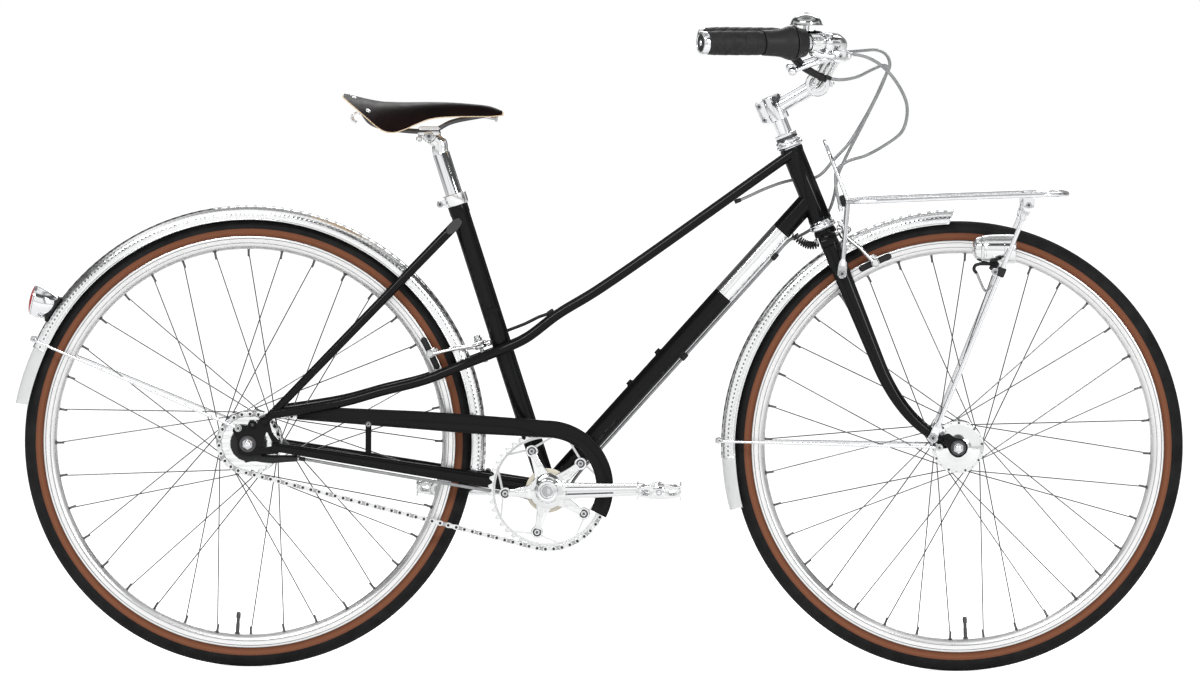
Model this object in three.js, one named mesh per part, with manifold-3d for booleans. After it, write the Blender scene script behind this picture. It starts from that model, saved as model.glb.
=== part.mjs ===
// A step through city bicycle: twin tube frame, city bars, front rack, rim brakes and a gear hub.
// Millimetres. X points forward, Y to the rider's left, Z up, and the wheels stand on Z = 0.
import * as THREE from 'three';
import { mergeVertices } from 'three/addons/utils/BufferGeometryUtils.js';
import Module from 'manifold-3d';

const wasm = await Module();
wasm.setup();

// Driving dimensions of the whole bicycle
const wheelbase = 1080;
const rearAxleSetback = 532;
const tyreRadius = 343.5;
const tyreWidth = 32;
const rimRadius = 317;
const rimDepth = 23;
const rimWidth = 25;
const bottomBracketDrop = 69.5;
const bottomBracketReach = 456;
const seatAngleDeg = 72;
const seatTubeLength = 461;
const headAngleDeg = 67.5;
const forkRake = 64;
const headTubeBase = 397;
const headTubeLength = 120;
const downTubeJoint = 435;
const fenderRadius = 361;
const fenderWidth = 46;
const fenderDepth = 21;
const rearHubSpacing = 130;
const frontHubSpacing = 100;
const crankLength = 170;
const chainPitch = 12.7;
const chainringTeethCount = 44;
const sprocketTeethCount = 22;
const chainLine = 45;
const spokeCount = 36;
const barWidth = 580;
const gripLength = 192;
const gripAngleDeg = 25;
const stemReach = 74;
const stemHeight = 592;
const saddleLength = 241;
const saddleWidth = 176;
const saddleHeight = 862;

// Clearances and overruns shared by every piece
const gap = 0.3;
const overrun = 6;
const weldDistance = 0.0005;
const flatTolerance = 0.06;

// Counts of sides and steps
const wheelSides = 36;
const hubSides = 12;
const tubeSides = 12;
const rodSides = 8;
const wireSides = 5;
const arcStepCount = 10;

// Tube radii
const headTubeRadius = 17;
const headTubeBore = 14.2;
const downTubeRadius = 15.5;
const seatTubeRadius = 14.8;
const seatTubeBore = 13.6;
const mixteRadius = 7.5;
const seatStayRadius = 7.5;
const shellRadius = 21;
const shellWidth = 68;
const shellBore = 9.2;
const steererRadius = 12.7;
const steererBore = 11.5;
const axleRadius = 5;
const barRadius = 11.1;

const LOOKS = {
  black_paint: { color: 0x101112, roughness: 0.28, metalness: 0.1 },
  chrome: { color: 0xd8dade, roughness: 0.12, metalness: 1 },
  polished_alloy: { color: 0xc9cbce, roughness: 0.22, metalness: 1 },
  rim_alloy: { color: 0xbfc2c6, roughness: 0.3, metalness: 1 },
  hammered_alloy: { color: 0xcfd1d4, roughness: 0.25, metalness: 1 },
  tyre_rubber: { color: 0x2a2b2c, roughness: 0.85, metalness: 0 },
  grip_leather: { color: 0x1a1a1b, roughness: 0.6, metalness: 0 },
  black_plastic: { color: 0x17181a, roughness: 0.5, metalness: 0 },
  cable_housing: { color: 0x85888b, roughness: 0.4, metalness: 0.1 },
  steel: { color: 0xa9acb0, roughness: 0.35, metalness: 1 },
  saddle_leather: { color: 0x2c1d18, roughness: 0.45, metalness: 0 },
};

// Directions and reference points
const rad = THREE.MathUtils.degToRad;
const vec = (x, y, z) => new THREE.Vector3(x, y, z);
const up = vec(0, 0, 1);
const ahead = vec(1, 0, 0);
const left = vec(0, 1, 0);
const rearAxle = vec(-rearAxleSetback, 0, tyreRadius);
const frontAxle = vec(wheelbase - rearAxleSetback, 0, tyreRadius);
const bottomBracket = vec(bottomBracketReach - rearAxleSetback, 0, tyreRadius - bottomBracketDrop);
const axisUp = vec(-Math.cos(rad(headAngleDeg)), 0, Math.sin(rad(headAngleDeg)));
const axisAhead = vec(Math.sin(rad(headAngleDeg)), 0, Math.cos(rad(headAngleDeg)));
const axisFoot = frontAxle.clone().addScaledVector(axisAhead, -forkRake);
const seatUp = vec(-Math.cos(rad(seatAngleDeg)), 0, Math.sin(rad(seatAngleDeg)));
const seatAhead = vec(Math.sin(rad(seatAngleDeg)), 0, Math.cos(rad(seatAngleDeg)));

// A point beside the steering axis, measured from the foot of the fork rake
function onAxis(along, forward = 0, side = 0) {
  const point = axisFoot.clone().addScaledVector(axisUp, along);
  return point.addScaledVector(axisAhead, forward).addScaledVector(left, side);
}

// A point beside the seat tube, measured from the bottom bracket
function onSeatTube(along, forward = 0, side = 0) {
  const point = bottomBracket.clone().addScaledVector(seatUp, along);
  return point.addScaledVector(seatAhead, forward).addScaledVector(left, side);
}

// A point at a radius and an angle round an axle, seen from the right side
function around(axle, radius, angleDeg, side = 0) {
  const turn = rad(angleDeg);
  return vec(axle.x + radius * Math.cos(turn), side, axle.z + radius * Math.sin(turn));
}

const between = (from, to, share) => from.clone().lerp(to, share);

// Radius of a many sided bore whose flats clear a round of the given radius
const boreFor = (radius, sides = tubeSides) => (radius + gap) / Math.cos(Math.PI / sides);

// Closed three.js geometry as a solid for joining and cutting
function solidOf(geometry) {
  const bare = geometry.clone();
  bare.deleteAttribute('normal');
  bare.deleteAttribute('uv');
  const welded = mergeVertices(bare, weldDistance);
  const corners = welded.index.array;
  const kept = [];
  for (let i = 0; i < corners.length; i += 3) {
    const [a, b, c] = [corners[i], corners[i + 1], corners[i + 2]];
    if (a !== b && b !== c && c !== a) {
      kept.push(a, b, c);
    }
  }
  const places = welded.attributes.position.array;
  const mesh = new wasm.Mesh({ numProp: 3, vertProperties: places, triVerts: new Uint32Array(kept) });
  return new wasm.Manifold(mesh);
}

function geometryOf(solid) {
  const mesh = solid.asOriginal().simplify(flatTolerance).getMesh();
  const geometry = new THREE.BufferGeometry();
  geometry.setAttribute('position', new THREE.BufferAttribute(new Float32Array(mesh.vertProperties), 3));
  geometry.setIndex(new THREE.BufferAttribute(new Uint32Array(mesh.triVerts), 1));
  geometry.computeVertexNormals();
  return geometry;
}

function join(...geometries) {
  const solids = geometries.map(solidOf);
  return geometryOf(solids.reduce((whole, next) => whole.add(next)));
}

function cut(geometry, ...cutters) {
  const solids = cutters.map(solidOf);
  return geometryOf(solids.reduce((whole, next) => whole.subtract(next), solidOf(geometry)));
}

// Faces turned outward, whatever the order of the outline was
function outward(geometry) {
  const whole = geometry.index ? geometry.toNonIndexed() : geometry;
  const places = whole.attributes.position.array;
  const [a, b, c] = [vec(0, 0, 0), vec(0, 0, 0), vec(0, 0, 0)];
  let volume = 0;
  for (let i = 0; i < places.length; i += 9) {
    a.fromArray(places, i);
    b.fromArray(places, i + 3);
    c.fromArray(places, i + 6);
    volume += a.dot(b.cross(c));
  }
  if (volume > 0) {
    return whole;
  }
  for (let i = 0; i < places.length; i += 9) {
    for (let k = 0; k < 3; k += 1) {
      [places[i + 3 + k], places[i + 6 + k]] = [places[i + 6 + k], places[i + 3 + k]];
    }
  }
  whole.computeVertexNormals();
  return whole;
}

// A round rod from one point to another, tapering where an end radius is given
function rod(from, to, radius, sides = rodSides, endRadius = radius) {
  const along = to.clone().sub(from);
  const geometry = new THREE.CylinderGeometry(endRadius, radius, along.length(), sides);
  geometry.applyQuaternion(new THREE.Quaternion().setFromUnitVectors(left, along.clone().normalize()));
  const middle = between(from, to, 0.5);
  geometry.translate(middle.x, middle.y, middle.z);
  return geometry;
}

// A rod across the bicycle, from one side coordinate to another
function crossRod(centre, radius, sideFrom, sideTo, sides = rodSides) {
  return rod(vec(centre.x, sideFrom, centre.z), vec(centre.x, sideTo, centre.z), radius, sides);
}

function polygon(radius, sides) {
  const points = [];
  for (let i = 0; i < sides; i += 1) {
    const turn = (i / sides) * Math.PI * 2;
    points.push(new THREE.Vector2(radius * Math.cos(turn), radius * Math.sin(turn)));
  }
  return new THREE.Shape(points);
}

// A section drawn along a path, kept level with the given side direction where one is given
function sweep(path, shape, steps, side = null) {
  if (side) {
    path.computeFrenetFrames = (count) => {
      const frames = { tangents: [], normals: [], binormals: [] };
      for (let i = 0; i <= count; i += 1) {
        const tangent = path.getTangentAt(i / count);
        const across = tangent.clone().cross(side).normalize();
        frames.tangents.push(tangent);
        frames.normals.push(across.clone().cross(tangent).normalize());
        frames.binormals.push(across);
      }
      return frames;
    };
  }
  return new THREE.ExtrudeGeometry(shape, { steps, extrudePath: path, bevelEnabled: false });
}

const smooth = (points) => new THREE.CatmullRomCurve3(points, false, 'centripetal');

function tube(points, radius, steps, sides = rodSides) {
  return sweep(smooth(points), polygon(radius, sides), steps);
}

// A tube whose two half widths change along its path
function taperedTube(path, steps, sides, halfAcross, halfDeep) {
  const geometry = new THREE.CylinderGeometry(1, 1, 1, sides, steps);
  const places = geometry.attributes.position;
  for (let i = 0; i < places.count; i += 1) {
    const share = THREE.MathUtils.clamp(places.getY(i) + 0.5, 0, 1);
    const tangent = path.getTangentAt(share);
    const deep = tangent.clone().cross(left).normalize();
    const across = deep.clone().cross(tangent).normalize();
    const point = path.getPointAt(share);
    point.addScaledVector(across, places.getX(i) * halfAcross(share));
    point.addScaledVector(deep, places.getZ(i) * halfDeep(share));
    places.setXYZ(i, point.x, point.y, point.z);
  }
  return outward(geometry);
}

// A body of revolution: its profile is a list of [radius, height] on an axis
function turned(profile, base, direction, sides = tubeSides) {
  const points = profile.map(([radius, height]) => new THREE.Vector2(radius, height));
  const geometry = new THREE.LatheGeometry(points, sides);
  geometry.applyQuaternion(new THREE.Quaternion().setFromUnitVectors(left, direction));
  geometry.translate(base.x, base.y, base.z);
  return outward(geometry);
}

function pipe(base, direction, bore, radius, length, sides = tubeSides) {
  return turned([[bore, 0], [radius, 0], [radius, length], [bore, length], [bore, 0]], base, direction,
    sides);
}

// A flat plate in the side view, from one side coordinate to another
function plate(shape, sideFrom, sideTo) {
  const settings = { depth: sideTo - sideFrom, bevelEnabled: false, curveSegments: arcStepCount };
  const geometry = new THREE.ExtrudeGeometry(shape, settings);
  geometry.rotateX(Math.PI / 2);
  geometry.translate(0, sideTo, 0);
  return outward(geometry);
}

function shapeFrom(points) {
  return new THREE.Shape(points.map(([x, z]) => new THREE.Vector2(x, z)));
}

// A block with its length along one direction, its width along another
function block(centre, forward, across, length, width, height) {
  const geometry = new THREE.BoxGeometry(length, width, height);
  const rise = forward.clone().cross(across).normalize();
  geometry.applyMatrix4(new THREE.Matrix4().makeBasis(forward, across, rise));
  geometry.translate(centre.x, centre.y, centre.z);
  return outward(geometry);
}

// A curve that goes round an axle in the side view
class WheelArc extends THREE.Curve {
  constructor(axle, radius, startDeg, endDeg) {
    super();
    Object.assign(this, { axle, radius, startDeg, endDeg });
  }

  getPoint(share, target = new THREE.Vector3()) {
    const angle = this.startDeg + (this.endDeg - this.startDeg) * share;
    return target.copy(around(this.axle, this.radius, angle));
  }
}

const bicycle = new THREE.Group();

function part(name, geometry, look, home = bicycle) {
  const material = new THREE.MeshStandardMaterial(LOOKS[look]);
  const mesh = new THREE.Mesh(outward(geometry), material);
  mesh.name = name;
  home.add(mesh);
  return mesh;
}

// Wheels

const tyreArcDeg = 118;
const tyreArcPointCount = 7;
const rimInnerHalfWidth = 5;
const rimShoulder = 8;
const spokeRadius = 0.95;
const spokeHubOffset = 1.15;
const spokeRimOffset = 1.15;
const spokeRimSide = 3;
const spokeCrossCount = 3;

function tyre(axle) {
  const profile = [];
  const sectionRadius = tyreWidth / 2;
  for (let i = 0; i < tyreArcPointCount; i += 1) {
    const turn = rad(tyreArcDeg * (1 - (2 * i) / (tyreArcPointCount - 1)));
    const radius = tyreRadius - sectionRadius + sectionRadius * Math.cos(turn);
    profile.push([radius, sectionRadius * Math.sin(turn)]);
  }
  profile.push([rimRadius + gap, -rimWidth / 2], [rimRadius + gap, rimWidth / 2], profile[0]);
  const ring = turned(profile, axle, left, wheelSides);
  ring.translate(-axle.x, 0, -axle.z);
  ring.rotateY(Math.PI / 2);
  ring.translate(axle.x, 0, axle.z);
  return ring;
}

function rim(axle) {
  const inner = rimRadius - rimDepth;
  const profile = [
    [inner, -rimInnerHalfWidth],
    [inner + rimShoulder, -rimWidth / 2 + spokeRadius],
    [rimRadius, -rimWidth / 2],
    [rimRadius, rimWidth / 2],
    [inner + rimShoulder, rimWidth / 2 - spokeRadius],
    [inner, rimInnerHalfWidth],
    [inner, -rimInnerHalfWidth],
  ];
  return turned(profile, axle, left, wheelSides);
}

// Hub shell and its spokes, joined where the spokes hook into the flanges
function laceWheel(axle, hub) {
  const half = hub.length / 2;
  const flangeFace = hub.flangeSide + hub.flangeWidth / 2;
  const flangeBack = hub.flangeSide - hub.flangeWidth / 2;
  const sideProfile = [
    [hub.endRadius, half],
    [hub.endRadius, flangeFace + hub.flangeWidth],
    [hub.flangeRadius, flangeFace],
    [hub.flangeRadius, flangeBack],
    [hub.shellRadius, flangeBack - hub.flangeWidth],
  ];
  const lower = sideProfile.map(([radius, height]) => [radius, -height]).reverse();
  const bore = axleRadius + gap;
  const profile = [[bore, half], ...sideProfile, ...lower, [bore, -half], [bore, half]];
  const pieces = [turned(profile, axle, left, hubSides)];
  const facetDeg = 360 / wheelSides;
  const rimFlat = (rimRadius - rimDepth) * Math.cos(rad(facetDeg / 2));
  for (let i = 0; i < spokeCount; i += 1) {
    const side = i % 2 ? 1 : -1;
    const lead = Math.floor((i + 1) / 2) % 2 ? -1 : 1;
    const rimAngle = (i * 360) / spokeCount + hub.phaseDeg;
    const hubAngle = rimAngle + (lead * spokeCrossCount * 720) / spokeCount;
    const hubSide = side * (hub.flangeSide + lead * spokeHubOffset);
    const rimSide = side * (spokeRimSide + lead * spokeRimOffset);
    const foot = around(axle, hub.flangeRadius - hub.spokeInset, hubAngle, hubSide);
    const fromFlat = rad((rimAngle % facetDeg) - facetDeg / 2);
    const rimEnd = rimFlat / Math.cos(fromFlat) - gap - spokeRadius / 2;
    const head = around(axle, rimEnd, rimAngle, rimSide);
    pieces.push(rod(foot, head, spokeRadius, 3));
  }
  return join(...pieces);
}

const frontHub = {
  length: 90, endRadius: 12, flangeRadius: 40, flangeSide: 29, flangeWidth: 4.6, shellRadius: 33,
  spokeInset: 1.5, phaseDeg: 8.2,
};
const rearHub = {
  length: 76, endRadius: 17, flangeRadius: 50, flangeSide: 30, flangeWidth: 4.6, shellRadius: 43,
  spokeInset: 1.5, phaseDeg: 0.6,
};

function buildWheels() {
  part('front_tyre', tyre(frontAxle), 'tyre_rubber');
  part('front_rim', rim(frontAxle), 'rim_alloy');
  part('front_hub_and_spokes', laceWheel(frontAxle, frontHub), 'polished_alloy');
  part('rear_tyre', tyre(rearAxle), 'tyre_rubber');
  part('rear_rim', rim(rearAxle), 'rim_alloy');
  part('rear_hub_and_spokes', laceWheel(rearAxle, rearHub), 'polished_alloy');
}

// Frame

const rearDropout = { thickness: 5, holeRadius: axleRadius + gap };
const rearDropoutShares = [
  [-0.3, -0.32], [0.04, -0.4], [0.4, -0.32], [1, -0.3], [1, 0.1], [0.78, 0.34], [0.66, 0.8], [0.4, 0.86],
  [0.2, 0.5], [-0.14, 0.6], [-0.4, 0.62], [-0.5, 0.4], [-0.34, 0.2],
];
const rearDropoutReach = 48;
const rearWindowShares = [[0.42, -0.12], [0.84, -0.06], [0.6, 0.4]];
const bridgeRadius = 5;
const bossRadius = 5;
const bossHeight = 4;
const bottleBossAt = 204;
const bottleBossSpacing = 64;
const clipRadius = 4;
const clipHeight = 6;
const lowerClipAt = 289;
const upperClipAt = 495;
const stayStartAcross = 20;
const chainStayTopRadius = 12;
const chainStayEndRadius = 7;
const chainStaySlimRadius = 8;
const chainStayShellSide = 24;
const chainStayBridgeDeg = -7;
const seatStayTop = 434;
const seatStayTopSide = 21;
const seatStayEndRadius = 6;
const seatStayEnd = { forward: 22, rise: 30 };
const chainStayEnd = { forward: 38, drop: 4 };
const dropoutSide = rearHubSpacing / 2 + rearDropout.thickness / 2;
const headCutter = () =>
  rod(onAxis(headTubeBase - overrun), onAxis(headTubeBase + headTubeLength), headTubeRadius + gap,
  tubeSides);
const seatCutter = () =>
  rod(bottomBracket, onSeatTube(seatTubeLength + overrun), seatTubeRadius + gap, tubeSides);
const shellCutter = () => crossRod(bottomBracket, shellRadius + gap, -shellWidth, shellWidth, tubeSides);

function rearDropoutPlate(sideSign, grow = 0) {
  const outline = rearDropoutShares.map(([x, z]) => [
    rearAxle.x + x * rearDropoutReach, rearAxle.z + z * rearDropoutReach]);
  const shape = shapeFrom(outline);
  const window = rearWindowShares.map(([x, z]) => new THREE.Vector2(
    rearAxle.x + x * rearDropoutReach, rearAxle.z + z * rearDropoutReach));
  shape.holes.push(new THREE.Path(window));
  const inner = rearHubSpacing / 2 - grow;
  const outer = rearHubSpacing / 2 + rearDropout.thickness + grow;
  const geometry = sideSign > 0 ? plate(shape, inner, outer) : plate(shape, -outer, -inner);
  return cut(geometry, crossRod(rearAxle, rearDropout.holeRadius, -rearHubSpacing, rearHubSpacing));
}

function buildHeadTube() {
  const base = onAxis(headTubeBase);
  part('head_tube', pipe(base, axisUp, headTubeBore, headTubeRadius, headTubeLength), 'black_paint');
}

function buildDownTube() {
  const top = onAxis(downTubeJoint);
  const along = top.clone().sub(bottomBracket).normalize();
  const above = left.clone().cross(along).negate();
  const onTube = (at, rise) =>
    bottomBracket.clone().addScaledVector(along, at).addScaledVector(above, rise);
  const pieces = [rod(bottomBracket, top, downTubeRadius, tubeSides)];
  for (const at of [bottleBossAt, bottleBossAt + bottleBossSpacing]) {
    pieces.push(rod(onTube(at, 0), onTube(at, downTubeRadius + bossHeight), bossRadius, tubeSides));
  }
  for (const at of [lowerClipAt, upperClipAt]) {
    pieces.push(rod(onTube(at, 0), onTube(at, -downTubeRadius - clipHeight), clipRadius));
  }
  part('down_tube', cut(join(...pieces), headCutter(), shellCutter(), seatCutter()), 'black_paint');
}

function buildSeatTube() {
  const start = shellRadius - overrun;
  const tubePiece = pipe(onSeatTube(start), seatUp, seatTubeBore, seatTubeRadius, seatTubeLength - start);
  const shellBase = vec(bottomBracket.x, -shellWidth / 2, bottomBracket.z);
  const shell = pipe(shellBase, left, shellBore, shellRadius, shellWidth);
  part('seat_tube', join(tubePiece, shell), 'black_paint');
}

// The twin tubes: places along the bicycle from the head tube, as shares of named lengths
const mixteTop = { along: 509.5, side: 12 };
const mixteEnd = { forward: 34, rise: 45 };
const mixteShares = [
  [0, 0, 0], [0.37, 0.5215, 0.1], [0.45, 0.6195, 0.15], [0.51, 0.709, 0.17], [0.552, 0.749, 0.21],
  [0.63, 0.81, 0.42], [0.705, 0.869, 0.55], [0.786, 0.911, 0.67], [0.863, 0.9535, 0.78], [1, 1, 1],
];
const brakeBridge = { radius: 6, angleDeg: 20.3, axleDistance: 381 };
const brakeBolt = { radius: 3, length: 34 };
const mixteSteps = 12;

function mixtePath(sideSign) {
  const top = onAxis(mixteTop.along);
  const end = vec(rearAxle.x + mixteEnd.forward, 0, rearAxle.z + mixteEnd.rise);
  const points = mixteShares.map(([along, fall, spread]) => vec(
    top.x + (end.x - top.x) * along,
    sideSign * (mixteTop.side + (dropoutSide - mixteTop.side) * spread),
    top.z + (end.z - top.z) * fall,
  ));
  return points;
}

function rearBridgeCentre(lift = 0) {
  const centre = around(rearAxle, brakeBridge.axleDistance, brakeBridge.angleDeg);
  const turn = rad(brakeBridge.angleDeg);
  return centre.addScaledVector(vec(-Math.sin(turn), 0, Math.cos(turn)), lift);
}

function buildMixteStays() {
  const bridgeHalf = mixteTop.side + (dropoutSide - mixteTop.side) * 0.33;
  const tubes = [1, -1].map((sideSign) => tube(mixtePath(sideSign), mixteRadius, mixteSteps));
  const bridge = crossRod(rearBridgeCentre(), brakeBridge.radius, -bridgeHalf, bridgeHalf);
  const bolt = rod(rearBridgeCentre(), rearBridgeCentre(brakeBolt.length), brakeBolt.radius);
  const whole = join(...tubes, bridge, bolt);
  const plates = [1, -1].map((sideSign) => rearDropoutPlate(sideSign, gap));
  part('mixte_stays', cut(whole, headCutter(), seatCutter(), seatStayRod(1, gap), seatStayRod(-1, gap),
    ...plates),
    'black_paint');
}

function seatStayRod(sideSign, grow = 0) {
  const top = onSeatTube(seatStayTop, 0, sideSign * seatStayTopSide);
  const end = vec(rearAxle.x + seatStayEnd.forward, sideSign * dropoutSide, rearAxle.z + seatStayEnd.rise);
  return rod(top, end, seatStayRadius + grow, rodSides, seatStayEndRadius + grow);
}

function buildSeatStays() {
  const top = onSeatTube(seatStayTop);
  const end = vec(rearAxle.x + seatStayEnd.forward, 0, rearAxle.z + seatStayEnd.rise);
  const bridgeFromAxle = fenderRadius + gap + bridgeRadius;
  let share = 0;
  while (between(top, end, share).distanceTo(rearAxle) > bridgeFromAxle) {
    share += 0.001;
  }
  const bridgeHalf = seatStayTopSide + (dropoutSide - seatStayTopSide) * share;
  const bridge = crossRod(between(top, end, share), bridgeRadius, -bridgeHalf, bridgeHalf);
  const whole = join(seatStayRod(1), seatStayRod(-1), bridge);
  const plates = [1, -1].map((sideSign) => rearDropoutPlate(sideSign, gap));
  part('seat_stays', cut(whole, seatCutter(), ...plates), 'black_paint');
}

function chainStayTube(sideSign, grow = 0) {
  const start = vec(rearAxle.x + chainStayEnd.forward, sideSign * dropoutSide,
    rearAxle.z - chainStayEnd.drop);
  const end = vec(bottomBracket.x, sideSign * chainStayShellSide, bottomBracket.z);
  const path = new THREE.LineCurve3(start, end);
  const deep = (share) => chainStayEndRadius + (chainStayTopRadius - chainStayEndRadius) * share + grow;
  const slim = (share) => chainStayEndRadius + (chainStaySlimRadius - chainStayEndRadius) * share + grow;
  return taperedTube(path, 2, tubeSides, slim, deep);
}

function buildChainStays() {
  const bridgeCentre = around(rearAxle, fenderRadius + gap + bridgeRadius, chainStayBridgeDeg);
  const bridgeShare = (bottomBracket.x - bridgeCentre.x) / bottomBracketReach;
  const bridgeSide = chainStayShellSide + (dropoutSide - chainStayShellSide) * bridgeShare;
  for (const [name, sideSign] of [['chain_stay_left', 1], ['chain_stay_right', -1]]) {
    const pieces = [chainStayTube(sideSign), rearDropoutPlate(sideSign)];
    if (sideSign > 0) {
      pieces.push(crossRod(bridgeCentre, bridgeRadius, -stayStartAcross, bridgeSide));
    }
    const axleHole = crossRod(rearAxle, rearDropout.holeRadius, -rearHubSpacing, rearHubSpacing);
    const cutters = [shellCutter(), seatCutter(), axleHole];
    part(name, cut(join(...pieces), ...cutters), 'black_paint');
  }
}

const collar = { wall: 3, height: 18, drop: 6, earReach: 14, earWidth: 16, earHeight: 14, boltRadius: 3.5 };

function buildSeatClamp() {
  const base = onSeatTube(seatTubeLength - collar.drop);
  const ring = pipe(base, seatUp, seatpost.radius + gap, seatTubeRadius + gap + collar.wall, collar.height);
  const earCentre = onSeatTube(
    seatTubeLength - collar.drop + collar.height / 2,
      -(seatTubeRadius + collar.wall + collar.earReach / 2));
  const ear = block(earCentre, seatAhead, left, collar.earReach + overrun, collar.earWidth,
    collar.earHeight);
  const bolt = crossRod(earCentre, collar.boltRadius, -collar.earWidth, collar.earWidth);
  const bore = rod(onSeatTube(0), onSeatTube(seatTubeLength + gap), seatTubeRadius + gap, tubeSides);
  const postBore = rod(onSeatTube(0), onSeatTube(seatTubeLength + collar.height + overrun),
    seatpost.radius + gap, tubeSides);
  part('seat_clamp', cut(join(ring, ear, bolt), bore, postBore), 'polished_alloy');
}

// Saddle and seatpost

const seatpost = { radius: 13.2, insertion: 170, top: 560, headLength: 46, headWidth: 58, headHeight: 24,
  headSetback: 12 };
const rails = {
  radius: 3.5, half: 22, level: 820, noseRise: 24, tailRise: 28.8, barHeight: 16, noseHeight: 8.2,
  tailShare: 0.1, clampBackShare: 0.3, clampFrontShare: 0.56, noseShare: 0.9,
};
const leather = { thickness: 5, rearSetback: 390 };

// Along the saddle from the rear: [place, half width, top, skirt drop], each as a share
const saddleShares = [
  [0, 0.52, 0.043, 0.1], [0.06, 0.82, 0.034, 0.3], [0.14, 0.97, 0.018, 0.52], [0.24, 1, 0.002, 0.9],
  [0.31, 0.95, 0, 1], [0.38, 0.83, 0, 0.9], [0.46, 0.66, 0, 0.7], [0.55, 0.5, 0, 0.52],
    [0.67, 0.36, -0.003, 0.45],
  [0.8, 0.27, -0.012, 0.38], [0.92, 0.22, -0.026, 0.3], [1, 0.13, -0.055, 0.1],
];
const skirtDepth = 43.5;
const crownPower = 2.4;
const saddleAcrossSteps = 8;

function sharesAt(table, place) {
  let i = 0;
  while (i < table.length - 2 && table[i + 1][0] < place) {
    i += 1;
  }
  const [low, high] = [table[i], table[i + 1]];
  const mix = (place - low[0]) / (high[0] - low[0]);
  return low.map((value, k) => value + (high[k] - value) * mix);
}

function buildSaddle() {
  const steps = saddleShares.length - 1;
  const geometry = new THREE.BoxGeometry(1, 2, 1, steps, saddleAcrossSteps, 1);
  const places = geometry.attributes.position;
  for (let i = 0; i < places.count; i += 1) {
    const row = saddleShares[Math.round((places.getX(i) + 0.5) * steps)];
    const across = places.getY(i);
    const inside = places.getZ(i) < 0 ? 1 : 0;
    const fall = Math.abs(across) ** crownPower;
    const half = (row[1] * saddleWidth) / 2 - inside * leather.thickness;
    const top = saddleHeight + row[2] * saddleLength;
    const drop = row[3] * skirtDepth;
    places.setXYZ(i, row[0] * saddleLength - leather.rearSetback, across * half,
      top - drop * fall - inside * leather.thickness * (1 - fall));
  }
  part('saddle_leather', geometry, 'saddle_leather');

  const pieces = [1, -1].map((sideSign) => railTube(sideSign));
  const rearX = saddleX(rails.tailShare);
  const noseX = saddleX(rails.noseShare);
  const tail = vec(rearX, 0, rails.level + rails.tailRise);
  const nose = vec(noseX, 0, rails.level + rails.noseRise);
  pieces.push(block(tail, ahead, left, rails.radius * 2, rails.half * 4.4, rails.barHeight));
  pieces.push(block(nose, ahead, left, rails.radius * 4, rails.radius * 4, rails.noseHeight));
  part('saddle_rails', join(...pieces), 'chrome');
}

const saddleX = (share) => saddleLength * share - leather.rearSetback;

function railTube(sideSign, grow = 0) {
  const clampFront = saddleX(rails.clampFrontShare);
  const noseX = saddleX(rails.noseShare);
  const points = [
    vec(saddleX(rails.tailShare), sideSign * rails.half * 1.3, rails.level + rails.tailRise),
    vec(saddleX(rails.tailShare) + rails.tailRise / 2, sideSign * rails.half * 1.2,
      rails.level + rails.radius),
    vec(saddleX(rails.clampBackShare), sideSign * rails.half, rails.level),
    vec(clampFront, sideSign * rails.half, rails.level),
    vec(clampFront + (noseX - clampFront) * 0.35, sideSign * rails.half * 0.75,
      rails.level + rails.noseRise * 0.55),
    vec(noseX, sideSign * rails.radius, rails.level + rails.noseRise),
  ];
  return tube(points, rails.radius + grow, 12, wireSides);
}

function buildSeatpost() {
  const base = onSeatTube(seatTubeLength - seatpost.insertion);
  const post = rod(base, onSeatTube(seatpost.top), seatpost.radius, tubeSides);
  const top = onSeatTube(seatpost.top);
  const headTop = rails.level + rails.radius * 1.6;
  const headCentre = vec(top.x - seatpost.headSetback, 0, headTop - seatpost.headHeight / 2);
  const head = block(headCentre, ahead, left, seatpost.headLength, seatpost.headWidth, seatpost.headHeight);
  part('seatpost', cut(join(post, head), railTube(1, gap), railTube(-1, gap)), 'polished_alloy');
}

// Fenders

// Half of the fender section from its middle to its edge: [share across, share of the depth]
const fenderOuterShares = [[0, 0], [0.8, 0.22], [1, 1]];
const fenderWall = 1.6;
const fenderStay = { radius: 2.2, clipRadius: 5, clipLength: 6, side: 4 };
const rearFender = { startDeg: -6.5, endDeg: 156.5, flapDeg: 171, stayDeg: 154.9 };
const frontFender = { startDeg: 91, endDeg: 183, flapDeg: 196.5, stayDeg: 179 };
const fenderStepDeg = 7.5;

function fenderSection() {
  const half = fenderWidth / 2;
  const right = fenderOuterShares.map(([across, deep]) => [half * across, fenderDepth * deep]);
  const rightInner = fenderOuterShares.map(([across, deep]) => [
    (half - fenderWall) * across, fenderWall + (fenderDepth - fenderWall) * deep]).reverse();
  const leftInner = rightInner.slice(0, -1).map(([x, z]) => [-x, z]).reverse();
  const leftOuter = right.slice(1).map(([x, z]) => [-x, z]).reverse();
  return shapeFrom([...right, ...rightInner, ...leftInner, ...leftOuter]);
}

function fenderBlade(axle, fender) {
  const steps = Math.round((fender.flapDeg - fender.startDeg) / fenderStepDeg);
  return sweep(new WheelArc(axle, fenderRadius, fender.startDeg, fender.flapDeg), fenderSection(), steps,
    left);
}

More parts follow.
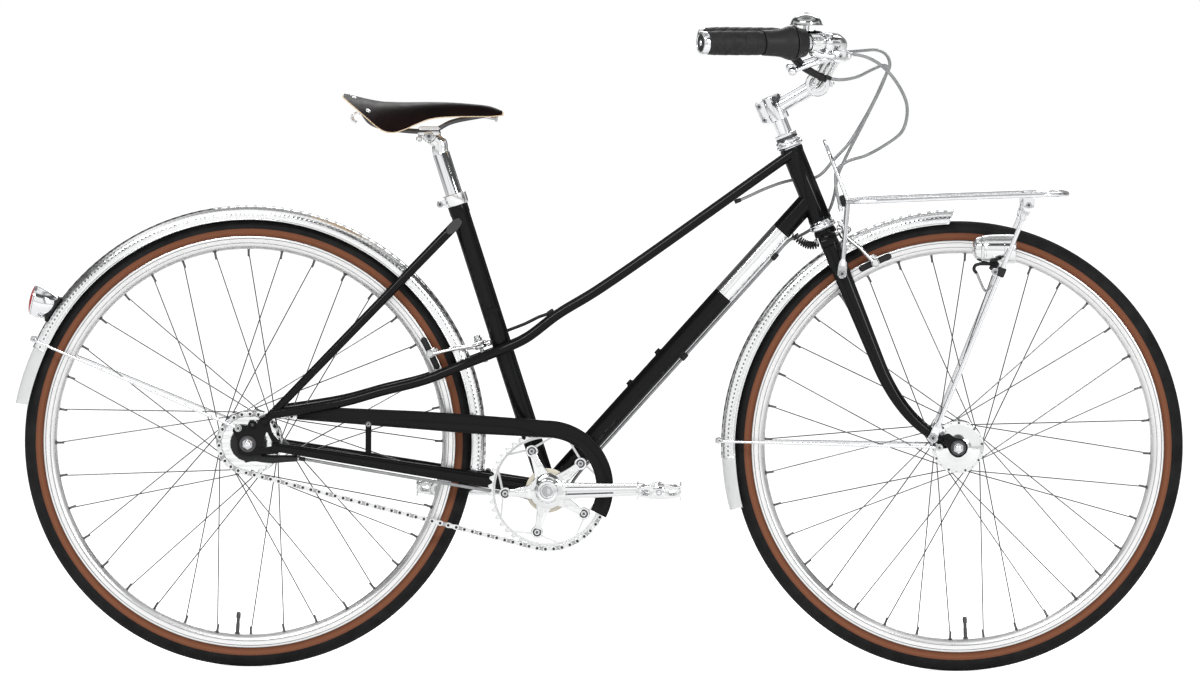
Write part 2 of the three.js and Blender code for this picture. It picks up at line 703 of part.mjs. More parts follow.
// Wire stay: from its eyelet on one side, round the fender and back to the other side
function fenderWire(axle, fender, eyelet, eyeletSide) {
  const pieces = [];
  const outside = fenderRadius + fenderStay.radius;
  const crossPoint = (side) => around(axle, outside, fender.stayDeg, side);
  const wide = fenderWidth / 2 + fenderStay.side;
  for (const sideSign of [1, -1]) {
    const foot = vec(eyelet.x, sideSign * eyeletSide, eyelet.z);
    pieces.push(rod(foot, crossPoint(sideSign * wide), fenderStay.radius, wireSides));
  }
  pieces.push(rod(crossPoint(-wide), crossPoint(wide), fenderStay.radius, wireSides));
  return pieces;
}

const tailLight = { length: 34, radius: 23, standOff: -4, angleDeg: 146.3, footRadius: 9, baseShare: 0.72 };

function buildRearFender() {
  const eyelet = vec(rearAxle.x + rearDropoutReach * -0.3, 0, rearAxle.z + rearDropoutReach * 0.5);
  const eyeletSide = rearHubSpacing / 2 + rearDropout.thickness + gap + fenderStay.radius;
  const bolts = [1, -1].map((sideSign) => crossRod(eyelet, fenderStay.clipRadius,
    sideSign * (eyeletSide - fenderStay.radius), sideSign * (eyeletSide + fenderStay.clipLength)));
  const wires = fenderWire(rearAxle, rearFender, eyelet, eyeletSide + fenderStay.radius);
  part('rear_fender', fenderBlade(rearAxle, rearFender), 'hammered_alloy');
  const cutter = fenderCutter(rearAxle, rearFender);
  part('rear_fender_stay', cut(join(...wires, ...bolts), cutter), 'steel');

  const foot = around(rearAxle, fenderRadius + gap, tailLight.angleDeg);
  const middle = around(rearAxle, fenderRadius + tailLight.standOff + tailLight.radius, tailLight.angleDeg);
  const body = rod(middle.clone().addScaledVector(ahead, tailLight.length / 2),
    middle.clone().addScaledVector(ahead, -tailLight.length / 2),
    tailLight.radius * tailLight.baseShare, tubeSides, tailLight.radius);
  const neck = rod(foot, middle, tailLight.footRadius);
  part('tail_light', cut(join(body, neck), fenderCutter(rearAxle, rearFender)), 'chrome');
}

function fenderCutter(axle, fender) {
  const half = fenderWidth / 2 + gap;
  const shape = shapeFrom([[-half, -gap], [half, -gap], [half, fenderDepth + gap],
    [-half, fenderDepth + gap]]);
  const steps = Math.round((fender.flapDeg - fender.startDeg) / fenderStepDeg);
  return sweep(new WheelArc(axle, fenderRadius, fender.startDeg, fender.flapDeg), shape, steps, left);
}

// Fork, headset and stem

const cups = { radius: 20.5, lowerHeight: 12, upperHeight: 14, rim: 2, crownRaceHeight: 5 };
const crown = { bottom: 359, top: 376, depth: 30, halfWidth: 43, shoulder: 9 };
const blade = {
  topSide: 34, topHalfDeep: 14, topHalfAcross: 9, endHalf: 6.5, straightEnd: 160, tipAlong: 17,
    tipForward: 46,
  bendAlong: 70, bendForward: 1,
};
const frontDropout = { thickness: 4, reach: 15 };
const frontDropoutShares = [
  [-2, 1.15], [-1.15, 0.1], [-0.8, -0.6], [-0.25, -1], [0.3, -0.95], [0.85, -0.5], [1, 0.1], [0.8, 0.65],
  [0.35, 0.95], [-0.3, 1], [-1, 1.5],
];
const frontDropoutSide = frontHubSpacing / 2 + frontDropout.thickness / 2;
const forkEyelet = { along: 29, forward: 34, radius: 4, length: 8 };
const stayEyelet = { back: 29, rise: 1, radius: 4, length: 8 };
const rackEyelet = { along: 312, radius: 4, length: 6 };
const caliperBolt = { along: 369, length: 20, radius: 3, bore: 3.4 };
const lockNut = { radius: 18.5, height: 9 };
const stem = {
  quillDepth: 60, clampBottom: 563, clampTop: 602, clampRadius: 16, armRadius: 12, barClampRadius: 18.5,
  barClampHalf: 21, earReach: 10, earHalf: 9, boltRadius: 3.5, boltSpacing: 22,
};
const barSleeveRadius = 12.7;
const cupBore = boreFor(steererRadius);

function frontDropoutPlate(sideSign) {
  const outline = frontDropoutShares.map(([x, z]) => [
    frontAxle.x + x * frontDropout.reach, frontAxle.z + z * frontDropout.reach]);
  const inner = frontHubSpacing / 2;
  const outer = inner + frontDropout.thickness;
  return sideSign > 0 ? plate(shapeFrom(outline), inner, outer) : plate(shapeFrom(outline), -outer, -inner);
}

function bladePath(sideSign) {
  const sideAt = (along) =>
    sideSign * (frontDropoutSide - ((frontDropoutSide - blade.topSide) * along) / crown.bottom);
  const top = onAxis(crown.bottom - 3 * gap, 0, sideAt(crown.bottom));
  const bend = onAxis(blade.straightEnd, 0, sideAt(blade.straightEnd));
  const pull = onAxis(blade.bendAlong, blade.bendForward, sideAt(blade.bendAlong));
  const tip = onAxis(blade.tipAlong, blade.tipForward, sideAt(blade.tipAlong));
  const path = new THREE.CurvePath();
  path.add(new THREE.LineCurve3(top, bend));
  path.add(new THREE.QuadraticBezierCurve3(bend, pull, tip));
  return path;
}

function buildFork() {
  const shape = new THREE.Shape();
  const half = crown.halfWidth;
  const rise = crown.top - crown.bottom;
  shape.moveTo(-half, 0);
  shape.lineTo(half, 0);
  shape.lineTo(half, rise - crown.shoulder);
  shape.lineTo(half - crown.shoulder, rise);
  shape.lineTo(crown.shoulder - half, rise);
  shape.lineTo(-half, rise - crown.shoulder);
  const bridge = new THREE.ExtrudeGeometry(shape, { depth: crown.depth, bevelEnabled: false });
  bridge.translate(0, 0, -crown.depth / 2);
  bridge.applyMatrix4(new THREE.Matrix4().makeBasis(left, axisUp, axisAhead));
  const base = onAxis(crown.bottom);
  bridge.translate(base.x, base.y, base.z);
  const steererTop = headTubeBase + headTubeLength + gap + cups.upperHeight;
  const raceTop = headTubeBase - gap - cups.lowerHeight - gap;
  const steerer = rod(onAxis(crown.bottom + crown.shoulder), onAxis(steererTop), steererRadius, tubeSides);
  const race = rod(onAxis(crown.top - overrun), onAxis(raceTop), headTubeRadius, tubeSides);
  const bolt = rod(onAxis(caliperBolt.along),
    onAxis(caliperBolt.along, crown.depth / 2 + caliperBolt.length),
    caliperBolt.radius);
  const hollow = rod(onAxis(steererTop - stem.quillDepth - gap), onAxis(steererTop + overrun),
    steererBore, tubeSides);
  part('fork_crown', cut(join(outward(bridge), steerer, race, bolt), hollow), 'black_paint');

  const deep = (share) => blade.endHalf + (blade.topHalfDeep - blade.endHalf) * (1 - share) ** 0.8;
  const across = (share) => blade.endHalf + (blade.topHalfAcross - blade.endHalf) * (1 - share);
  for (const [name, sideSign] of [['fork_blade_left', 1], ['fork_blade_right', -1]]) {
    const tubePiece = taperedTube(bladePath(sideSign), 9, 10, across, deep);
    const eyelet = rod(onAxis(forkEyelet.along, forkEyelet.forward, sideSign * frontDropoutSide),
      onAxis(forkEyelet.along, forkEyelet.forward, sideSign * (frontDropoutSide + forkEyelet.length)),
        forkEyelet.radius);
    const rackSide = blade.topSide + blade.topHalfAcross;
    const rackBoss = rod(onAxis(rackEyelet.along, 0, sideSign * blade.topSide),
      onAxis(rackEyelet.along, 0, sideSign * (rackSide + rackEyelet.length)), rackEyelet.radius);
    const axleHole = crossRod(frontAxle, axleRadius + gap, -frontHubSpacing, frontHubSpacing);
    const stayCentre = vec(frontAxle.x - stayEyelet.back, 0, frontAxle.z + stayEyelet.rise);
    const stayBoss = rod(stayCentre.clone().setY(sideSign * frontHubSpacing / 2),
      stayCentre.clone().setY(sideSign * (frontDropoutSide + stayEyelet.length)), stayEyelet.radius);
    part(name, cut(join(tubePiece, frontDropoutPlate(sideSign), eyelet, rackBoss, stayBoss), axleHole),
      'black_paint');
  }
}

function buildHeadset() {
  const lowerBase = headTubeBase - gap - cups.lowerHeight;
  const lower = [
    [cupBore, 0], [cups.radius - cups.rim, 0], [cups.radius, cups.rim],
      [cups.radius, cups.lowerHeight - cups.rim],
    [headTubeRadius, cups.lowerHeight], [cupBore, cups.lowerHeight], [cupBore, 0],
  ];
  part('headset_lower_cup', turned(lower, onAxis(lowerBase), axisUp, tubeSides), 'chrome');
  const upperBase = headTubeBase + headTubeLength + gap;
  const upper = [
    [cupBore, 0], [headTubeRadius, 0], [cups.radius, cups.rim], [cups.radius, cups.upperHeight / 2],
    [cups.radius - cups.rim, cups.upperHeight / 2 + cups.rim], [cups.radius - cups.rim, cups.upperHeight],
    [cupBore, cups.upperHeight], [cupBore, 0],
  ];
  part('headset_upper_cup', turned(upper, onAxis(upperBase), axisUp, tubeSides), 'chrome');
}

const barCentre = onAxis(stemHeight, stemReach);

function buildStem() {
  const nutBase = headTubeBase + headTubeLength + gap + cups.upperHeight + gap;
  const nut = rod(onAxis(nutBase), onAxis(nutBase + lockNut.height), lockNut.radius, tubeSides);
  const quill = rod(onAxis(nutBase - stem.quillDepth), onAxis(stem.clampBottom + overrun),
    steererBore - gap, tubeSides);
  const clamp = rod(onAxis(stem.clampBottom), onAxis(stem.clampTop), stem.clampRadius, tubeSides);
  const armStart = onAxis((stem.clampBottom + stem.clampTop) / 2);
  const arm = rod(armStart, barCentre, stem.armRadius, tubeSides);
  const barClamp = crossRod(barCentre, stem.barClampRadius, -stem.barClampHalf, stem.barClampHalf,
    tubeSides);
  const earCentre = onAxis((stem.clampBottom + stem.clampTop) / 2, -stem.clampRadius - stem.earReach / 2);
  const ear = block(earCentre, axisAhead, left, stem.earReach + overrun, stem.earHalf * 2,
    stem.clampTop - stem.clampBottom);
  const pieces = [nut, quill, clamp, arm, barClamp, ear];
  for (const rise of [-0.5, 0.5]) {
    const rear = earCentre.clone().addScaledVector(axisUp, rise * stem.boltSpacing);
    pieces.push(crossRod(rear, stem.boltRadius, -stem.earHalf - stem.boltRadius,
      stem.earHalf + stem.boltRadius, wireSides));
  }
  const armDirection = barCentre.clone().sub(armStart).normalize();
  for (const sideSign of [1, -1]) {
    const side = sideSign * stem.barClampHalf * 0.6;
    const bolt = barCentre.clone().addScaledVector(left, side);
    const boltEnd = bolt.clone().addScaledVector(armDirection, stem.barClampRadius + stem.boltRadius);
    pieces.push(rod(bolt, boltEnd, stem.boltRadius, wireSides));
  }
  const bore = crossRod(barCentre, boreFor(barSleeveRadius), -stem.barClampHalf * 2,
    stem.barClampHalf * 2, tubeSides);
  part('stem', cut(join(...pieces), bore), 'chrome');
}

// Handlebar: it leaves the stem, rises forward and sweeps back to the grips

const barRise = 65;
const barForward = 31;
const barSweep = 174;
const plug = { radius: 16, length: 5 };
const gripOut = (sideSign) => vec(-Math.cos(rad(gripAngleDeg)), sideSign * Math.sin(rad(gripAngleDeg)), 0);
const barEnd = (sideSign) => vec(barCentre.x - barSweep, (sideSign * barWidth) / 2, barCentre.z + barRise);
const gripStart = (sideSign) => barEnd(sideSign).addScaledVector(gripOut(sideSign), -gripLength);
const alongGrip = (sideSign, at, drop = 0) => gripStart(sideSign).addScaledVector(gripOut(sideSign), at)
  .addScaledVector(up, -drop);

// From the stem to the start of the grips: shares of the forward reach, of the side and of the rise
const barShares = [
  [0, 0, 0], [0, 0.16, 0], [0.3, 0.3, 0.24], [0.86, 0.5, 0.74], [1.03, 0.7, 0.95], [0.83, 0.88, 1],
];
const barSteps = 17;

function barRoute(sideSign) {
  const start = gripStart(sideSign);
  const points = barShares.map(([forward, side, rise]) => vec(
    barCentre.x + forward * barForward, side * start.y, barCentre.z + rise * barRise));
  points.push(alongGrip(sideSign, -bracketPlace.start), start, alongGrip(sideSign, gripLength * 0.5),
    alongGrip(sideSign, gripLength));
  return points;
}

function barTube(radius, sides = tubeSides) {
  const rightHalf = barRoute(-1).reverse();
  const points = [...rightHalf.slice(0, -1), barCentre.clone(), ...barRoute(1).slice(1)];
  return tube(points, radius, barSteps * 2, sides);
}

function buildHandlebar() {
  const sleeve = crossRod(barCentre, barSleeveRadius, -stem.barClampHalf * 1.4, stem.barClampHalf * 1.4,
    tubeSides);
  const plugs = [1, -1].map((sideSign) => rod(
    alongGrip(sideSign, gripLength - overrun), alongGrip(sideSign, gripLength + plug.length),
      plug.radius, tubeSides));
  part('handlebar', join(barTube(barRadius, rodSides), sleeve, ...plugs), 'polished_alloy');
}

// On the grips: the distance of each piece from the start of the straight
const barSeat = boreFor(barRadius);
const bracketPlace = { start: 2, length: 16, radius: 15.5 };
const shifterPlace = { start: 24, length: 20, radius: 20, flange: 26 };
const twistPlace = { start: 44.5, length: 50, radius: 20, flange: 27, flangeLength: 14 };
const rightGrip = { start: 95, radius: 17.5, endRadius: 16 };
const leftGrip = { start: 62, radius: 17.5, endRadius: 16 };
const lever = {
  pivotAt: -30, pivotDrop: 20, tipAt: 44, tipDrop: 42, thickness: 9, width: 12, tipRadius: 6,
    pivotRadius: 7, pinRadius: 3, webLength: 5,
};

function buildGrips() {
  const length = gripLength - gap - overrun;
  for (const [name, sideSign, grip] of [['grip_left', 1, leftGrip], ['grip_right', -1, rightGrip]]) {
    const run = length - grip.start;
    const profile = [
      [barSeat, 0], [grip.radius - 1.5, 0], [grip.radius, run * 0.15], [grip.radius, run * 0.7],
      [grip.endRadius, run], [barSeat, run], [barSeat, 0],
    ];
    part(name, turned(profile, alongGrip(sideSign, grip.start), gripOut(sideSign), tubeSides),
      'grip_leather');
  }
  const out = gripOut(-1);
  const twist = twistPlace;
  const profile = [
    [barSeat, 0], [twist.radius, 0], [twist.flange, twist.flangeLength * 0.4],
      [twist.radius, twist.flangeLength],
    [rightGrip.radius + 1, twist.length], [barSeat, twist.length], [barSeat, 0],
  ];
  part('twist_grip', turned(profile, alongGrip(-1, twist.start), out, tubeSides), 'black_plastic');
}

// Brake levers with their brackets, shifter housing and bell

const levelAcross = (sideSign) =>
  vec(Math.sin(rad(gripAngleDeg)), sideSign * Math.cos(rad(gripAngleDeg)), 0);
const bracketArmInset = 2;
const cheekRim = 2;
const leverBarrel = { reach: 16, lift: 1 };

function buildLeverSet() {
  for (const [side, sideSign] of [['left', 1], ['right', -1]]) {
    const out = gripOut(sideSign);
    const across = levelAcross(sideSign);
    const pivot = alongGrip(sideSign, lever.pivotAt, lever.pivotDrop);
    const ring = rod(alongGrip(sideSign, bracketPlace.start),
      alongGrip(sideSign, bracketPlace.start + bracketPlace.length),
      bracketPlace.radius, tubeSides);
    const ringCentre = alongGrip(sideSign, bracketPlace.start + bracketPlace.length / 2,
      bracketPlace.radius - bracketArmInset);
    const arm = rod(ringCentre, pivot, bracketPlace.radius / 2);
    const cheek = rod(pivot.clone().addScaledVector(across, -lever.width),
      pivot.clone().addScaledVector(across, lever.width),
      lever.pivotRadius + cheekRim, tubeSides);
    const barrelEnd = alongGrip(sideSign, lever.pivotAt - leverBarrel.reach,
      lever.pivotDrop - leverBarrel.lift);
    const webAt = lever.pivotAt - lever.pivotRadius - 2 * gap - lever.webLength / 2;
    const barrelStart = alongGrip(sideSign, webAt, lever.pivotDrop);
    const barrel = rod(barrelStart, barrelEnd, lever.pivotRadius * 0.6);
    const web = block(barrelStart, out, across, lever.webLength, lever.width * 2, lever.pivotRadius * 1.6);
    const slotLength = lever.tipAt - lever.pivotAt;
    const slotCentre = alongGrip(sideSign, (lever.tipAt + lever.pivotAt) / 2 - lever.pivotRadius * 0.6,
      (lever.tipDrop + lever.pivotDrop) / 2);
    const slot = block(slotCentre, out, across, slotLength + lever.pivotRadius * 3,
      lever.thickness + 2 * gap, slotLength);
    const bore = barTube(barSeat);
    const bracket = join(cut(join(ring, arm, cheek), bore, slot), web, barrel);
    const pin = rod(pivot.clone().addScaledVector(across, -lever.width),
      pivot.clone().addScaledVector(across, lever.width),
      lever.pinRadius);
    part('lever_bracket_' + side, join(bracket, pin), 'polished_alloy');

    const tip = alongGrip(sideSign, lever.tipAt, lever.tipDrop);
    const bladeDirection = tip.clone().sub(pivot).normalize();
    const bladeMiddle = between(pivot, tip, 0.5);
    const bladePiece = block(bladeMiddle, bladeDirection, across, pivot.distanceTo(tip), lever.thickness,
      lever.width * 0.8);
    const knuckle = rod(pivot.clone().addScaledVector(across, -lever.thickness / 2),
      pivot.clone().addScaledVector(across, lever.thickness / 2), lever.pivotRadius, tubeSides);
    const knob = new THREE.SphereGeometry(lever.tipRadius, 8, 6);
    knob.translate(tip.x, tip.y, tip.z);
    const pinHole = rod(pivot.clone().addScaledVector(across, -lever.width),
      pivot.clone().addScaledVector(across, lever.width),
      lever.pinRadius + gap);
    part('brake_lever_' + side, cut(join(bladePiece, knuckle, knob), pinHole), 'chrome');
  }
}

const shifter = { barrelStart: 36, startDrop: 20, barrelAt: -9, barrelDrop: 50, barrelRadius: 5,
  startRadius: 6, inset: 15, rootStep: 5 };

function buildShifter() {
  const place = shifterPlace;
  const profile = [
    [barSeat, 0], [place.radius - shifter.rootStep, 0], [place.radius, place.length * 0.4],
      [place.flange, place.length],
    [barSeat, place.length], [barSeat, 0],
  ];
  const body = turned(profile, alongGrip(-1, place.start), gripOut(-1), tubeSides);
  const inner = levelAcross(-1).multiplyScalar(-1);
  const start = alongGrip(-1, shifter.barrelStart, shifter.startDrop).addScaledVector(inner,
    shifter.inset * 0.8);
  const end = alongGrip(-1, shifter.barrelAt, shifter.barrelDrop).addScaledVector(inner, shifter.inset);
  const barrel = rod(start, end, shifter.startRadius, rodSides, shifter.barrelRadius);
  part('shifter_housing', join(body, barrel), 'black_plastic');
}

const bell = {
  radius: 25, height: 15, wall: 1.6, studRadius: 3, at: -12, setback: 30, rise: 27, knobRadius: 4,
    knobHeight: 3,
  clampRadius: 15, clampHalf: 5, strapWidth: 10, strapThickness: 3, clampShare: 0.86,
};

function buildBell() {
  const onBar = alongGrip(-1, bell.at);
  const centre = onBar.clone().add(vec(-bell.setback, bell.setback * 0.6, bell.rise));
  const { radius, height, wall } = bell;
  const dome = turned([
    [bell.studRadius * 0.5, height - wall], [radius * 0.5, height * 0.86 - wall],
      [radius * 0.82, height * 0.5 - wall * 0.5],
    [radius - wall, 0], [radius, 0], [radius * 0.9, height * 0.5], [radius * 0.55, height * 0.87],
    [bell.studRadius * 0.5, height], [bell.studRadius * 0.5, height - wall],
  ], centre, up, 14);
  const stud = rod(centre.clone().addScaledVector(up, -bell.strapThickness),
    centre.clone().addScaledVector(up, height + bell.knobHeight),
    bell.studRadius);
  const strapEnd = onBar.clone().addScaledVector(up, bell.clampRadius - bell.strapThickness);
  const strapDirection = strapEnd.clone().sub(centre);
  const flat = vec(-strapDirection.y, strapDirection.x, 0).normalize();
  const strapMiddle = between(centre, strapEnd, 0.5).addScaledVector(up, -bell.strapThickness / 2);
  const strap = block(strapMiddle, strapDirection.clone().normalize(), flat,
    strapDirection.length() + bell.strapThickness,
    bell.strapWidth, bell.strapThickness);
  const clampCentre = onBar.clone().addScaledVector(up, bell.clampRadius / 2);
  const clamp = block(clampCentre, gripOut(-1), levelAcross(-1), bell.clampHalf * 2,
    bell.clampRadius * 1.8, bell.clampRadius);
  part('bell', cut(join(dome, stud, strap, clamp), barTube(barSeat)), 'chrome');
}

// Rim brakes: two arms on one bolt, each with its pad

const caliper = {
  armThickness: 6, bossRadius: 8.5, armRadius: 4.5, outSide: 33, padInner: 14.8, padThickness: 9,
    padLength: 48, padHeight: 10,
  hornReach: 30, hornRise: 14, firstOffset: 6, armDip: 2, padInset: 2,
};

// The bolt runs along boltDirection; the pads sit at a radius and an angle round the axle
function brakeArm(pivot, boltDirection, sideSign, axle, padAngleDeg, offset, hornUp, hornSide) {
  const own = pivot.clone().addScaledVector(boltDirection, offset);
  const padCentre = around(axle, rimRadius - caliper.padHeight / 2 - caliper.padInset, padAngleDeg,
    sideSign * (caliper.padInner + caliper.padThickness / 2));
  const face = caliper.armThickness / 2;
  const boss = rod(own.clone().addScaledVector(boltDirection, -face),
    own.clone().addScaledVector(boltDirection, face),
    caliper.bossRadius);
  const shoulder = own.clone().addScaledVector(left, sideSign * caliper.outSide);
  shoulder.addScaledVector(hornUp, -caliper.armDip);
  const shoe = vec(padCentre.x, sideSign * caliper.outSide, padCentre.z);
  const upperArm = block(between(own, shoulder, 0.5), left, boltDirection, own.distanceTo(shoulder),
    caliper.armThickness,
    caliper.bossRadius);
  const lowerArm = rod(shoulder, shoe, caliper.armRadius);
  const padTurn = rad(padAngleDeg);
  const tangent = vec(-Math.sin(padTurn), 0, Math.cos(padTurn));
  const pad = block(padCentre, tangent, left, caliper.padLength, caliper.padThickness, caliper.padHeight);
  const stud = rod(padCentre, shoe.clone().addScaledVector(left, sideSign * caliper.armRadius),
    caliper.armRadius * 0.8);
  const bore = rod(own.clone().addScaledVector(boltDirection, -overrun),
    own.clone().addScaledVector(boltDirection, overrun),
    caliperBolt.bore);
  const pieces = [boss, upperArm, lowerArm, pad, stud];
  if (sideSign === hornSide) {
    const horn = own.clone().addScaledVector(left, sideSign * caliper.hornReach).addScaledVector(hornUp,
      caliper.hornRise);
    pieces.push(rod(own, horn, caliper.armThickness / 2, wireSides));
  }
  return cut(join(...pieces), bore);
}

const frontPadDeg = 114.5;
const rearPadDeg = 26.5;
const frontPivot = () => onAxis(caliperBolt.along, crown.depth / 2);
const rearPivot = () => rearBridgeCentre(brakeBridge.radius * 1.7);
const rearBoltDirection = () => rearBridgeCentre(1).sub(rearBridgeCentre()).normalize();

function buildBrakes() {
  const first = caliper.firstOffset;
  const second = first + caliper.armThickness + gap;
  const awayFromAxle = rearPivot().sub(rearAxle).normalize();
  for (const [side, sideSign, offset] of [['left', 1, first], ['right', -1, second]]) {
    part('front_brake_arm_' + side,
      brakeArm(frontPivot(), axisAhead, sideSign, frontAxle, frontPadDeg, offset, axisUp, -1),
        'polished_alloy');
    part('rear_brake_arm_' + side,
      brakeArm(rearPivot(), rearBoltDirection(), sideSign, rearAxle, rearPadDeg, offset, awayFromAxle,
        1), 'polished_alloy');
  }
}

// Front rack, its struts, the headlamp and the front fender

const rack = {
  rearX: 378, frontX: 704, rearZ: 717, frontZ: 732, half: 92, wireRadius: 3.2, frameRadius: 4.2,
    slatCount: 4, hoopTopX: 345,
  hoopTopZ: 800, hoopHalf: 56, tipRise: 5, bracketX: 651, bracketDrop: 22, bumperRadius: 9,
    bumperLength: 14,
};
const strut = { radius: 3.8, eyeRadius: 6 };

function rackPoint(share, side, lift = 0) {
  return vec(rack.rearX + (rack.frontX - rack.rearX) * share, side,
    rack.rearZ + (rack.frontZ - rack.rearZ) * share + lift);
}

function buildRack() {
  const inset = 0.06;
  const corner = rack.half * 0.8;
  const loop = [
    rackPoint(0, -corner), rackPoint(inset, -rack.half), rackPoint(0.5, -rack.half),
      rackPoint(1 - inset, -rack.half),
    rackPoint(1, -corner, rack.tipRise), rackPoint(1, corner, rack.tipRise),
      rackPoint(1 - inset, rack.half),
    rackPoint(0.5, rack.half), rackPoint(inset, rack.half), rackPoint(0, corner),
  ];
  const pieces = [tube(loop, rack.frameRadius, 20, wireSides)];
  pieces.push(rod(rackPoint(0, corner), rackPoint(0, -corner), rack.frameRadius));
  pieces.push(rod(rackPoint(0.82, rack.half), rackPoint(0.82, -rack.half), rack.wireRadius, wireSides));
  for (let i = 1; i <= rack.slatCount; i += 1) {
    const side = -rack.half + (2 * rack.half * i) / (rack.slatCount + 1);
    pieces.push(rod(rackPoint(0, side), rackPoint(1, side, rack.tipRise), rack.wireRadius, wireSides));
  }
  const hoop = [
    rackPoint(0, rack.hoopHalf),
      vec((rack.rearX + rack.hoopTopX) / 2, rack.hoopHalf, (rack.rearZ + rack.hoopTopZ) / 2),
    vec(rack.hoopTopX, rack.hoopHalf * 0.7, rack.hoopTopZ),
      vec(rack.hoopTopX, -rack.hoopHalf * 0.7, rack.hoopTopZ),
    vec((rack.rearX + rack.hoopTopX) / 2, -rack.hoopHalf, (rack.rearZ + rack.hoopTopZ) / 2),
      rackPoint(0, -rack.hoopHalf),
  ];
  pieces.push(tube(hoop, rack.frameRadius, 12, wireSides));
  const bossSide = blade.topSide + blade.topHalfAcross + rackEyelet.length + gap;
  for (const sideSign of [1, -1]) {
    const foot = onAxis(rackEyelet.along, 0, sideSign * (bossSide + rack.frameRadius));
    pieces.push(rod(rackPoint(0, sideSign * rack.hoopHalf), foot, rack.frameRadius));
    pieces.push(rod(foot.clone().setY(sideSign * bossSide),
      foot.clone().setY(sideSign * (bossSide + 2 * rack.frameRadius)), strut.eyeRadius));
    const bracketTop = rackPoint((rack.bracketX - rack.rearX) / (rack.frontX - rack.rearX),
      sideSign * rack.half);
    const bracketCentre = bracketTop.clone().addScaledVector(up, -rack.bracketDrop / 2);
    pieces.push(block(bracketCentre, ahead, left, rack.wireRadius * 4, rack.wireRadius, rack.bracketDrop));
  }
  const bumper = rod(rackPoint(-0.02, -rack.bumperLength / 2, 0),
    rackPoint(-0.02, rack.bumperLength / 2, 0), rack.bumperRadius);
  pieces.push(bumper);
  part('front_rack', join(...pieces), 'chrome');

  for (const [name, sideSign] of [['rack_strut_left', 1], ['rack_strut_right', -1]]) {
    const topZ = rackPoint((rack.bracketX - rack.rearX) / (rack.frontX - rack.rearX),
      0).z - rack.bracketDrop * 0.7;
    const topSide = rack.half - rack.wireRadius / 2 - gap;
    const top = vec(rack.bracketX, sideSign * (topSide - strut.radius), topZ);
    const eyelet = onAxis(forkEyelet.along, forkEyelet.forward,
      sideSign * (frontDropoutSide + forkEyelet.length + gap));
    const foot = eyelet.clone().addScaledVector(left, sideSign * strut.radius);
    const eye = crossRod(top, strut.eyeRadius, top.y - strut.radius, top.y + strut.radius);
    const footEye = crossRod(foot, strut.eyeRadius, foot.y - strut.radius, foot.y + strut.radius);
    part(name, join(rod(foot, top, strut.radius), eye, footEye), 'chrome');
  }
}

const lamp = { x: 600, z: 646, side: 47, radius: 22.5, length: 66, rearShare: 0.82, bracketRadius: 3 };

function buildHeadlamp() {
  const centre = vec(lamp.x, -lamp.side, lamp.z);
  const half = lamp.length / 2;
  const profile = [
    [0, -half], [lamp.radius * 0.4, -half], [lamp.radius * 0.78, -half * 0.86],
      [lamp.radius * lamp.rearShare, -half * 0.5],
    [lamp.radius, -half * 0.2], [lamp.radius, half * 0.94], [lamp.radius * 0.92, half],
      [lamp.radius * 0.8, half * 0.9], [0, half * 0.94],
  ];
  const body = turned(profile, centre, ahead, 16);
  const eyelet = onAxis(forkEyelet.along, forkEyelet.forward,
    -(frontDropoutSide + forkEyelet.length + gap + strut.radius));
  const topZ = rackPoint((rack.bracketX - rack.rearX) / (rack.frontX - rack.rearX),
    0).z - rack.bracketDrop * 0.7;
  const top = vec(rack.bracketX, -(rack.half - rack.wireRadius / 2 - gap - strut.radius), topZ);
  const share = (lamp.z - lamp.radius * 1.5 - eyelet.z) / (top.z - eyelet.z);
  const onStrut = between(eyelet, top, share);
  const bracket = rod(centre.clone().addScaledVector(up, -lamp.radius * 0.8), onStrut, lamp.bracketRadius);
  const clip = rod(between(eyelet, top, share - 0.02), between(eyelet, top, share + 0.02),
    strut.radius * 2);
  const seat = rod(eyelet, top, strut.radius + gap);
  part('headlamp', cut(join(body, bracket, clip), seat), 'polished_alloy');
}

function buildFrontFender() {
  part('front_fender', fenderBlade(frontAxle, frontFender), 'hammered_alloy');
  const eyeletSide = frontDropoutSide + stayEyelet.length + gap;
  const eyelet = vec(frontAxle.x - stayEyelet.back, 0, frontAxle.z + stayEyelet.rise);
  const wires = fenderWire(frontAxle, frontFender, eyelet, eyeletSide + fenderStay.clipLength / 2);
  const bolts = [1, -1].map((sideSign) => rod(eyelet.clone().setY(sideSign * eyeletSide),
    eyelet.clone().setY(sideSign * (eyeletSide + fenderStay.clipLength)), fenderStay.clipRadius));
  part('front_fender_stay', cut(join(...wires, ...bolts), fenderCutter(frontAxle, frontFender)), 'steel');
}

const nut = { radius: 9, length: 9, lockRadius: 8, washer: 1.5 };

function axleWithNuts(axle, spacing, dropoutThickness, hubLength) {
  const outer = spacing / 2 + dropoutThickness + gap;
  const inner = spacing / 2 - gap;
  const end = outer + nut.length + nut.washer;
  const pieces = [crossRod(axle, axleRadius, -end, end)];
  for (const sideSign of [1, -1]) {
    const lockStart = hubLength / 2 + gap;
    const lock = [lockStart, inner].map((side) => side * sideSign).sort((a, b) => a - b);
    const cap = [outer, outer + nut.length].map((side) => side * sideSign).sort((a, b) => a - b);
    pieces.push(crossRod(axle, nut.lockRadius, lock[0], lock[1], tubeSides));
    pieces.push(crossRod(axle, nut.radius, cap[0], cap[1], 6));
  }
  return pieces;
}

const cableUnit = { radius: 26, length: 13, armReach: 76, armDrop: 22, armRadius: 5 };

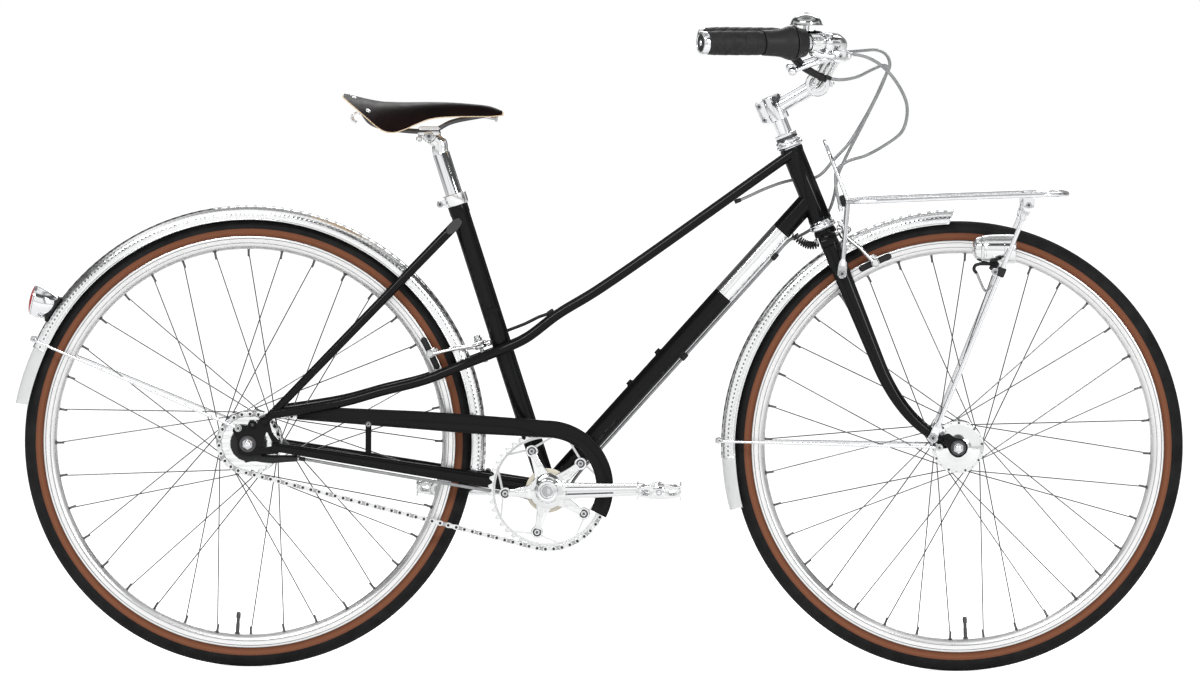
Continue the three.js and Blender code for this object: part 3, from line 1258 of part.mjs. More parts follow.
function buildAxles() {
  part('front_axle', join(...axleWithNuts(frontAxle, frontHubSpacing, frontDropout.thickness,
    frontHub.length)), 'steel');
  const pieces = axleWithNuts(rearAxle, rearHubSpacing, rearDropout.thickness,
    rearHubSpacing - 2 * cableUnit.length);
  pieces.push(crossRod(rearAxle, nut.lockRadius, rearHub.length / 2 + gap, rearHubSpacing / 2 - gap,
    tubeSides));
  const outer = -rearHubSpacing / 2 + gap;
  const inner = outer + cableUnit.length;
  pieces.push(crossRod(rearAxle, cableUnit.radius, outer, inner, hubSides));
  const armSide = inner - cableUnit.armRadius - gap;
  const armStart = vec(rearAxle.x + cableUnit.radius / 2, armSide, rearAxle.z - cableUnit.radius / 2);
  const armEnd = vec(rearAxle.x + cableUnit.armReach, armSide, rearAxle.z - cableUnit.armDrop);
  pieces.push(rod(armStart, armEnd, cableUnit.armRadius));
  part('rear_axle', join(...pieces), 'black_plastic');
}

// Chain drive

const chain = { plateThickness: 1.2, halfWidth: 3.8, halfHeight: 4.2, roofThickness: 0.9, toothTip: 2,
  toothRoot: 3.8 };
const pitchRadius = (teethCount) => chainPitch / (2 * Math.sin(Math.PI / teethCount));
const ringRadius = pitchRadius(chainringTeethCount);
const sprocketRadius = pitchRadius(sprocketTeethCount);
const chainringThickness = 3;
const chainringInner = 77;
const sprocketThickness = 2.4;
const driverRadius = 17;
const driverEnd = 51;
const chainArcStepCount = 14;

function toothedPoints(centre, teethCount) {
  const radius = pitchRadius(teethCount);
  const points = [];
  for (let i = 0; i < teethCount; i += 1) {
    const step = 360 / teethCount;
    for (const [reach, turnShare] of [[-chain.toothRoot, 0], [chain.toothTip, 0.5]]) {
      const place = around(centre, radius + reach, (i + turnShare) * step);
      points.push([place.x, place.z]);
    }
  }
  return points;
}

function circlePath(centre, radius, sides) {
  const points = [];
  for (let i = 0; i < sides; i += 1) {
    const place = around(centre, radius, (i * 360) / sides);
    points.push(new THREE.Vector2(place.x, place.z));
  }
  return points;
}

function buildSprocket() {
  const shape = shapeFrom(toothedPoints(rearAxle, sprocketTeethCount));
  shape.holes.push(new THREE.Path(circlePath(rearAxle, driverRadius - chain.plateThickness, hubSides)));
  const disc = plate(shape, -chainLine - sprocketThickness / 2, -chainLine + sprocketThickness / 2);
  const driverStart = rearHub.length / 2 + gap;
  const base = vec(rearAxle.x, -driverEnd, rearAxle.z);
  const driver = pipe(base, left, boreFor(axleRadius, hubSides), driverRadius, driverEnd - driverStart,
    hubSides);
  part('sprocket', join(disc, driver), 'steel');
}

// The loop that the chain follows round both toothed wheels, at a distance from its pitch line
function chainLoop(offset) {
  const toBracket = bottomBracket.clone().sub(rearAxle);
  const base = Math.atan2(toBracket.z, toBracket.x);
  const spread = Math.acos((sprocketRadius - ringRadius) / toBracket.length());
  const points = [];
  const arc = (centre, radius, from, to) => {
    for (let i = 0; i <= chainArcStepCount; i += 1) {
      const place = around(centre, radius,
        THREE.MathUtils.radToDeg(from + ((to - from) * i) / chainArcStepCount));
      points.push(new THREE.Vector2(place.x, place.z));
    }
  };
  arc(rearAxle, sprocketRadius + offset, base + spread, base - spread + Math.PI * 2);
  arc(bottomBracket, ringRadius + offset, base - spread, base + spread);
  return points;
}

function chainBand(outerOffset, innerOffset, sideFrom, sideTo) {
  const shape = new THREE.Shape(chainLoop(outerOffset));
  shape.holes.push(new THREE.Path(chainLoop(innerOffset)));
  return plate(shape, sideFrom, sideTo);
}

function buildChain() {
  const { halfHeight, halfWidth, plateThickness, roofThickness } = chain;
  const overlap = plateThickness / 2;
  const pieces = [
    chainBand(halfHeight, -halfHeight, -chainLine + halfWidth - plateThickness, -chainLine + halfWidth),
    chainBand(halfHeight, halfHeight - roofThickness, -chainLine - halfWidth + overlap,
      -chainLine + halfWidth - overlap),
    chainBand(halfHeight, -halfHeight, -chainLine - halfWidth, -chainLine - halfWidth + plateThickness),
  ];
  part('chain', join(...pieces), 'steel');
}

const spider = { armCount: 5, phaseDeg: 40, boltCircle: 65, rootDeg: 30, tipDeg: 6, armThickness: 7,
  boltRadius: 5.5, hubRadius: 21 };
const crank = {
  restDeg: 1.6, innerSide: 50, outerSide: 70, rootHalf: 13, tipHalf: 9.5, halfThickness: 6, rootSide: 62,
    tipSide: 69,
  bossRadius: 17, eyeRadius: 13, spindleRadius: 8.2,
};
const pedal = {
  spindleRadius: 4.5, length: 88, bodyRadius: 10, plateHeight: 25, plateThickness: 3.5, cageHalf: 32,
    start: 6,
};

function crankArm(sideSign, angleDeg) {
  const tip = around(bottomBracket, crankLength, angleDeg);
  const from = vec(bottomBracket.x, sideSign * crank.rootSide, bottomBracket.z);
  const to = vec(tip.x, sideSign * crank.tipSide, tip.z);
  const deep = (share) => crank.rootHalf + (crank.tipHalf - crank.rootHalf) * share;
  const arm = taperedTube(new THREE.LineCurve3(from, to), 1, 10, () => crank.halfThickness, deep);
  const bossSides = [crank.innerSide, crank.outerSide].map((side) => side * sideSign).sort((a, b) => a - b);
  const boss = crossRod(bottomBracket, crank.bossRadius, bossSides[0], bossSides[1], tubeSides);
  const eyeSides = [crank.tipSide - crank.halfThickness, crank.tipSide + crank.halfThickness];
  const eye = rod(tip.clone().setY(sideSign * eyeSides[0]), tip.clone().setY(sideSign * eyeSides[1]),
    crank.eyeRadius, tubeSides);
  const spindleEnd = eyeSides[1] + pedal.start + pedal.length - pedal.plateThickness;
  const spindle = rod(tip.clone().setY(sideSign * crank.tipSide),
    tip.clone().setY(sideSign * spindleEnd), pedal.spindleRadius);
  return [arm, boss, eye, spindle];
}

// Five armed star: narrow between the arms, its tips let into the toothed ring
function spiderShape() {
  const points = [];
  for (let i = 0; i < spider.armCount; i += 1) {
    const angle = spider.phaseDeg + (i * 360) / spider.armCount;
    const tipRadius = chainringInner + chainringThickness;
    for (const [radius, turn] of [
      [spider.hubRadius, -spider.rootDeg], [tipRadius, -spider.tipDeg], [tipRadius, spider.tipDeg],
      [spider.hubRadius, spider.rootDeg],
    ]) {
      const place = around(bottomBracket, radius, angle + turn);
      points.push([place.x, place.z]);
    }
  }
  return shapeFrom(points);
}

function buildCranks() {
  const shape = shapeFrom(toothedPoints(bottomBracket, chainringTeethCount));
  shape.holes.push(new THREE.Path(circlePath(bottomBracket, chainringInner, 30)));
  const ringSide = -chainLine - chainringThickness / 2;
  const pieces = [plate(shape, ringSide, ringSide + chainringThickness)];
  const spiderSide = ringSide - spider.armThickness;
  pieces.push(plate(spiderShape(), spiderSide, ringSide + chainringThickness / 2));
  for (let i = 0; i < spider.armCount; i += 1) {
    const bolt = around(bottomBracket, spider.boltCircle, spider.phaseDeg + (i * 360) / spider.armCount);
    pieces.push(crossRod(bolt, spider.boltRadius, spiderSide - spider.boltRadius / 2, ringSide, wireSides));
  }
  part('crank_right', join(...pieces, ...crankArm(-1, crank.restDeg)), 'polished_alloy');
  const spindleStart = ringSide + chainringThickness / 2 + gap;
  const spindle = crossRod(bottomBracket, crank.spindleRadius, spindleStart, crank.innerSide + overrun,
    tubeSides);
  part('crank_left', join(spindle, ...crankArm(1, crank.restDeg + 180)), 'polished_alloy');
  for (const [name, sideSign, angle] of [['pedal_left', 1, crank.restDeg + 180],
    ['pedal_right', -1, crank.restDeg]]) {
    const tip = around(bottomBracket, crankLength, angle);
    const start = crank.tipSide + crank.halfThickness + pedal.start;
    const end = start + pedal.length;
    const base = tip.clone().setY(sideSign * start);
    const direction = left.clone().multiplyScalar(sideSign);
    const solids = [turned([
      [boreFor(pedal.spindleRadius, rodSides), 0], [pedal.bodyRadius, 0], [pedal.bodyRadius, pedal.length],
      [0, pedal.length], [0, pedal.length - pedal.plateThickness + gap],
      [boreFor(pedal.spindleRadius, rodSides), pedal.length - pedal.plateThickness + gap],
      [boreFor(pedal.spindleRadius, rodSides), 0],
    ], base, direction, rodSides)];
    const middle = (start + end) / 2;
    for (const forward of [-1, 1]) {
      const centre = tip.clone().add(vec(forward * pedal.cageHalf, sideSign * middle, 0));
      solids.push(block(centre, ahead, left, pedal.plateThickness, pedal.length, pedal.plateHeight));
    }
    for (const side of [start + pedal.plateThickness * 1.5, end - pedal.plateThickness / 2]) {
      const centre = tip.clone().add(vec(0, sideSign * side, 0));
      const bar = block(centre, ahead, left, pedal.cageHalf * 2, pedal.plateThickness,
        pedal.plateHeight * 0.6);
      solids.push(side > middle ? bar : cut(bar, rod(base.clone().addScaledVector(direction, -overrun),
        base.clone().addScaledVector(direction, pedal.length / 2),
          boreFor(pedal.spindleRadius, rodSides))));
    }
    part(name, join(...solids), 'polished_alloy');
  }
}

const guard = {
  side: 54, thickness: 2.4, lipInner: 39, lipThickness: 2, outerRadius: 101, innerRadius: 76, frontDeg: -27,
  topDeg: 90, arcBack: 1.5, arcRise: 6, tailLength: 382, tailTop: 112, tailBottom: 107, humpBack: 319,
  humpTop: 124.5, bendBack: 195, bendTop: 120, midBack: 114, midTop: 115, midBottom: 87, bracketBack: 273,
  bracketWidth: 9, bracketTop: 106, bracketFoot: 56,
};

// A place on the guard, so far behind and above the bottom bracket
const guardPlace = (back, rise) => [bottomBracket.x - back, bottomBracket.z + rise];
const guardCentre = bottomBracket.clone().add(vec(-guard.arcBack, 0, guard.arcRise));

// Outline of the guard, drawn in by a distance from its top edge
function guardEdge(inset) {
  const points = [];
  for (let i = 0; i <= arcStepCount; i += 1) {
    const angle = guard.frontDeg + ((guard.topDeg - guard.frontDeg) * i) / arcStepCount;
    const place = around(guardCentre, guard.outerRadius - inset, angle);
    points.push([place.x, place.z]);
  }
  points.push(guardPlace(guard.midBack, guard.midTop - inset));
  points.push(guardPlace(guard.bendBack, guard.bendTop - inset));
  points.push(guardPlace(guard.humpBack, guard.humpTop - inset));
  return points;
}

function buildChainGuard() {
  const lower = [guardPlace(guard.tailLength, guard.tailBottom),
    guardPlace(guard.midBack, guard.midBottom)];
  for (let i = arcStepCount; i >= 0; i -= 1) {
    const angle = guard.frontDeg + ((guard.topDeg - guard.frontDeg) * i) / arcStepCount;
    const place = around(guardCentre, guard.innerRadius, angle);
    lower.push([place.x, place.z]);
  }
  const outline = [...guardEdge(0), guardPlace(guard.tailLength, guard.tailTop), ...lower];
  const face = plate(shapeFrom(outline), -guard.side - guard.thickness, -guard.side);
  const lipOutline = [...guardEdge(0), ...guardEdge(guard.lipThickness).reverse()];
  const lip = plate(shapeFrom(lipOutline), -guard.side - guard.thickness / 2, -guard.lipInner);
  const [bracketX, bracketMiddle] = guardPlace(guard.bracketBack,
    (guard.bracketTop + guard.bracketFoot) / 2);
  const boltZ = bracketMiddle + (guard.bracketTop - guard.bracketFoot) / 2 - guard.bracketWidth / 2;
  const strap = block(vec(bracketX, -guard.side + guard.thickness / 2, bracketMiddle), ahead, left,
    guard.bracketWidth, guard.thickness * 2, guard.bracketTop - guard.bracketFoot);
  const bolt = crossRod(vec(bracketX, 0, boltZ), guard.bracketWidth / 2,
    -guard.side - guard.thickness * 2, -guard.side);
  part('chain_guard', cut(join(face, lip, strap, bolt), chainStayTube(-1, gap)), 'black_paint');
}

// Cables: housings held along their whole way, each route a hand chosen list of [x, y, z]

const cableRadius = 2.5;
const cableSides = 5;
const frontBrakeRoute = [
  [373, -189, 940.5], [384, -183, 942], [404, -172, 937.5], [427, -155, 924], [450, -131, 898],
    [465, -104, 866],
  [464, -82, 838], [457, -71, 822], [439, -57, 807], [405, -40, 787], [376, -30, 777], [361, -27, 764],
    [359, -27, 745],
  [362, -28, 726], [365, -29, 712], [368, -30, 702],
];
const rearBrakeRoute = [
  [373, 189, 940.5], [386, 180, 942], [404, 160, 944], [424, 128, 945], [438, 98, 937], [442, 78, 922],
    [434, 60, 904],
  [418, 45, 869], [400, 35, 836], [379, 28, 803], [357, 26, 779], [338, 27, 757], [322, 27.5, 746],
    [300, 27, 743],
  [280, 24, 741], [250, 19, 732], [222, 16, 719], [206, 15.2, 713],
];
const rearBrakeEndRoute = [
  [-70, 20, 546.7], [-79, 20, 540.8], [-92, 19.6, 536], [-112, 19, 526], [-132, 18.6, 518],
    [-150, 18.6, 511],
  [-160, 21, 507], [-166, 25, 504.5],
];
const shiftRoute = [
  [340.5, -192.5, 908.5], [352, -188, 905], [366, -181, 904], [388, -164, 908], [412, -136, 919],
    [429, -104, 925],
  [436, -76, 919], [428, -52, 894], [409, -30, 853], [392, -8, 818], [374, 12, 781], [362, 24, 751],
    [358, 29, 725],
  [350, 30, 701], [337, 29, 684], [322, 24, 672], [308, 14, 664], [290.5, 8, 656.5], [257.4, 8, 619.8],
  [137.6, 8, 485.4], [0, 8, 331], [-30, 7.5, 297], [-44, 5, 276], [-52, 1, 261], [-58, -2, 254],
  [-66, -6, 249], [-78, -11, 247],
  [-92, -17, 252], [-108, -24.5, 261.5], [-130, -30, 267], [-180, -34.8, 275.2], [-300, -47.3, 295.4],
    [-400, -57.6, 312.4],
  [-430, -58, 317.6], [-454.4, -57, 321.2],
];
const cableSets = [
  ['front_brake_cable', frontBrakeRoute, 26], ['rear_brake_cable', rearBrakeRoute, 30],
  ['rear_brake_cable_end', rearBrakeEndRoute, 9], ['shift_cable', shiftRoute, 52],
];

function buildCables() {
  for (const [name, route, steps] of cableSets) {
    part(name, tube(route.map(([x, y, z]) => vec(x, y, z)), cableRadius, steps, cableSides),
      'cable_housing');
  }
}

// Steering spring: one wire wound round a short curved path from the down tube to the fork crown

const spring = {
  coilCount: 12, stepsPerCoil: 8, wireSides: 5, wireRadius: 0.9, coilRadius: 4.6, rampCoils: 0.8,
    handle: 15, frameAt: 539,
  crownAlong: 366, samplesPerCoil: 40,
};

class SpringPath extends THREE.Curve {
  constructor(core) {
    super();
    this.core = core;
    this.straight = (2 * spring.wireRadius) / core.getLength();
    this.arcLengthDivisions = spring.coilCount * spring.samplesPerCoil;
  }

  getPoint(share, target = new THREE.Vector3()) {
    const point = this.core.getPointAt(share);
    const wound = THREE.MathUtils.clamp((share - this.straight) / (1 - 2 * this.straight), 0, 1);
    const coils = wound * spring.coilCount;
    const fromEnd = Math.min(coils, spring.coilCount - coils);
    const radius = spring.coilRadius * THREE.MathUtils.smoothstep(fromEnd, 0, spring.rampCoils);
    const turn = coils * Math.PI * 2;
    const rise = this.core.getTangentAt(share).cross(left).normalize();
    point.addScaledVector(rise, radius * Math.cos(turn)).addScaledVector(left, radius * Math.sin(turn));
    return target.copy(point);
  }
}

// Least distance between the outsides of two turns of a wound wire, taken over points along it
function leastGap(path, coilCount, wireRadius) {
  const count = coilCount * spring.samplesPerCoil;
  const points = path.getSpacedPoints(count);
  let least = Infinity;
  for (let i = 0; i < count; i += 1) {
    for (let k = i + Math.round(spring.samplesPerCoil / 2); k <= count; k += 1) {
      least = Math.min(least, points[i].distanceTo(points[k]));
    }
  }
  return least - 2 * wireRadius;
}

function buildSteeringSpring() {
  const tubeAlong = onAxis(downTubeJoint).sub(bottomBracket).normalize();
  const below = left.clone().cross(tubeAlong);
  const start = bottomBracket.clone().addScaledVector(tubeAlong, spring.frameAt)
    .addScaledVector(below, downTubeRadius + gap);
  const end = onAxis(spring.crownAlong, -crown.depth / 2 - gap);
  const core = new THREE.CubicBezierCurve3(
    start, start.clone().addScaledVector(below, spring.handle),
      end.clone().addScaledVector(axisAhead, -spring.handle), end);
  const path = new SpringPath(core);
  const steps = spring.coilCount * spring.stepsPerCoil;
  part('steering_spring', sweep(path, polygon(spring.wireRadius, spring.wireSides), steps),
    'black_plastic');
  const least = leastGap(path, spring.coilCount, spring.wireRadius);
  console.log(`steering spring: least gap to itself ${least.toFixed(2)} mm`);
}

buildWheels();
buildHeadTube();
buildDownTube();
buildSeatTube();
buildSeatStays();
buildMixteStays();
buildChainStays();
buildSeatClamp();
buildSaddle();
buildSeatpost();
buildRearFender();
buildFork();
buildHeadset();
buildStem();
buildHandlebar();
buildGrips();
buildLeverSet();
buildShifter();
buildBell();
buildBrakes();
buildRack();
buildHeadlamp();
buildFrontFender();
buildAxles();
buildSprocket();
buildChain();
buildCranks();
buildChainGuard();
buildCables();
buildSteeringSpring();

export default bicycle;
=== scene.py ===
import bmesh
import bpy
import math
from mathutils import Matrix, Vector as V


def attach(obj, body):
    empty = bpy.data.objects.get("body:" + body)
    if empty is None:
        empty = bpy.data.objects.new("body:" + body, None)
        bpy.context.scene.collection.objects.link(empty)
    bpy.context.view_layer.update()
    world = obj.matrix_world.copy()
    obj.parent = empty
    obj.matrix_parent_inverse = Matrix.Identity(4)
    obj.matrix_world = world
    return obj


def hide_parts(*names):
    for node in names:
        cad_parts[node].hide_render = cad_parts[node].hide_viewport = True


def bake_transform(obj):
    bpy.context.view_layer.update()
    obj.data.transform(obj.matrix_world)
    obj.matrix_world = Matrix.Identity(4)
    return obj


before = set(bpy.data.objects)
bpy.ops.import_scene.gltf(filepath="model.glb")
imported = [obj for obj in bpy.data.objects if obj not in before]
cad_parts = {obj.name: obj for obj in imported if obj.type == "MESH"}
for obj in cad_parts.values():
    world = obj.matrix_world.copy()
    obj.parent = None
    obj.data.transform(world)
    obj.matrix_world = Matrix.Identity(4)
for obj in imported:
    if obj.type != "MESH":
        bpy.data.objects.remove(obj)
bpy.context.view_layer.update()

MM = 0.001
LEFT, UP, AHEAD = V((0, 1, 0)), V((0, 0, 1)), V((1, 0, 0))
REAR, FRONT, BB = V((-532, 0, 343.5)), V((548, 0, 343.5)), V((-76, 0, 274))
SPOKES, RING_TEETH, COG_TEETH = 36, 44, 22
# Pitch of the chain and its place beside the middle of the bike
CHAIN_PITCH, CHAIN_SIDE = 12.7, -45
# Top of the fenders from the axles, half their width, their depth, and the spacing of their dimples
FENDER_RADIUS, FENDER_HALF, FENDER_DEPTH, DIMPLES = 361, 23, 20.4, 7.0
# Corners round the tyres and rims
WHEEL_SIDES = 240


def turn(deg):
    return V((math.cos(math.radians(deg)), 0, math.sin(math.radians(deg))))


AXIS, FORE = turn(112.5), turn(22.5)
SEAT, SEAT_FORE = turn(108), turn(18)


def on_axis(along, forward=0.0, side=0.0):
    return FRONT - FORE * 64 + AXIS * along + FORE * forward + LEFT * side


def on_seat(along, forward=0.0, side=0.0):
    return BB + SEAT * along + SEAT_FORE * forward + LEFT * side


def around(centre, radius, deg, side=0.0):
    return V((centre.x, side, centre.z)) + turn(deg) * radius


# Camera, floor and light

camera = bpy.data.objects.new("camera", bpy.data.cameras.new("camera"))
bpy.context.scene.collection.objects.link(camera)
viewpoint, aim, roll = V((0.169, -16.0, 1.141)), V((0.0018, 0, 0.4983)), math.radians(0.336)
look = (aim - viewpoint).normalized()
level = look.cross(UP).normalized()
top = level.cross(look)
level, top = (math.cos(roll) * level + math.sin(roll) * top, math.cos(roll) * top - math.sin(roll) * level)
camera.matrix_world = Matrix.Translation(viewpoint) @ Matrix((level, top, -look)).transposed().to_4x4()
camera.data.sensor_width = 36
camera.data.lens = 315
camera.data.clip_start, camera.data.clip_end = 0.1, 100
bpy.context.scene.camera = camera
bpy.context.scene.view_settings.view_transform = "Standard"


def nodes_of(holder):
    """Nodes and links of a material or of the world."""
    return holder.node_tree.nodes, holder.node_tree.links


def math_node(m, operation, a, b=None):
    n, l = nodes_of(m)
    t = n.new("ShaderNodeMath")
    t.operation = operation
    if operation == "MULTIPLY_ADD":
        t.inputs[2].default_value = 0.5
    for k, value in enumerate((a, b)):
        if value is None:
            continue
        if isinstance(value, (int, float)):
            t.inputs[k].default_value = value
        else:
            l.new(value, t.inputs[k])
    return t.outputs[0]


class Field:
    """A number that a material works out at each point of the surface, so that formulas read as such."""

    def __init__(self, material, socket):
        self.material, self.socket = material, socket

    def apply(self, operation, other=None):
        return Field(self.material, math_node(self.material, operation, self.socket, plain(other)))

    def __add__(self, other):
        return self.apply("ADD", other)

    def __sub__(self, other):
        return self.apply("SUBTRACT", other)

    def __mul__(self, other):
        return self.apply("MULTIPLY", other)

    def __truediv__(self, other):
        return self.apply("DIVIDE", other)

    def __abs__(self):
        return self.apply("ABSOLUTE")

    def sine(self):
        return self.apply("SINE")

    def over(self, limit):
        return self.apply("GREATER_THAN", limit)

    def under(self, limit):
        return self.apply("LESS_THAN", limit)


def plain(source):
    return source.socket if isinstance(source, Field) else source


def ramp(m, source, stops):
    """Colours or greys along a value, given as stops of place and colour."""
    n, l = nodes_of(m)
    r = n.new("ShaderNodeValToRGB")
    while len(r.color_ramp.elements) < len(stops):
        r.color_ramp.elements.new(0.5)
    for e, (at, c) in zip(r.color_ramp.elements, stops):
        e.position = at
        e.color = (*c, 1) if isinstance(c, tuple) else (c, c, c, 1)
    l.new(plain(source), r.inputs[0])
    return r.outputs[0]


def shader_mix(holder, share, first, second):
    """Two shaders mixed: all of the first at a share of 0, all of the second at 1."""
    n, l = nodes_of(holder)
    mix = n.new("ShaderNodeMixShader")
    for socket, source in zip(mix.inputs, (share, first, second)):
        l.new(source, socket)
    return mix.outputs[0]


SOFT_LIGHT, FLOOR_GLOW = 0.62, 0.62
# Brightness of what metal mirrors, for stops from -1 to 1 along the height, width and depth of its direction
HIGH = [(-1, 0.35), (-0.95, 0.35), (-0.89, 0.9), (-0.8, 0.9), (-0.76, 0.12), (-0.46, 0.12), (-0.4, 0.95),
        (-0.1, 1), (0.42, 1), (0.47, 0.08), (0.72, 0.08), (0.78, 0.95), (0.9, 1), (0.95, 0.3), (1, 0.3)]
WIDE = [(-1, 0.25), (-0.97, 0.25), (-0.93, 0.95), (-0.42, 1), (-0.37, 0.4), (-0.32, 1), (0.46, 1),
        (0.51, 0.35), (0.56, 0.35), (0.62, 1), (0.92, 0.95), (0.96, 0.25), (1, 0.25)]
BACK = [(-1, 1), (0.36, 1), (0.5, 0.3), (0.75, 0.12), (1, 0.3)]

world = bpy.data.worlds.new("studio")
bpy.context.scene.world = world
world.use_nodes = True
world_nodes, world_links = nodes_of(world)
world_nodes.clear()
world_ray = world_nodes.new("ShaderNodeLightPath").outputs
direction = world_nodes.new("ShaderNodeSeparateXYZ")
world_links.new(world_nodes.new("ShaderNodeTexCoord").outputs["Generated"], direction.inputs[0])


def shades(axis, stops):
    """Brightness of the studio that metal mirrors, by one coordinate of its direction."""
    lifted = math_node(world, "MULTIPLY_ADD", direction.outputs[axis], 0.5)
    return ramp(world, lifted, [(spot * 0.5 + 0.5, value) for spot, value in stops])


def background(strength, color=None):
    light = world_nodes.new("ShaderNodeBackground")
    light.inputs[0].default_value = (1, 1, 1, 1)
    light.inputs[1].default_value = strength
    if color:
        world_links.new(color, light.inputs[0])
    return light.outputs[0]


high_or_wide = math_node(world, "MINIMUM", shades("Z", HIGH), shades("X", WIDE))
mirrored = math_node(world, "MINIMUM", high_or_wide, shades("Y", BACK))
seen_direct = math_node(world, "MAXIMUM", world_ray["Is Camera Ray"], world_ray["Is Transmission Ray"])
lit = shader_mix(world, world_ray["Is Glossy Ray"], background(SOFT_LIGHT), background(1.0, mirrored))
studio = world_nodes.new("ShaderNodeOutputWorld")
world_links.new(shader_mix(world, seen_direct, lit, background(1.0)), studio.inputs[0])


def lamp(name, place, aim, size, watts):
    light = bpy.data.lights.new(name, "AREA")
    light.shape, light.size, light.size_y, light.energy = "RECTANGLE", size[0], size[1], watts
    ob = bpy.data.objects.new(name, light)
    ob.location = place
    ob.rotation_mode = "QUATERNION"
    ob.rotation_quaternion = (V(aim) - V(place)).to_track_quat("-Z", "Y")
    bpy.context.scene.collection.objects.link(ob)


lamp("key", (-1.6, -3.2, 3.6), (0, 0, 0.4), (2.8, 0.6), 95)
lamp("fill", (2.6, -3.0, 2.2), (0.2, 0, 0.5), (0.6, 2.2), 45)
lamp("back", (0.4, 3.2, 3.0), (0, 0, 0.5), (3.0, 1.4), 55)


# Materials: each one is a Principled shader with its own colour, roughness and relief nodes

def finish(name, color, metallic=0.0, rough=0.4, **sockets):
    m = bpy.data.materials.new(name)
    m.use_nodes = True
    p = nodes_of(m)[0]["Principled BSDF"]
    p.inputs["Base Color"].default_value = (*color, 1)
    p.inputs["Metallic"].default_value = metallic
    p.inputs["Roughness"].default_value = rough
    for key, value in sockets.items():
        p.inputs[key.replace("_", " ")].default_value = value
    return m


def coords(m):
    return nodes_of(m)[0].new("ShaderNodeTexCoord").outputs["Object"]


def noise(m, scale, detail=3.0, source=None, kind="ShaderNodeTexNoise"):
    n, l = nodes_of(m)
    t = n.new(kind)
    t.inputs["Scale"].default_value = scale
    if "Detail" in t.inputs:
        t.inputs["Detail"].default_value = detail
    l.new(source or coords(m), t.inputs["Vector"])
    return t.outputs[0]


def feed(m, source, socket):
    n, l = nodes_of(m)
    l.new(source, n["Principled BSDF"].inputs[socket])


def relief(m, source, strength, distance):
    n, l = nodes_of(m)
    b = n.new("ShaderNodeBump")
    b.inputs["Strength"].default_value = strength
    b.inputs["Distance"].default_value = distance
    l.new(plain(source), b.inputs["Height"])
    old = n["Principled BSDF"].inputs["Normal"]
    if old.is_linked:
        l.new(old.links[0].from_socket, b.inputs["Normal"])
    l.new(b.outputs[0], old)


def wheel_place(m, centre):
    """Distance from an axle in millimetres, angle round it, and the side coordinate in millimetres."""
    n, l = nodes_of(m)
    s = n.new("ShaderNodeSeparateXYZ")
    l.new(coords(m), s.inputs[0])
    x, y, z = (Field(m, socket) for socket in s.outputs)
    x, z = x - centre.x * MM, z - centre.z * MM
    return (x * x + z * z).apply("SQRT") * 1000.0, z.apply("ARCTAN2", x), y * 1000.0


def worn(m, low, high, scale=60.0):
    feed(m, ramp(m, noise(m, scale, 4.0), [(0.3, low), (0.7, high)]), "Roughness")
    return m


paint = worn(finish("black_paint", (0.005, 0.005, 0.0055), 0.0, 0.3, Coat_Weight=0.25, Coat_Roughness=0.06,
                    Specular_IOR_Level=0.03), 0.26, 0.36, 40)
relief(paint, noise(paint, 180, 2.0), 0.05, 0.0002)
paint_face = worn(finish("paint_face", (0.05, 0.05, 0.052), 0.0, 0.4, Specular_IOR_Level=0.2), 0.36, 0.48, 60)
chrome = worn(finish("chrome", (0.86, 0.87, 0.885), 1.0, 0.1), 0.06, 0.13, 90)
relief(chrome, noise(chrome, 160, 2.0), 0.012, 0.0001)
bell_metal = worn(finish("bell_chrome", (0.5, 0.505, 0.51), 1.0, 0.16), 0.14, 0.2, 40)
relief(bell_metal, noise(bell_metal, 120, 2.0), 0.01, 0.0001)
alloy = worn(finish("polished_alloy", (0.86, 0.865, 0.87), 1.0, 0.1), 0.07, 0.13, 70)
relief(alloy, noise(alloy, 220, 3.0), 0.015, 0.0001)
brushed = worn(finish("brushed_alloy", (0.66, 0.67, 0.68), 1.0, 0.36), 0.3, 0.44, 120)
relief(brushed, noise(brushed, 500, 4.0), 0.1, 0.0001)
steel = worn(finish("steel", (0.5, 0.51, 0.52), 1.0, 0.3), 0.22, 0.4, 200)
dark_steel = worn(finish("dark_steel", (0.1, 0.1, 0.105), 1.0, 0.4), 0.3, 0.5, 300)
spoke_steel = worn(finish("spoke_steel", (0.11, 0.111, 0.113), 1.0, 0.3), 0.24, 0.38, 200)
nipple = worn(finish("nipple_brass", (0.13, 0.13, 0.132), 1.0, 0.34), 0.28, 0.42, 300)
plastic = worn(finish("black_plastic", (0.013, 0.013, 0.014), 0.0, 0.5, Specular_IOR_Level=0.3),
               0.4, 0.56, 300)
relief(plastic, noise(plastic, 1600, 2.0), 0.15, 0.0002)
pad_rubber = worn(finish("pad_rubber", (0.02, 0.02, 0.021), 0.0, 0.75, Specular_IOR_Level=0.3),
                  0.65, 0.85, 300)
relief(pad_rubber, noise(pad_rubber, 2200, 3.0), 0.25, 0.0002)
cream = worn(finish("cream_nylon", (0.74, 0.69, 0.57), 0.0, 0.5), 0.42, 0.58, 80)
relief(cream, noise(cream, 900, 2.0), 0.08, 0.0002)
red_lens = worn(finish("red_lens", (0.5, 0.008, 0.01), 0.0, 0.12, Coat_Weight=0.6), 0.08, 0.16, 60)
relief(red_lens, noise(red_lens, 420, 0.0, kind="ShaderNodeTexVoronoi"), 0.5, 0.0006)
clear_lens = worn(finish("clear_lens", (0.9, 0.93, 0.95), 0.0, 0.06, Transmission_Weight=0.75, IOR=1.49),
                  0.03, 0.09, 60)
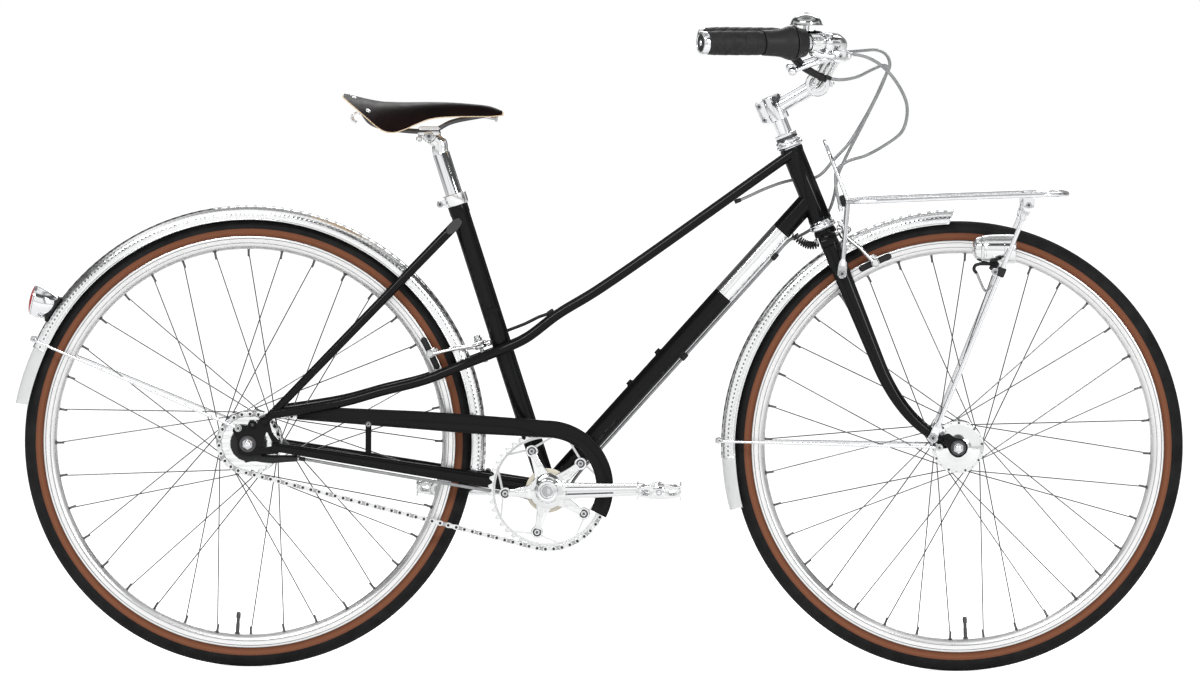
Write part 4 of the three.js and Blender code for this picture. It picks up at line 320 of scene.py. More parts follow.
relief(clear_lens, noise(clear_lens, 300, 0.0, kind="ShaderNodeTexVoronoi"), 0.35, 0.0006)

housing = finish("cable_housing", (0.3, 0.305, 0.31), 0.35, 0.34)
relief(housing, noise(housing, 500, 1.0), 0.08, 0.0001)
worn(housing, 0.3, 0.46, 250)
feed(housing, ramp(housing, noise(housing, 60, 2.0),
                   [(0.35, (0.27, 0.275, 0.28)), (0.65, (0.34, 0.345, 0.35))]), "Base Color")

silver_band = worn(finish("silver_band", (0.93, 0.935, 0.94), 1.0, 0.16), 0.14, 0.18, 60)
relief(silver_band, noise(silver_band, 500, 2.0), 0.01, 0.0001)

leather = finish("saddle_leather", (0.005, 0.003, 0.0025), 0.0, 0.4, Specular_IOR_Level=0.06)
feed(leather, ramp(leather, noise(leather, 26, 6.0),
                   [(0.3, (0.0022, 0.001, 0.0009)), (0.75, (0.0085, 0.0034, 0.003))]), "Base Color")
relief(leather, noise(leather, 1100, 1.0, kind="ShaderNodeTexVoronoi"), 0.22, 0.0003)
relief(leather, noise(leather, 60, 5.0), 0.12, 0.0006)
worn(leather, 0.3, 0.46, 40)
raw_edge = finish("leather_edge", (0.62, 0.4, 0.22), 0.0, 0.7)
feed(raw_edge, ramp(raw_edge, noise(raw_edge, 420, 5.0),
                    [(0.3, (0.66, 0.46, 0.28)), (0.7, (0.86, 0.7, 0.5))]), "Base Color")
relief(raw_edge, noise(raw_edge, 1300, 3.0), 0.4, 0.0003)

wrap = finish("grip_wrap", (0.014, 0.014, 0.0145), 0.0, 0.6, Specular_IOR_Level=0.3)
relief(wrap, noise(wrap, 1000, 1.0, kind="ShaderNodeTexVoronoi"), 0.25, 0.0003)
worn(wrap, 0.5, 0.7, 90)
feed(wrap, ramp(wrap, noise(wrap, 120, 4.0), [(0.3, 0.009), (0.75, 0.02)]), "Base Color")


def hammered(name, centre):
    """Polished metal with rows of small dimples along a fender, and dark dots and dashes in its colour as a
    painted reflection of the dimples.
    """
    m = finish(name, (0.8, 0.805, 0.81), 1.0, 0.2)
    r, angle, side = wheel_place(m, centre)
    along = angle * (FENDER_RADIUS * 2 * math.pi / DIMPLES)
    section = abs(side.apply("ARCTAN2", r - 337.0))
    across = section * (FENDER_HALF * 2 * math.pi / DIMPLES)
    relief(m, along.sine() * across.sine(), 0.12, 0.0003)
    relief(m, noise(m, 300, 2.0), 0.02, 0.0002)
    # Dark dots and dashes in the colour are a painted reflection, where the dimples would mirror dark
    # surroundings
    painted_dots = abs(section - 1.02).under(0.045) * along.sine().over(0.1)
    wander = along * 0.5 + Field(m, noise(m, 40, 2.0)) * 4.0
    painted_dashes = abs(section - 0.4).under(0.2) * wander.sine().over(0.25)
    painted_reflection_marks = painted_dots.apply("MAXIMUM", painted_dashes)
    feed(m, ramp(m, painted_reflection_marks, [(0.2, (0.92, 0.925, 0.93)), (0.8, (0.2, 0.205, 0.21))]), "Base Color")
    worn(m, 0.14, 0.24, 80)
    return m


def rubber(name, centre):
    m = finish(name, (0.016, 0.016, 0.017), 0.0, 0.72, Specular_IOR_Level=0.08)
    r, angle, side = wheel_place(m, centre)
    away = abs(side)
    grooves = (angle * 210.0 + away * 1.1).sine()
    tread = grooves.over(0.35) * away.under(14.6)
    rings = (side * 1.9).sine()
    relief(m, tread + rings * 0.3, 0.55, 0.0008)
    relief(m, noise(m, 900, 3.0), 0.12, 0.0003)
    feed(m, ramp(m, noise(m, 45, 5.0), [(0.3, 0.01), (0.75, 0.018)]), "Base Color")
    worn(m, 0.62, 0.8, 60)
    return m


def tan_wall(name, centre):
    m = finish(name, (0.22, 0.08, 0.045), 0.0, 0.6, Specular_IOR_Level=0.1)
    r, angle, side = wheel_place(m, centre)
    band = r + Field(m, noise(m, 260, 4.0)) * 1.2
    tone = ramp(m, (band - 314.0) / 12.5,
                [(0.0, (0.06, 0.022, 0.013)), (0.22, (0.14, 0.05, 0.025)), (0.6, (0.205, 0.078, 0.04)),
                 (0.94, (0.16, 0.06, 0.032)), (1.0, (0.1, 0.04, 0.024))])
    feed(m, tone, "Base Color")
    threads = (angle * 900.0 + r * 2.2).sine()
    relief(m, threads, 0.12, 0.0003)
    relief(m, (r * 1.6).sine(), 0.2, 0.0005)
    return m


def rim_metal_painted_shade(name, centre):
    m = finish(name, (0.8, 0.805, 0.81), 1.0, 0.26)
    r, angle, side = wheel_place(m, centre)
    track = r.over(305.0) * (r * 3.0).sine()
    relief(m, track, 0.05, 0.0001)
    # Dark rings at the steps and at the outer edge of the rim's profile are painted shade
    rings = [(0.0, 0.8), (0.37, 0.88), (0.395, 0.2), (0.42, 0.94), (0.66, 0.95), (0.7, 0.25), (0.73, 0.95),
             (0.8, 0.88), (0.84, 0.3)]
    feed(m, ramp(m, (r - 294.0) / 24.0, rings), "Base Color")
    worn(m, 0.26, 0.3, 20)
    return m


# Shapes: each call returns corners in millimetres and faces, and a piece joins them into one mesh

def loft(loops, closed=False, caps=True):
    n, count = len(loops[0]), len(loops)
    faces = []
    for i in range(count if closed else count - 1):
        a, b = i * n, ((i + 1) % count) * n
        faces += [(a + k, a + (k + 1) % n, b + (k + 1) % n, b + k) for k in range(n)]
    if caps and not closed:
        faces += [tuple(range(n - 1, -1, -1)), tuple((count - 1) * n + k for k in range(n))]
    return [p for loop in loops for p in loop], faces


def basis(direction):
    d = V(direction).normalized()
    a = d.cross(LEFT) if abs(d.y) < 0.9 else d.cross(AHEAD)
    a.normalize()
    return a, d.cross(a).normalized(), d


def lathe(profile, base, direction, sides=64):
    """Profile of (radius, height) from axis to axis, or a closed ring where its ends are the same."""
    a, b, d = basis(direction)
    ring = profile[0] == profile[-1]
    loops = []
    for radius, height in (profile[:-1] if ring else profile):
        radius = max(radius, 0.02)
        loops.append([V(base) + d * height + (a * math.cos(t) + b * math.sin(t)) * radius
                      for t in (2 * math.pi * k / sides for k in range(sides))])
    return loft(loops, closed=ring)


def rod(p, q, r, r2=None, sides=24, edge=0.5):
    p, q = V(p), V(q)
    r2 = r if r2 is None else r2
    length = (q - p).length
    edge = min(edge, r * 0.4, r2 * 0.4, length * 0.3)
    return lathe([(r - edge, 0), (r, edge), (r2, length - edge), (r2 - edge, length)], p, q - p, sides)


def cross(centre, r, y0, y1, sides=32, edge=0.5):
    return rod(V((centre.x, y0, centre.z)), V((centre.x, y1, centre.z)), r, None, sides, edge)


def smooth(points, per=8):
    """The same centripetal curve that the source draws its tubes along."""
    p = [V(q) for q in points]
    p = [p[0] * 2 - p[1]] + p + [p[-1] * 2 - p[-2]]
    result = []
    for i in range(1, len(p) - 2):
        p0, p1, p2, p3 = p[i - 1:i + 3]
        d0, d1, d2 = (max((b - a).length, 1e-6) ** 0.5 for a, b in ((p0, p1), (p1, p2), (p2, p3)))
        t1 = ((p1 - p0) / d0 - (p2 - p0) / (d0 + d1) + (p2 - p1) / d1) * d1
        t2 = ((p2 - p1) / d1 - (p3 - p1) / (d1 + d2) + (p3 - p2) / d2) * d1
        for k in range(per):
            s = k / per
            result.append(p1 + t1 * s + (p2 * 3 - p1 * 3 - t1 * 2 - t2) * s ** 2
                          + (p1 * 2 - p2 * 2 + t1 + t2) * s ** 3)
    return result + [p[-2]]


def tube(path, r, sides=16, across=None, closed=False, ends=0.4):
    """A round tube along a path, or one with two half widths where r gives them for a share of the path."""
    path = [V(p) for p in path]
    count = len(path)
    lengths = [0.0]
    for i in range(1, count):
        lengths.append(lengths[-1] + (path[i] - path[i - 1]).length)
    loops, normal = [], None
    for i, p in enumerate(path):
        before = path[i - 1] if i or closed else path[0]
        after = path[(i + 1) % count] if i < count - 1 or closed else path[-1]
        t = (after - before).normalized()
        if across is not None:
            normal = (V(across) - t * t.dot(V(across))).normalized()
        elif normal is None:
            normal = basis(t)[0]
        else:
            normal = (normal - t * t.dot(normal)).normalized()
        other = t.cross(normal)
        share = lengths[i] / lengths[-1]
        half = r(share) if callable(r) else (r, r)
        half = half if isinstance(half, tuple) else (half, half)
        ring = lambda grow: [normal * (half[0] - grow) * math.cos(a) + other * (half[1] - grow) * math.sin(a)
                             for a in (2 * math.pi * k / sides for k in range(sides))]
        if not closed and ends and i in (0, count - 1):
            e = min(ends, half[0] * 0.4, half[1] * 0.4)
            inner, outer = [p + q for q in ring(e)], [p + t * (e if i == 0 else -e) + q for q in ring(0)]
            loops += [inner, outer] if i == 0 else [outer, inner]
        else:
            loops.append([p + q for q in ring(0)])
    return loft(loops, closed=closed)


def rounded(points, radius, steps=5, closed=True):
    """A polygon with its corners rounded."""
    p = [V((q[0], q[1])) for q in points]
    result = []
    for i, here in enumerate(p):
        a, b = p[i - 1] - here, p[(i + 1) % len(p)] - here
        r = min(radius, a.length * 0.45, b.length * 0.45)
        start, end = here + a.normalized() * r, here + b.normalized() * r
        for k in range(steps + 1):
            s = k / steps
            result.append(start * (1 - s) ** 2 + here * 2 * s * (1 - s) + end * s * s)
    return result


def disc(x, z, radius, sides=32):
    return [(x + radius * math.cos(2 * math.pi * k / sides), z + radius * math.sin(2 * math.pi * k / sides))
            for k in range(sides)]


def plate(outline, lo, hi, holes=(), bevel=0.5, origin=(0, 0, 0), ex=AHEAD, ez=UP, en=LEFT):
    """A flat plate with rounded edges, drawn in two directions and as thick as lo to hi in the third."""
    curve = bpy.data.curves.new("outline", "CURVE")
    curve.dimensions, curve.fill_mode = "2D", "BOTH"
    for ring in (outline, *holes):
        s = curve.splines.new("POLY")
        s.points.add(len(ring) - 1)
        for point, q in zip(s.points, ring):
            point.co = (q[0], q[1], 0, 1)
        s.use_cyclic_u = True
    bevel = min(bevel, (hi - lo) * 0.4)
    curve.extrude = (hi - lo) / 2 - bevel
    curve.bevel_depth, curve.bevel_resolution = bevel, 1
    curve.offset = -bevel
    ob = bpy.data.objects.new("outline", curve)
    made = bpy.data.meshes.new_from_object(ob)
    middle = (lo + hi) / 2
    verts = [V(origin) + ex * v.co.x + ez * v.co.y + en * (middle + v.co.z) for v in made.vertices]
    faces = [tuple(f.vertices) for f in made.polygons]
    bpy.data.objects.remove(ob)
    bpy.data.curves.remove(curve)
    bpy.data.meshes.remove(made)
    return verts, faces


def block(centre, ex, ey, size, bevel=0.6, segments=2):
    """A block with rounded edges; its third direction stands square to the first two."""
    ex, ey = V(ex).normalized(), V(ey).normalized()
    ez = ex.cross(ey).normalized()
    b = bmesh.new()
    bmesh.ops.create_cube(b, size=1)
    for v in b.verts:
        v.co = V((v.co.x * size[0], v.co.y * size[1], v.co.z * size[2]))
    bmesh.ops.bevel(b, geom=b.edges[:], offset=min(bevel, min(size) * 0.4), segments=segments, affect="EDGES")
    verts = [V(centre) + ex * v.co.x + ey * v.co.y + ez * v.co.z for v in b.verts]
    faces = [tuple(v.index for v in f.verts) for f in b.faces]
    b.free()
    return verts, faces


def hexagon(centre, direction, radius, height, edge=0.6):
    return lathe([(radius - edge, 0), (radius, edge), (radius, height - edge), (radius - edge, height)],
                 centre, direction, 6)


def dome(centre, direction, radius, height, sides=24, foot=0.0):
    steps = [(radius * math.cos(a), foot + height * math.sin(a))
             for a in (math.pi / 2 * k / 5 for k in range(6))]
    return lathe([(radius, 0)] + steps if foot else steps, centre, direction, sides)


def ball(centre, direction, radius, steps, sides):
    arc = [(radius * math.sin(t), -radius * math.cos(t))
           for t in (math.pi * k / steps for k in range(1, steps))]
    return lathe([(0.2, -radius)] + arc + [(0.2, radius)], centre, direction, sides)


class Piece:
    """One piece of the bike: its mesh in metres, its materials, and the body and nodes that it belongs to."""

    def __init__(self, name, body, *nodes, slot=None):
        self.name, self.body, self.nodes, self.slot = name, body, nodes, slot
        self.verts, self.faces, self.looks, self.mats = [], [], [], []

    def add(self, shape, look):
        verts, faces = shape
        base = len(self.verts)
        self.verts += [V(v) * MM for v in verts]
        self.faces += [tuple(base + k for k in f) for f in faces]
        if look not in self.mats:
            self.mats.append(look)
        self.looks += [self.mats.index(look)] * len(faces)
        return self

    def done(self, sharp=38, blend=None, subdivide=0):
        me = bpy.data.meshes.new(self.name)
        me.from_pydata(self.verts, [], self.faces)
        for look in self.mats:
            me.materials.append(look)
        me.polygons.foreach_set("material_index", self.looks)
        b = bmesh.new()
        b.from_mesh(me)
        bmesh.ops.remove_doubles(b, verts=b.verts, dist=2e-7)
        bmesh.ops.dissolve_degenerate(b, edges=b.edges, dist=1e-7)
        bmesh.ops.recalc_face_normals(b, faces=b.faces)
        b.to_mesh(me)
        b.free()
        for poly in me.polygons:
            poly.use_smooth = True
        me.set_sharp_from_angle(angle=math.radians(sharp))
        ob = bpy.data.objects.new(self.name, me)
        bpy.context.scene.collection.objects.link(ob)
        if subdivide:
            mod = ob.modifiers.new("smooth", "SUBSURF")
            mod.levels = mod.render_levels = subdivide
        if blend:
            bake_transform(ob)
        else:
            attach(ob, self.body)
        if self.nodes:
            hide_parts(*self.nodes)
        return ob


# Wheels

def spoke_places(phase):
    """For each spoke its angle at the rim, the side of its flange and the way that it leans."""
    return [(i * 360 / SPOKES + phase, 1 if i % 2 else -1, -1 if ((i + 1) // 2) % 2 else 1)
            for i in range(SPOKES)]


def wheel(tag, axle, flange, shell, end, half, side, valve_deg, phase):
    body = tag + "_wheel"
    tyre = Piece(tag + "_tyre_dressed", body, tag + "_tyre", slot="tyre_rubber")
    r0, s = 327.5, 16.0
    arc = lambda a: (r0 + s * math.cos(math.radians(a)), s * math.sin(math.radians(a)))
    black = [arc(a) for a in range(-96, 97, 6)]
    wall = lambda sign: ([arc(sign * a) for a in (96, 100, 105, 110, 115, 119)]
                         + [(316.8, sign * 13.2), (314.6, sign * 12.7)])
    outer = black + [(q[0] - 0.9, q[1] * 0.93) for q in reversed(black)]
    tyre.add(lathe(outer + [outer[0]], axle, LEFT, WHEEL_SIDES), rubber(tag + "_tread", axle))
    brown = tan_wall(tag + "_sidewall", axle)
    for sign in (1, -1):
        face = wall(sign)
        back = [(q[0] - 0.4, q[1] - sign * 1.4) for q in reversed(face)]
        tyre.add(lathe(face + back + [face[0]], axle, LEFT, WHEEL_SIDES), brown)
    tyre.done(sharp=50)

    metal = rim_metal_painted_shade(tag + "_rim_metal_painted_shade", axle)
    rim = Piece(tag + "_rim_dressed", body, tag + "_rim", slot="rim_alloy")
    one = [(313.6, 9.6), (314.2, 11.2), (314.1, 12.4), (313.4, 12.8), (311.2, 12.8), (310.7, 12.1),
           (310.2, 12.5), (304.6, 12.3), (303.9, 11.6), (303.1, 11.7), (301.4, 11.0), (297.4, 7.8),
           (294.8, 5.2), (294.0, 3.2)]
    profile = one + [(r, -y) for r, y in reversed(one)] + [(310.2, -8.6), (308.5, 0), (310.2, 8.6), one[0]]
    rim.add(lathe(profile, axle, LEFT, WHEEL_SIDES), metal)
    stem = around(axle, 294.5, valve_deg)
    down = -turn(valve_deg)
    rim.add(lathe([(4.2, 0), (4.2, 1.6), (2.9, 2.4), (2.9, 16), (2.5, 16.4), (2.5, 24), (3.4, 24.4),
                   (3.4, 31), (2.6, 33.5), (0, 34)],
                  stem, down, 20), dark_steel)
    for deg, hub_side, lead in spoke_places(phase):
        rim.add(lathe([(3.4, -0.6), (3.2, 0.4), (2.1, 0.9), (1.85, 2.0), (1.75, 11.0), (1.2, 11.8)],
                      around(axle, 294.4, deg, hub_side * (3 + lead * -1.15)), -turn(deg), 10), nipple)
    rim.done(sharp=32)

    hub = Piece(tag + "_hub_dressed", body, tag + "_hub_and_spokes", slot="polished_alloy")
    f = flange
    one = [(end, half - 0.3), (end, side + 7), (end + 3, side + 5.2), (shell - 8, side + 3.6),
           (shell - 3, side + 2.9), (shell + 1, side + 1.6), (f - 5.8, side + 1.6), (f - 1, side + 2.1),
           (f, side + 1.4), (f, side - 1.4), (f - 1, side - 2.1), (shell, side - 2.6),
           (shell - 1.4, side - 6)]
    profile = ([(5.4, half), (end - 0.6, half)] + one + [(r, -y) for r, y in reversed(one)]
               + [(end - 0.6, -half), (5.4, -half), (5.4, half)])
    hub.add(lathe(profile, axle, LEFT, 96), alloy)
    for deg, hub_side, lead in spoke_places(phase):
        hub_deg = deg + lead * 60
        foot = around(axle, f - 3.0, hub_deg, hub_side * (side + lead * 1.4))
        head = around(axle, 292.0, deg, hub_side * (3 + lead * 1.15))
        hub.add(rod(foot, head, 0.9, 0.9, 8, 0.2), spoke_steel)
        hub.add(dome(around(axle, f - 3.0, hub_deg, hub_side * (side + lead * -2.0)),
                     LEFT * hub_side * -lead, 1.9, 1.2, 12), dark_steel)
    hub.done(sharp=36)


wheel("front", FRONT, 40, 33, 12, 45, 29, -87.2, 8.2)
wheel("rear", REAR, 50, 43, 17, 38, 30, -93.4, 0.6)

# Frame

DOWN = (on_axis(435) - BB).normalized()
BELOW = V((DOWN.z, 0, -DOWN.x))
SIDE = 67.5


def bolt_head(piece, centre, direction, radius, height, look):
    """A round bolt head with a socket in it, whose floor is a dark hexagon as painted shade."""
    r, h = radius, height
    piece.add(lathe([(r - 0.3, 0), (r, 0.3), (r, h - r * 0.25), (r * 0.8, h), (r * 0.55, h),
                     (r * 0.5, h * 0.45), (0, h * 0.45)],
                    centre, direction, 24), look)
    # The dark hexagon at the floor of the socket is painted shade
    piece.add(lathe([(r * 0.49, 0), (r * 0.49, h * 0.5), (0, h * 0.5)], centre, direction, 6), dark_steel)


p = Piece("head_tube_dressed", "frame", "head_tube", slot="black_paint")
p.add(lathe([(14.5, 0), (17.2, 0), (17.8, 0.7), (17.8, 6), (17, 7.4), (17, 112.6), (17.8, 114),
             (17.8, 119.3), (17.2, 120), (14.5, 120), (14.5, 0)], on_axis(397), AXIS, 56), paint)
p.done()

p = Piece("down_tube_dressed", "frame", "down_tube", slot="black_paint")
p.add(rod(BB + DOWN * 12, on_axis(435) - DOWN * 6, 15.5, None, 56), paint)
p.add(lathe([(15.3, 0), (15.75, 0.2), (15.75, 130.8), (15.3, 131), (15.3, 0)], BB + DOWN * 399.2, DOWN, 72),
      silver_band)
for at in (204, 268):
    base = BB + DOWN * at - BELOW * 14
    p.add(lathe([(6.6, 0), (6.2, 2.0), (5.1, 2.6), (4.9, 5.4), (4.6, 5.8), (2.7, 5.8), (2.6, 3), (0, 3)],
                base, -BELOW, 28), paint)
for at in (289, 495):
    spot = BB + DOWN * at + BELOW * 18 + LEFT * 5.5
    p.add(block(spot, DOWN, LEFT, (9, 13, 9.5), 1.6, 3), plastic)
    p.add(rod(spot - DOWN * 6 + BELOW * 0.8 + LEFT * 2.5, spot + DOWN * 6 + BELOW * 0.8 + LEFT * 2.5, 4.1,
              None, 20, 0.8), plastic)
p.done()

p = Piece("seat_tube_dressed", "frame", "seat_tube", slot="black_paint")
p.add(lathe([(13.7, 0), (14.8, 0), (14.8, 424), (15.6, 426), (15.6, 444), (15.2, 445), (13.7, 445),
             (13.7, 0)], on_seat(16), SEAT, 56), paint)
p.add(lathe([(9.4, -34), (19.6, -34), (20.6, -33.2), (21, -31.5), (21, 31.5), (20.6, 33.2), (19.6, 34),
             (9.4, 34), (9.4, -34)], BB, LEFT, 72), paint)
for sign in (1, -1):
    ring = [(9.4, 34.2), (19, 34.2), (19.6, 35), (19.6, 37.4), (18.6, 38.2), (9.4, 38.2), (9.4, 34.2)]
    p.add(lathe([(r, h * sign) for r, h in ring], BB, LEFT, 40), steel)
p.add(lathe([(9.5, -39), (31.5, -39), (33.5, -39.8), (34, -41), (33.4, -42.3), (31, -42.8), (22, -42.2),
             (9.5, -42.2), (9.5, -39)], BB, LEFT, 72), cream)
guide = BB - UP * 21
p.add(block(guide + LEFT * 2 - UP * 1.0, AHEAD, LEFT, (24, 20, 5), 1.4, 3), plastic)
p.done()

MIX = [(0, 0, 0), (0.37, 0.5215, 0.1), (0.45, 0.6195, 0.15), (0.51, 0.709, 0.17), (0.552, 0.749, 0.21),
       (0.63, 0.81, 0.42), (0.705, 0.869, 0.55), (0.786, 0.911, 0.67), (0.863, 0.9535, 0.78), (1, 1, 1)]
mix_top, mix_end = on_axis(509.5), V((REAR.x + 34, 0, REAR.z + 45))


def mixte_path(sign):
    return [V((mix_top.x + (mix_end.x - mix_top.x) * a, sign * (12 + (SIDE - 12) * c),
               mix_top.z + (mix_end.z - mix_top.z) * b))
            for a, b, c in MIX]


def bridge_at(lift=0.0, side=0.0):
    return around(REAR, 381, 20.3, side) + turn(110.3) * lift


p = Piece("mixte_stays_dressed", "frame", "mixte_stays", slot="black_paint")
for sign in (1, -1):
    p.add(tube(smooth(mixte_path(sign), 10), 7.5, 28), paint)
p.add(cross(bridge_at(), 6, -31, 31, 28), paint)
p.add(rod(bridge_at(-9), bridge_at(30), 3, None, 16), steel)
p.add(hexagon(bridge_at(30.3), turn(110.3), 5.2, 4), alloy)
for sign in (1, -1):
    p.add(block(on_seat(286, 0, sign * 16.4), SEAT_FORE, LEFT, (20, 2.6, 8), 1, 2), paint)
p.done()

p = Piece("seat_stays_dressed", "frame", "seat_stays", slot="black_paint")
stay_top, stay_end = on_seat(434), V((REAR.x + 22, 0, REAR.z + 30))
share = 0.0
while ((stay_top + (stay_end - stay_top) * share) - REAR).length > 366.3:
    share += 0.002
for sign in (1, -1):
    a, b = stay_top + LEFT * 21 * sign, stay_end + LEFT * SIDE * sign
    d = (b - a).normalized()
    across = LEFT.cross(d).normalized()
    outer = d.cross(across).normalized()
    outer = outer if outer.y * sign > 0 else -outer
    rings = []
    for at, shear in ((0, 1), (34, 0.06), (60, 0), ((b - a).length, 0)):
        r = 7.5 - 1.5 * at / (b - a).length
        rings.append([a + d * (at * (1 if shear < 1 else 0) + 16 * shear * (1 + math.sin(q)))
                      + across * r * math.cos(q) + outer * r * math.sin(q)
                      for q in (2 * math.pi * k / 32 for k in range(32))])
    verts, faces = loft(rings)
    p.add((verts, faces[:-2] + faces[-1:]), paint)
    p.add((rings[0], [tuple(range(31, -1, -1))]), paint_face)
    p.add(lathe([(6.1, 0), (6.9, 1), (6.9, 10), (6.2, 11), (0, 11)], b - d * 11, d, 24), paint)
half = 21 + (SIDE - 21) * share
p.add(cross(stay_top + (stay_end - stay_top) * share, 5, -half, half, 24), paint)
cut_spot = stay_top + (stay_end - stay_top) * share
p.add(rod(cut_spot, cut_spot - (cut_spot - REAR).normalized() * 7, 3.2, None, 16), steel)
p.done()

DROP = [(-0.3, -0.32), (0.04, -0.4), (0.4, -0.32), (1, -0.3), (1, 0.1), (0.78, 0.34), (0.66, 0.8),
        (0.4, 0.86), (0.2, 0.5), (-0.14, 0.6), (-0.4, 0.62), (-0.5, 0.4), (-0.34, 0.2)]
DROP_WINDOW, DROP_SIZE = [(0.42, -0.12), (0.84, -0.06), (0.6, 0.4)], 48
bridge_spot = around(REAR, 366.3, -7)
bridge_half = 24 + (SIDE - 24) * (BB.x - bridge_spot.x) / 456
for tag, sign in (("left", 1), ("right", -1)):
    p = Piece("chain_stay_%s_dressed" % tag, "frame", "chain_stay_" + tag, slot="black_paint")
    a, b = V((REAR.x + 38, sign * SIDE, REAR.z - 4)), V((BB.x - 8, sign * 24.8, BB.z + 1.2))
    p.add(tube([a + (b - a) * k / 8 for k in range(9)], lambda s: (7 + s, 7 + 5 * s), 36, across=LEFT,
               ends=1.2), paint)
    p.add(tube([a - (b - a).normalized() * 2, a + (b - a).normalized() * 9], lambda s: (7.6, 7.8), 28,
               across=LEFT, ends=1.5), paint)
    outline = rounded([(REAR.x + x * DROP_SIZE, REAR.z + z * DROP_SIZE) for x, z in DROP], 4)
    window = rounded([(REAR.x + x * DROP_SIZE, REAR.z + z * DROP_SIZE) for x, z in DROP_WINDOW], 2.2)
    lo, hi = sorted((sign * 65, sign * 70))
    p.add(plate(outline, lo, hi, [disc(REAR.x, REAR.z, 5.3), window], 1.1), paint)
    eye = V((REAR.x + 7, sign * 70.6, REAR.z + 29))
    p.add(lathe([(2.6, 0), (6.6, 0), (7.0, 0.6), (7.0, 5.4), (6.6, 6), (2.6, 6), (2.6, 0)], eye,
                LEFT * -sign, 32), paint)
    p.add(lathe([(2.55, 1.2), (2.55, 4.5), (0, 4.5)], eye, LEFT * -sign, 16), dark_steel)
    if sign > 0:
        p.add(cross(bridge_spot, 5, -20, bridge_half, 24), paint)
    p.done()

p = Piece("seat_clamp_dressed", "frame", "seat_clamp", slot="polished_alloy")
p.add(lathe([(13.5, 0), (17.6, 0), (18.2, 0.8), (18.2, 17), (17.4, 18), (13.5, 18), (13.5, 0)], on_seat(455),
            SEAT, 56), alloy)
for sign in (1, -1):
    p.add(plate(rounded([(-6, -6.5), (10, -6.5), (13, 0), (10, 6.5), (-6, 6.5)], 5), 1.2, 7.6, (), 1.2,
                on_seat(464, -18), -SEAT_FORE, SEAT, LEFT * sign), alloy)
    bolt_head(p, on_seat(464, -25, sign * 7.4), LEFT * sign, 4.6, 4.4, steel)
p.add(rod(on_seat(464, -25, -8), on_seat(464, -25, 8), 2.6, None, 12), steel)
p.done()

# Saddle and seatpost

SEAT_ROWS = [(0, 0.52, 0.056, 0.1), (0.06, 0.82, 0.044, 0.3), (0.14, 0.97, 0.025, 0.56),
             (0.24, 1, 0.008, 0.92), (0.31, 0.95, 0.005, 1.02), (0.38, 0.83, 0.004, 0.93),
             (0.46, 0.66, 0.005, 0.74), (0.55, 0.5, 0.006, 0.56), (0.67, 0.36, 0.004, 0.48),
             (0.8, 0.27, -0.004, 0.42), (0.92, 0.22, -0.018, 0.34), (1, 0.13, -0.047, 0.14)]


# Length, half width, rear end, height, depth of the skirt and thickness of the leather
SADDLE_LENGTH, SADDLE_HALF, SADDLE_BACK, SADDLE_TOP, SKIRT, LEATHER = 241, 88, 390, 862, 43.5, 4.4


def saddle_row(share):
    i = max(k for k in range(len(SEAT_ROWS) - 1) if SEAT_ROWS[k][0] <= share)
    low, high = SEAT_ROWS[i], SEAT_ROWS[i + 1]
    before, after = SEAT_ROWS[max(i - 1, 0)], SEAT_ROWS[min(i + 2, len(SEAT_ROWS) - 1)]
    w = high[0] - low[0]
    s = (share - low[0]) / w
    result = []
    for k in (1, 2, 3):
        m0 = (high[k] - before[k]) / max(high[0] - before[0], 1e-6) * w
        m1 = (after[k] - low[k]) / max(after[0] - low[0], 1e-6) * w
        result.append((2 * s ** 3 - 3 * s ** 2 + 1) * low[k] + (s ** 3 - 2 * s ** 2 + s) * m0
                      + (3 * s ** 2 - 2 * s ** 3) * high[k] + (s ** 3 - s ** 2) * m1)
    return result


def saddle_point(share, across, inside=0.0):
    half, rise, skirt = saddle_row(share)
    fall = abs(across) ** 2.4
    nose = 1.0 - 0.35 * max(0.0, (share - 0.965) / 0.035) ** 2
    return V((SADDLE_LENGTH * share - SADDLE_BACK, across * (half * SADDLE_HALF * nose - inside * LEATHER),
              SADDLE_TOP + rise * SADDLE_LENGTH - skirt * SKIRT * fall - inside * LEATHER * (1 - fall)))


def saddle_normal(share, across):
    e = 0.012
    u = saddle_point(min(share + e, 1), across) - saddle_point(max(share - e, 0), across)
    v = saddle_point(share, min(across + e, 1)) - saddle_point(share, max(across - e, -1))
    return u.cross(v).normalized()


p = Piece("saddle_top", "seatpost", "saddle_leather", slot="saddle_leather")
rows, cols = 64, 36
for level_in, look in ((0.0, leather), (1.0, raw_edge)):
    grid = [[saddle_point(i / rows, -1 + 2 * j / cols, level_in) for j in range(cols + 1)]
            for i in range(rows + 1)]
    verts = [q for row in grid for q in row]
    faces = [(i * (cols + 1) + j, i * (cols + 1) + j + 1, (i + 1) * (cols + 1) + j + 1,
              (i + 1) * (cols + 1) + j) for i in range(rows) for j in range(cols)]
    p.add((verts, faces), look)
rim = ([(0, -1 + 2 * j / cols) for j in range(cols)] + [(i / rows, 1) for i in range(rows)]
       + [(1, 1 - 2 * j / cols) for j in range(cols)]
       + [(1 - i / rows, -1) for i in range(rows)])
centre = V((-270, 0, 860))
loops = []
for depth, bulge in ((0.0, 0.0), (0.12, 0.35), (0.5, 0.6), (0.88, 0.3), (1.0, 0.0)):
    loop = []
    for share, across in rim:
        q = saddle_point(share, across, depth)
        away = V((q.x - centre.x, q.y * 2.0, 0)).normalized()
        loop.append(q + away * bulge - UP * bulge * 0.8)
    loops.append(loop)
p.add(loft(loops, caps=False), raw_edge)
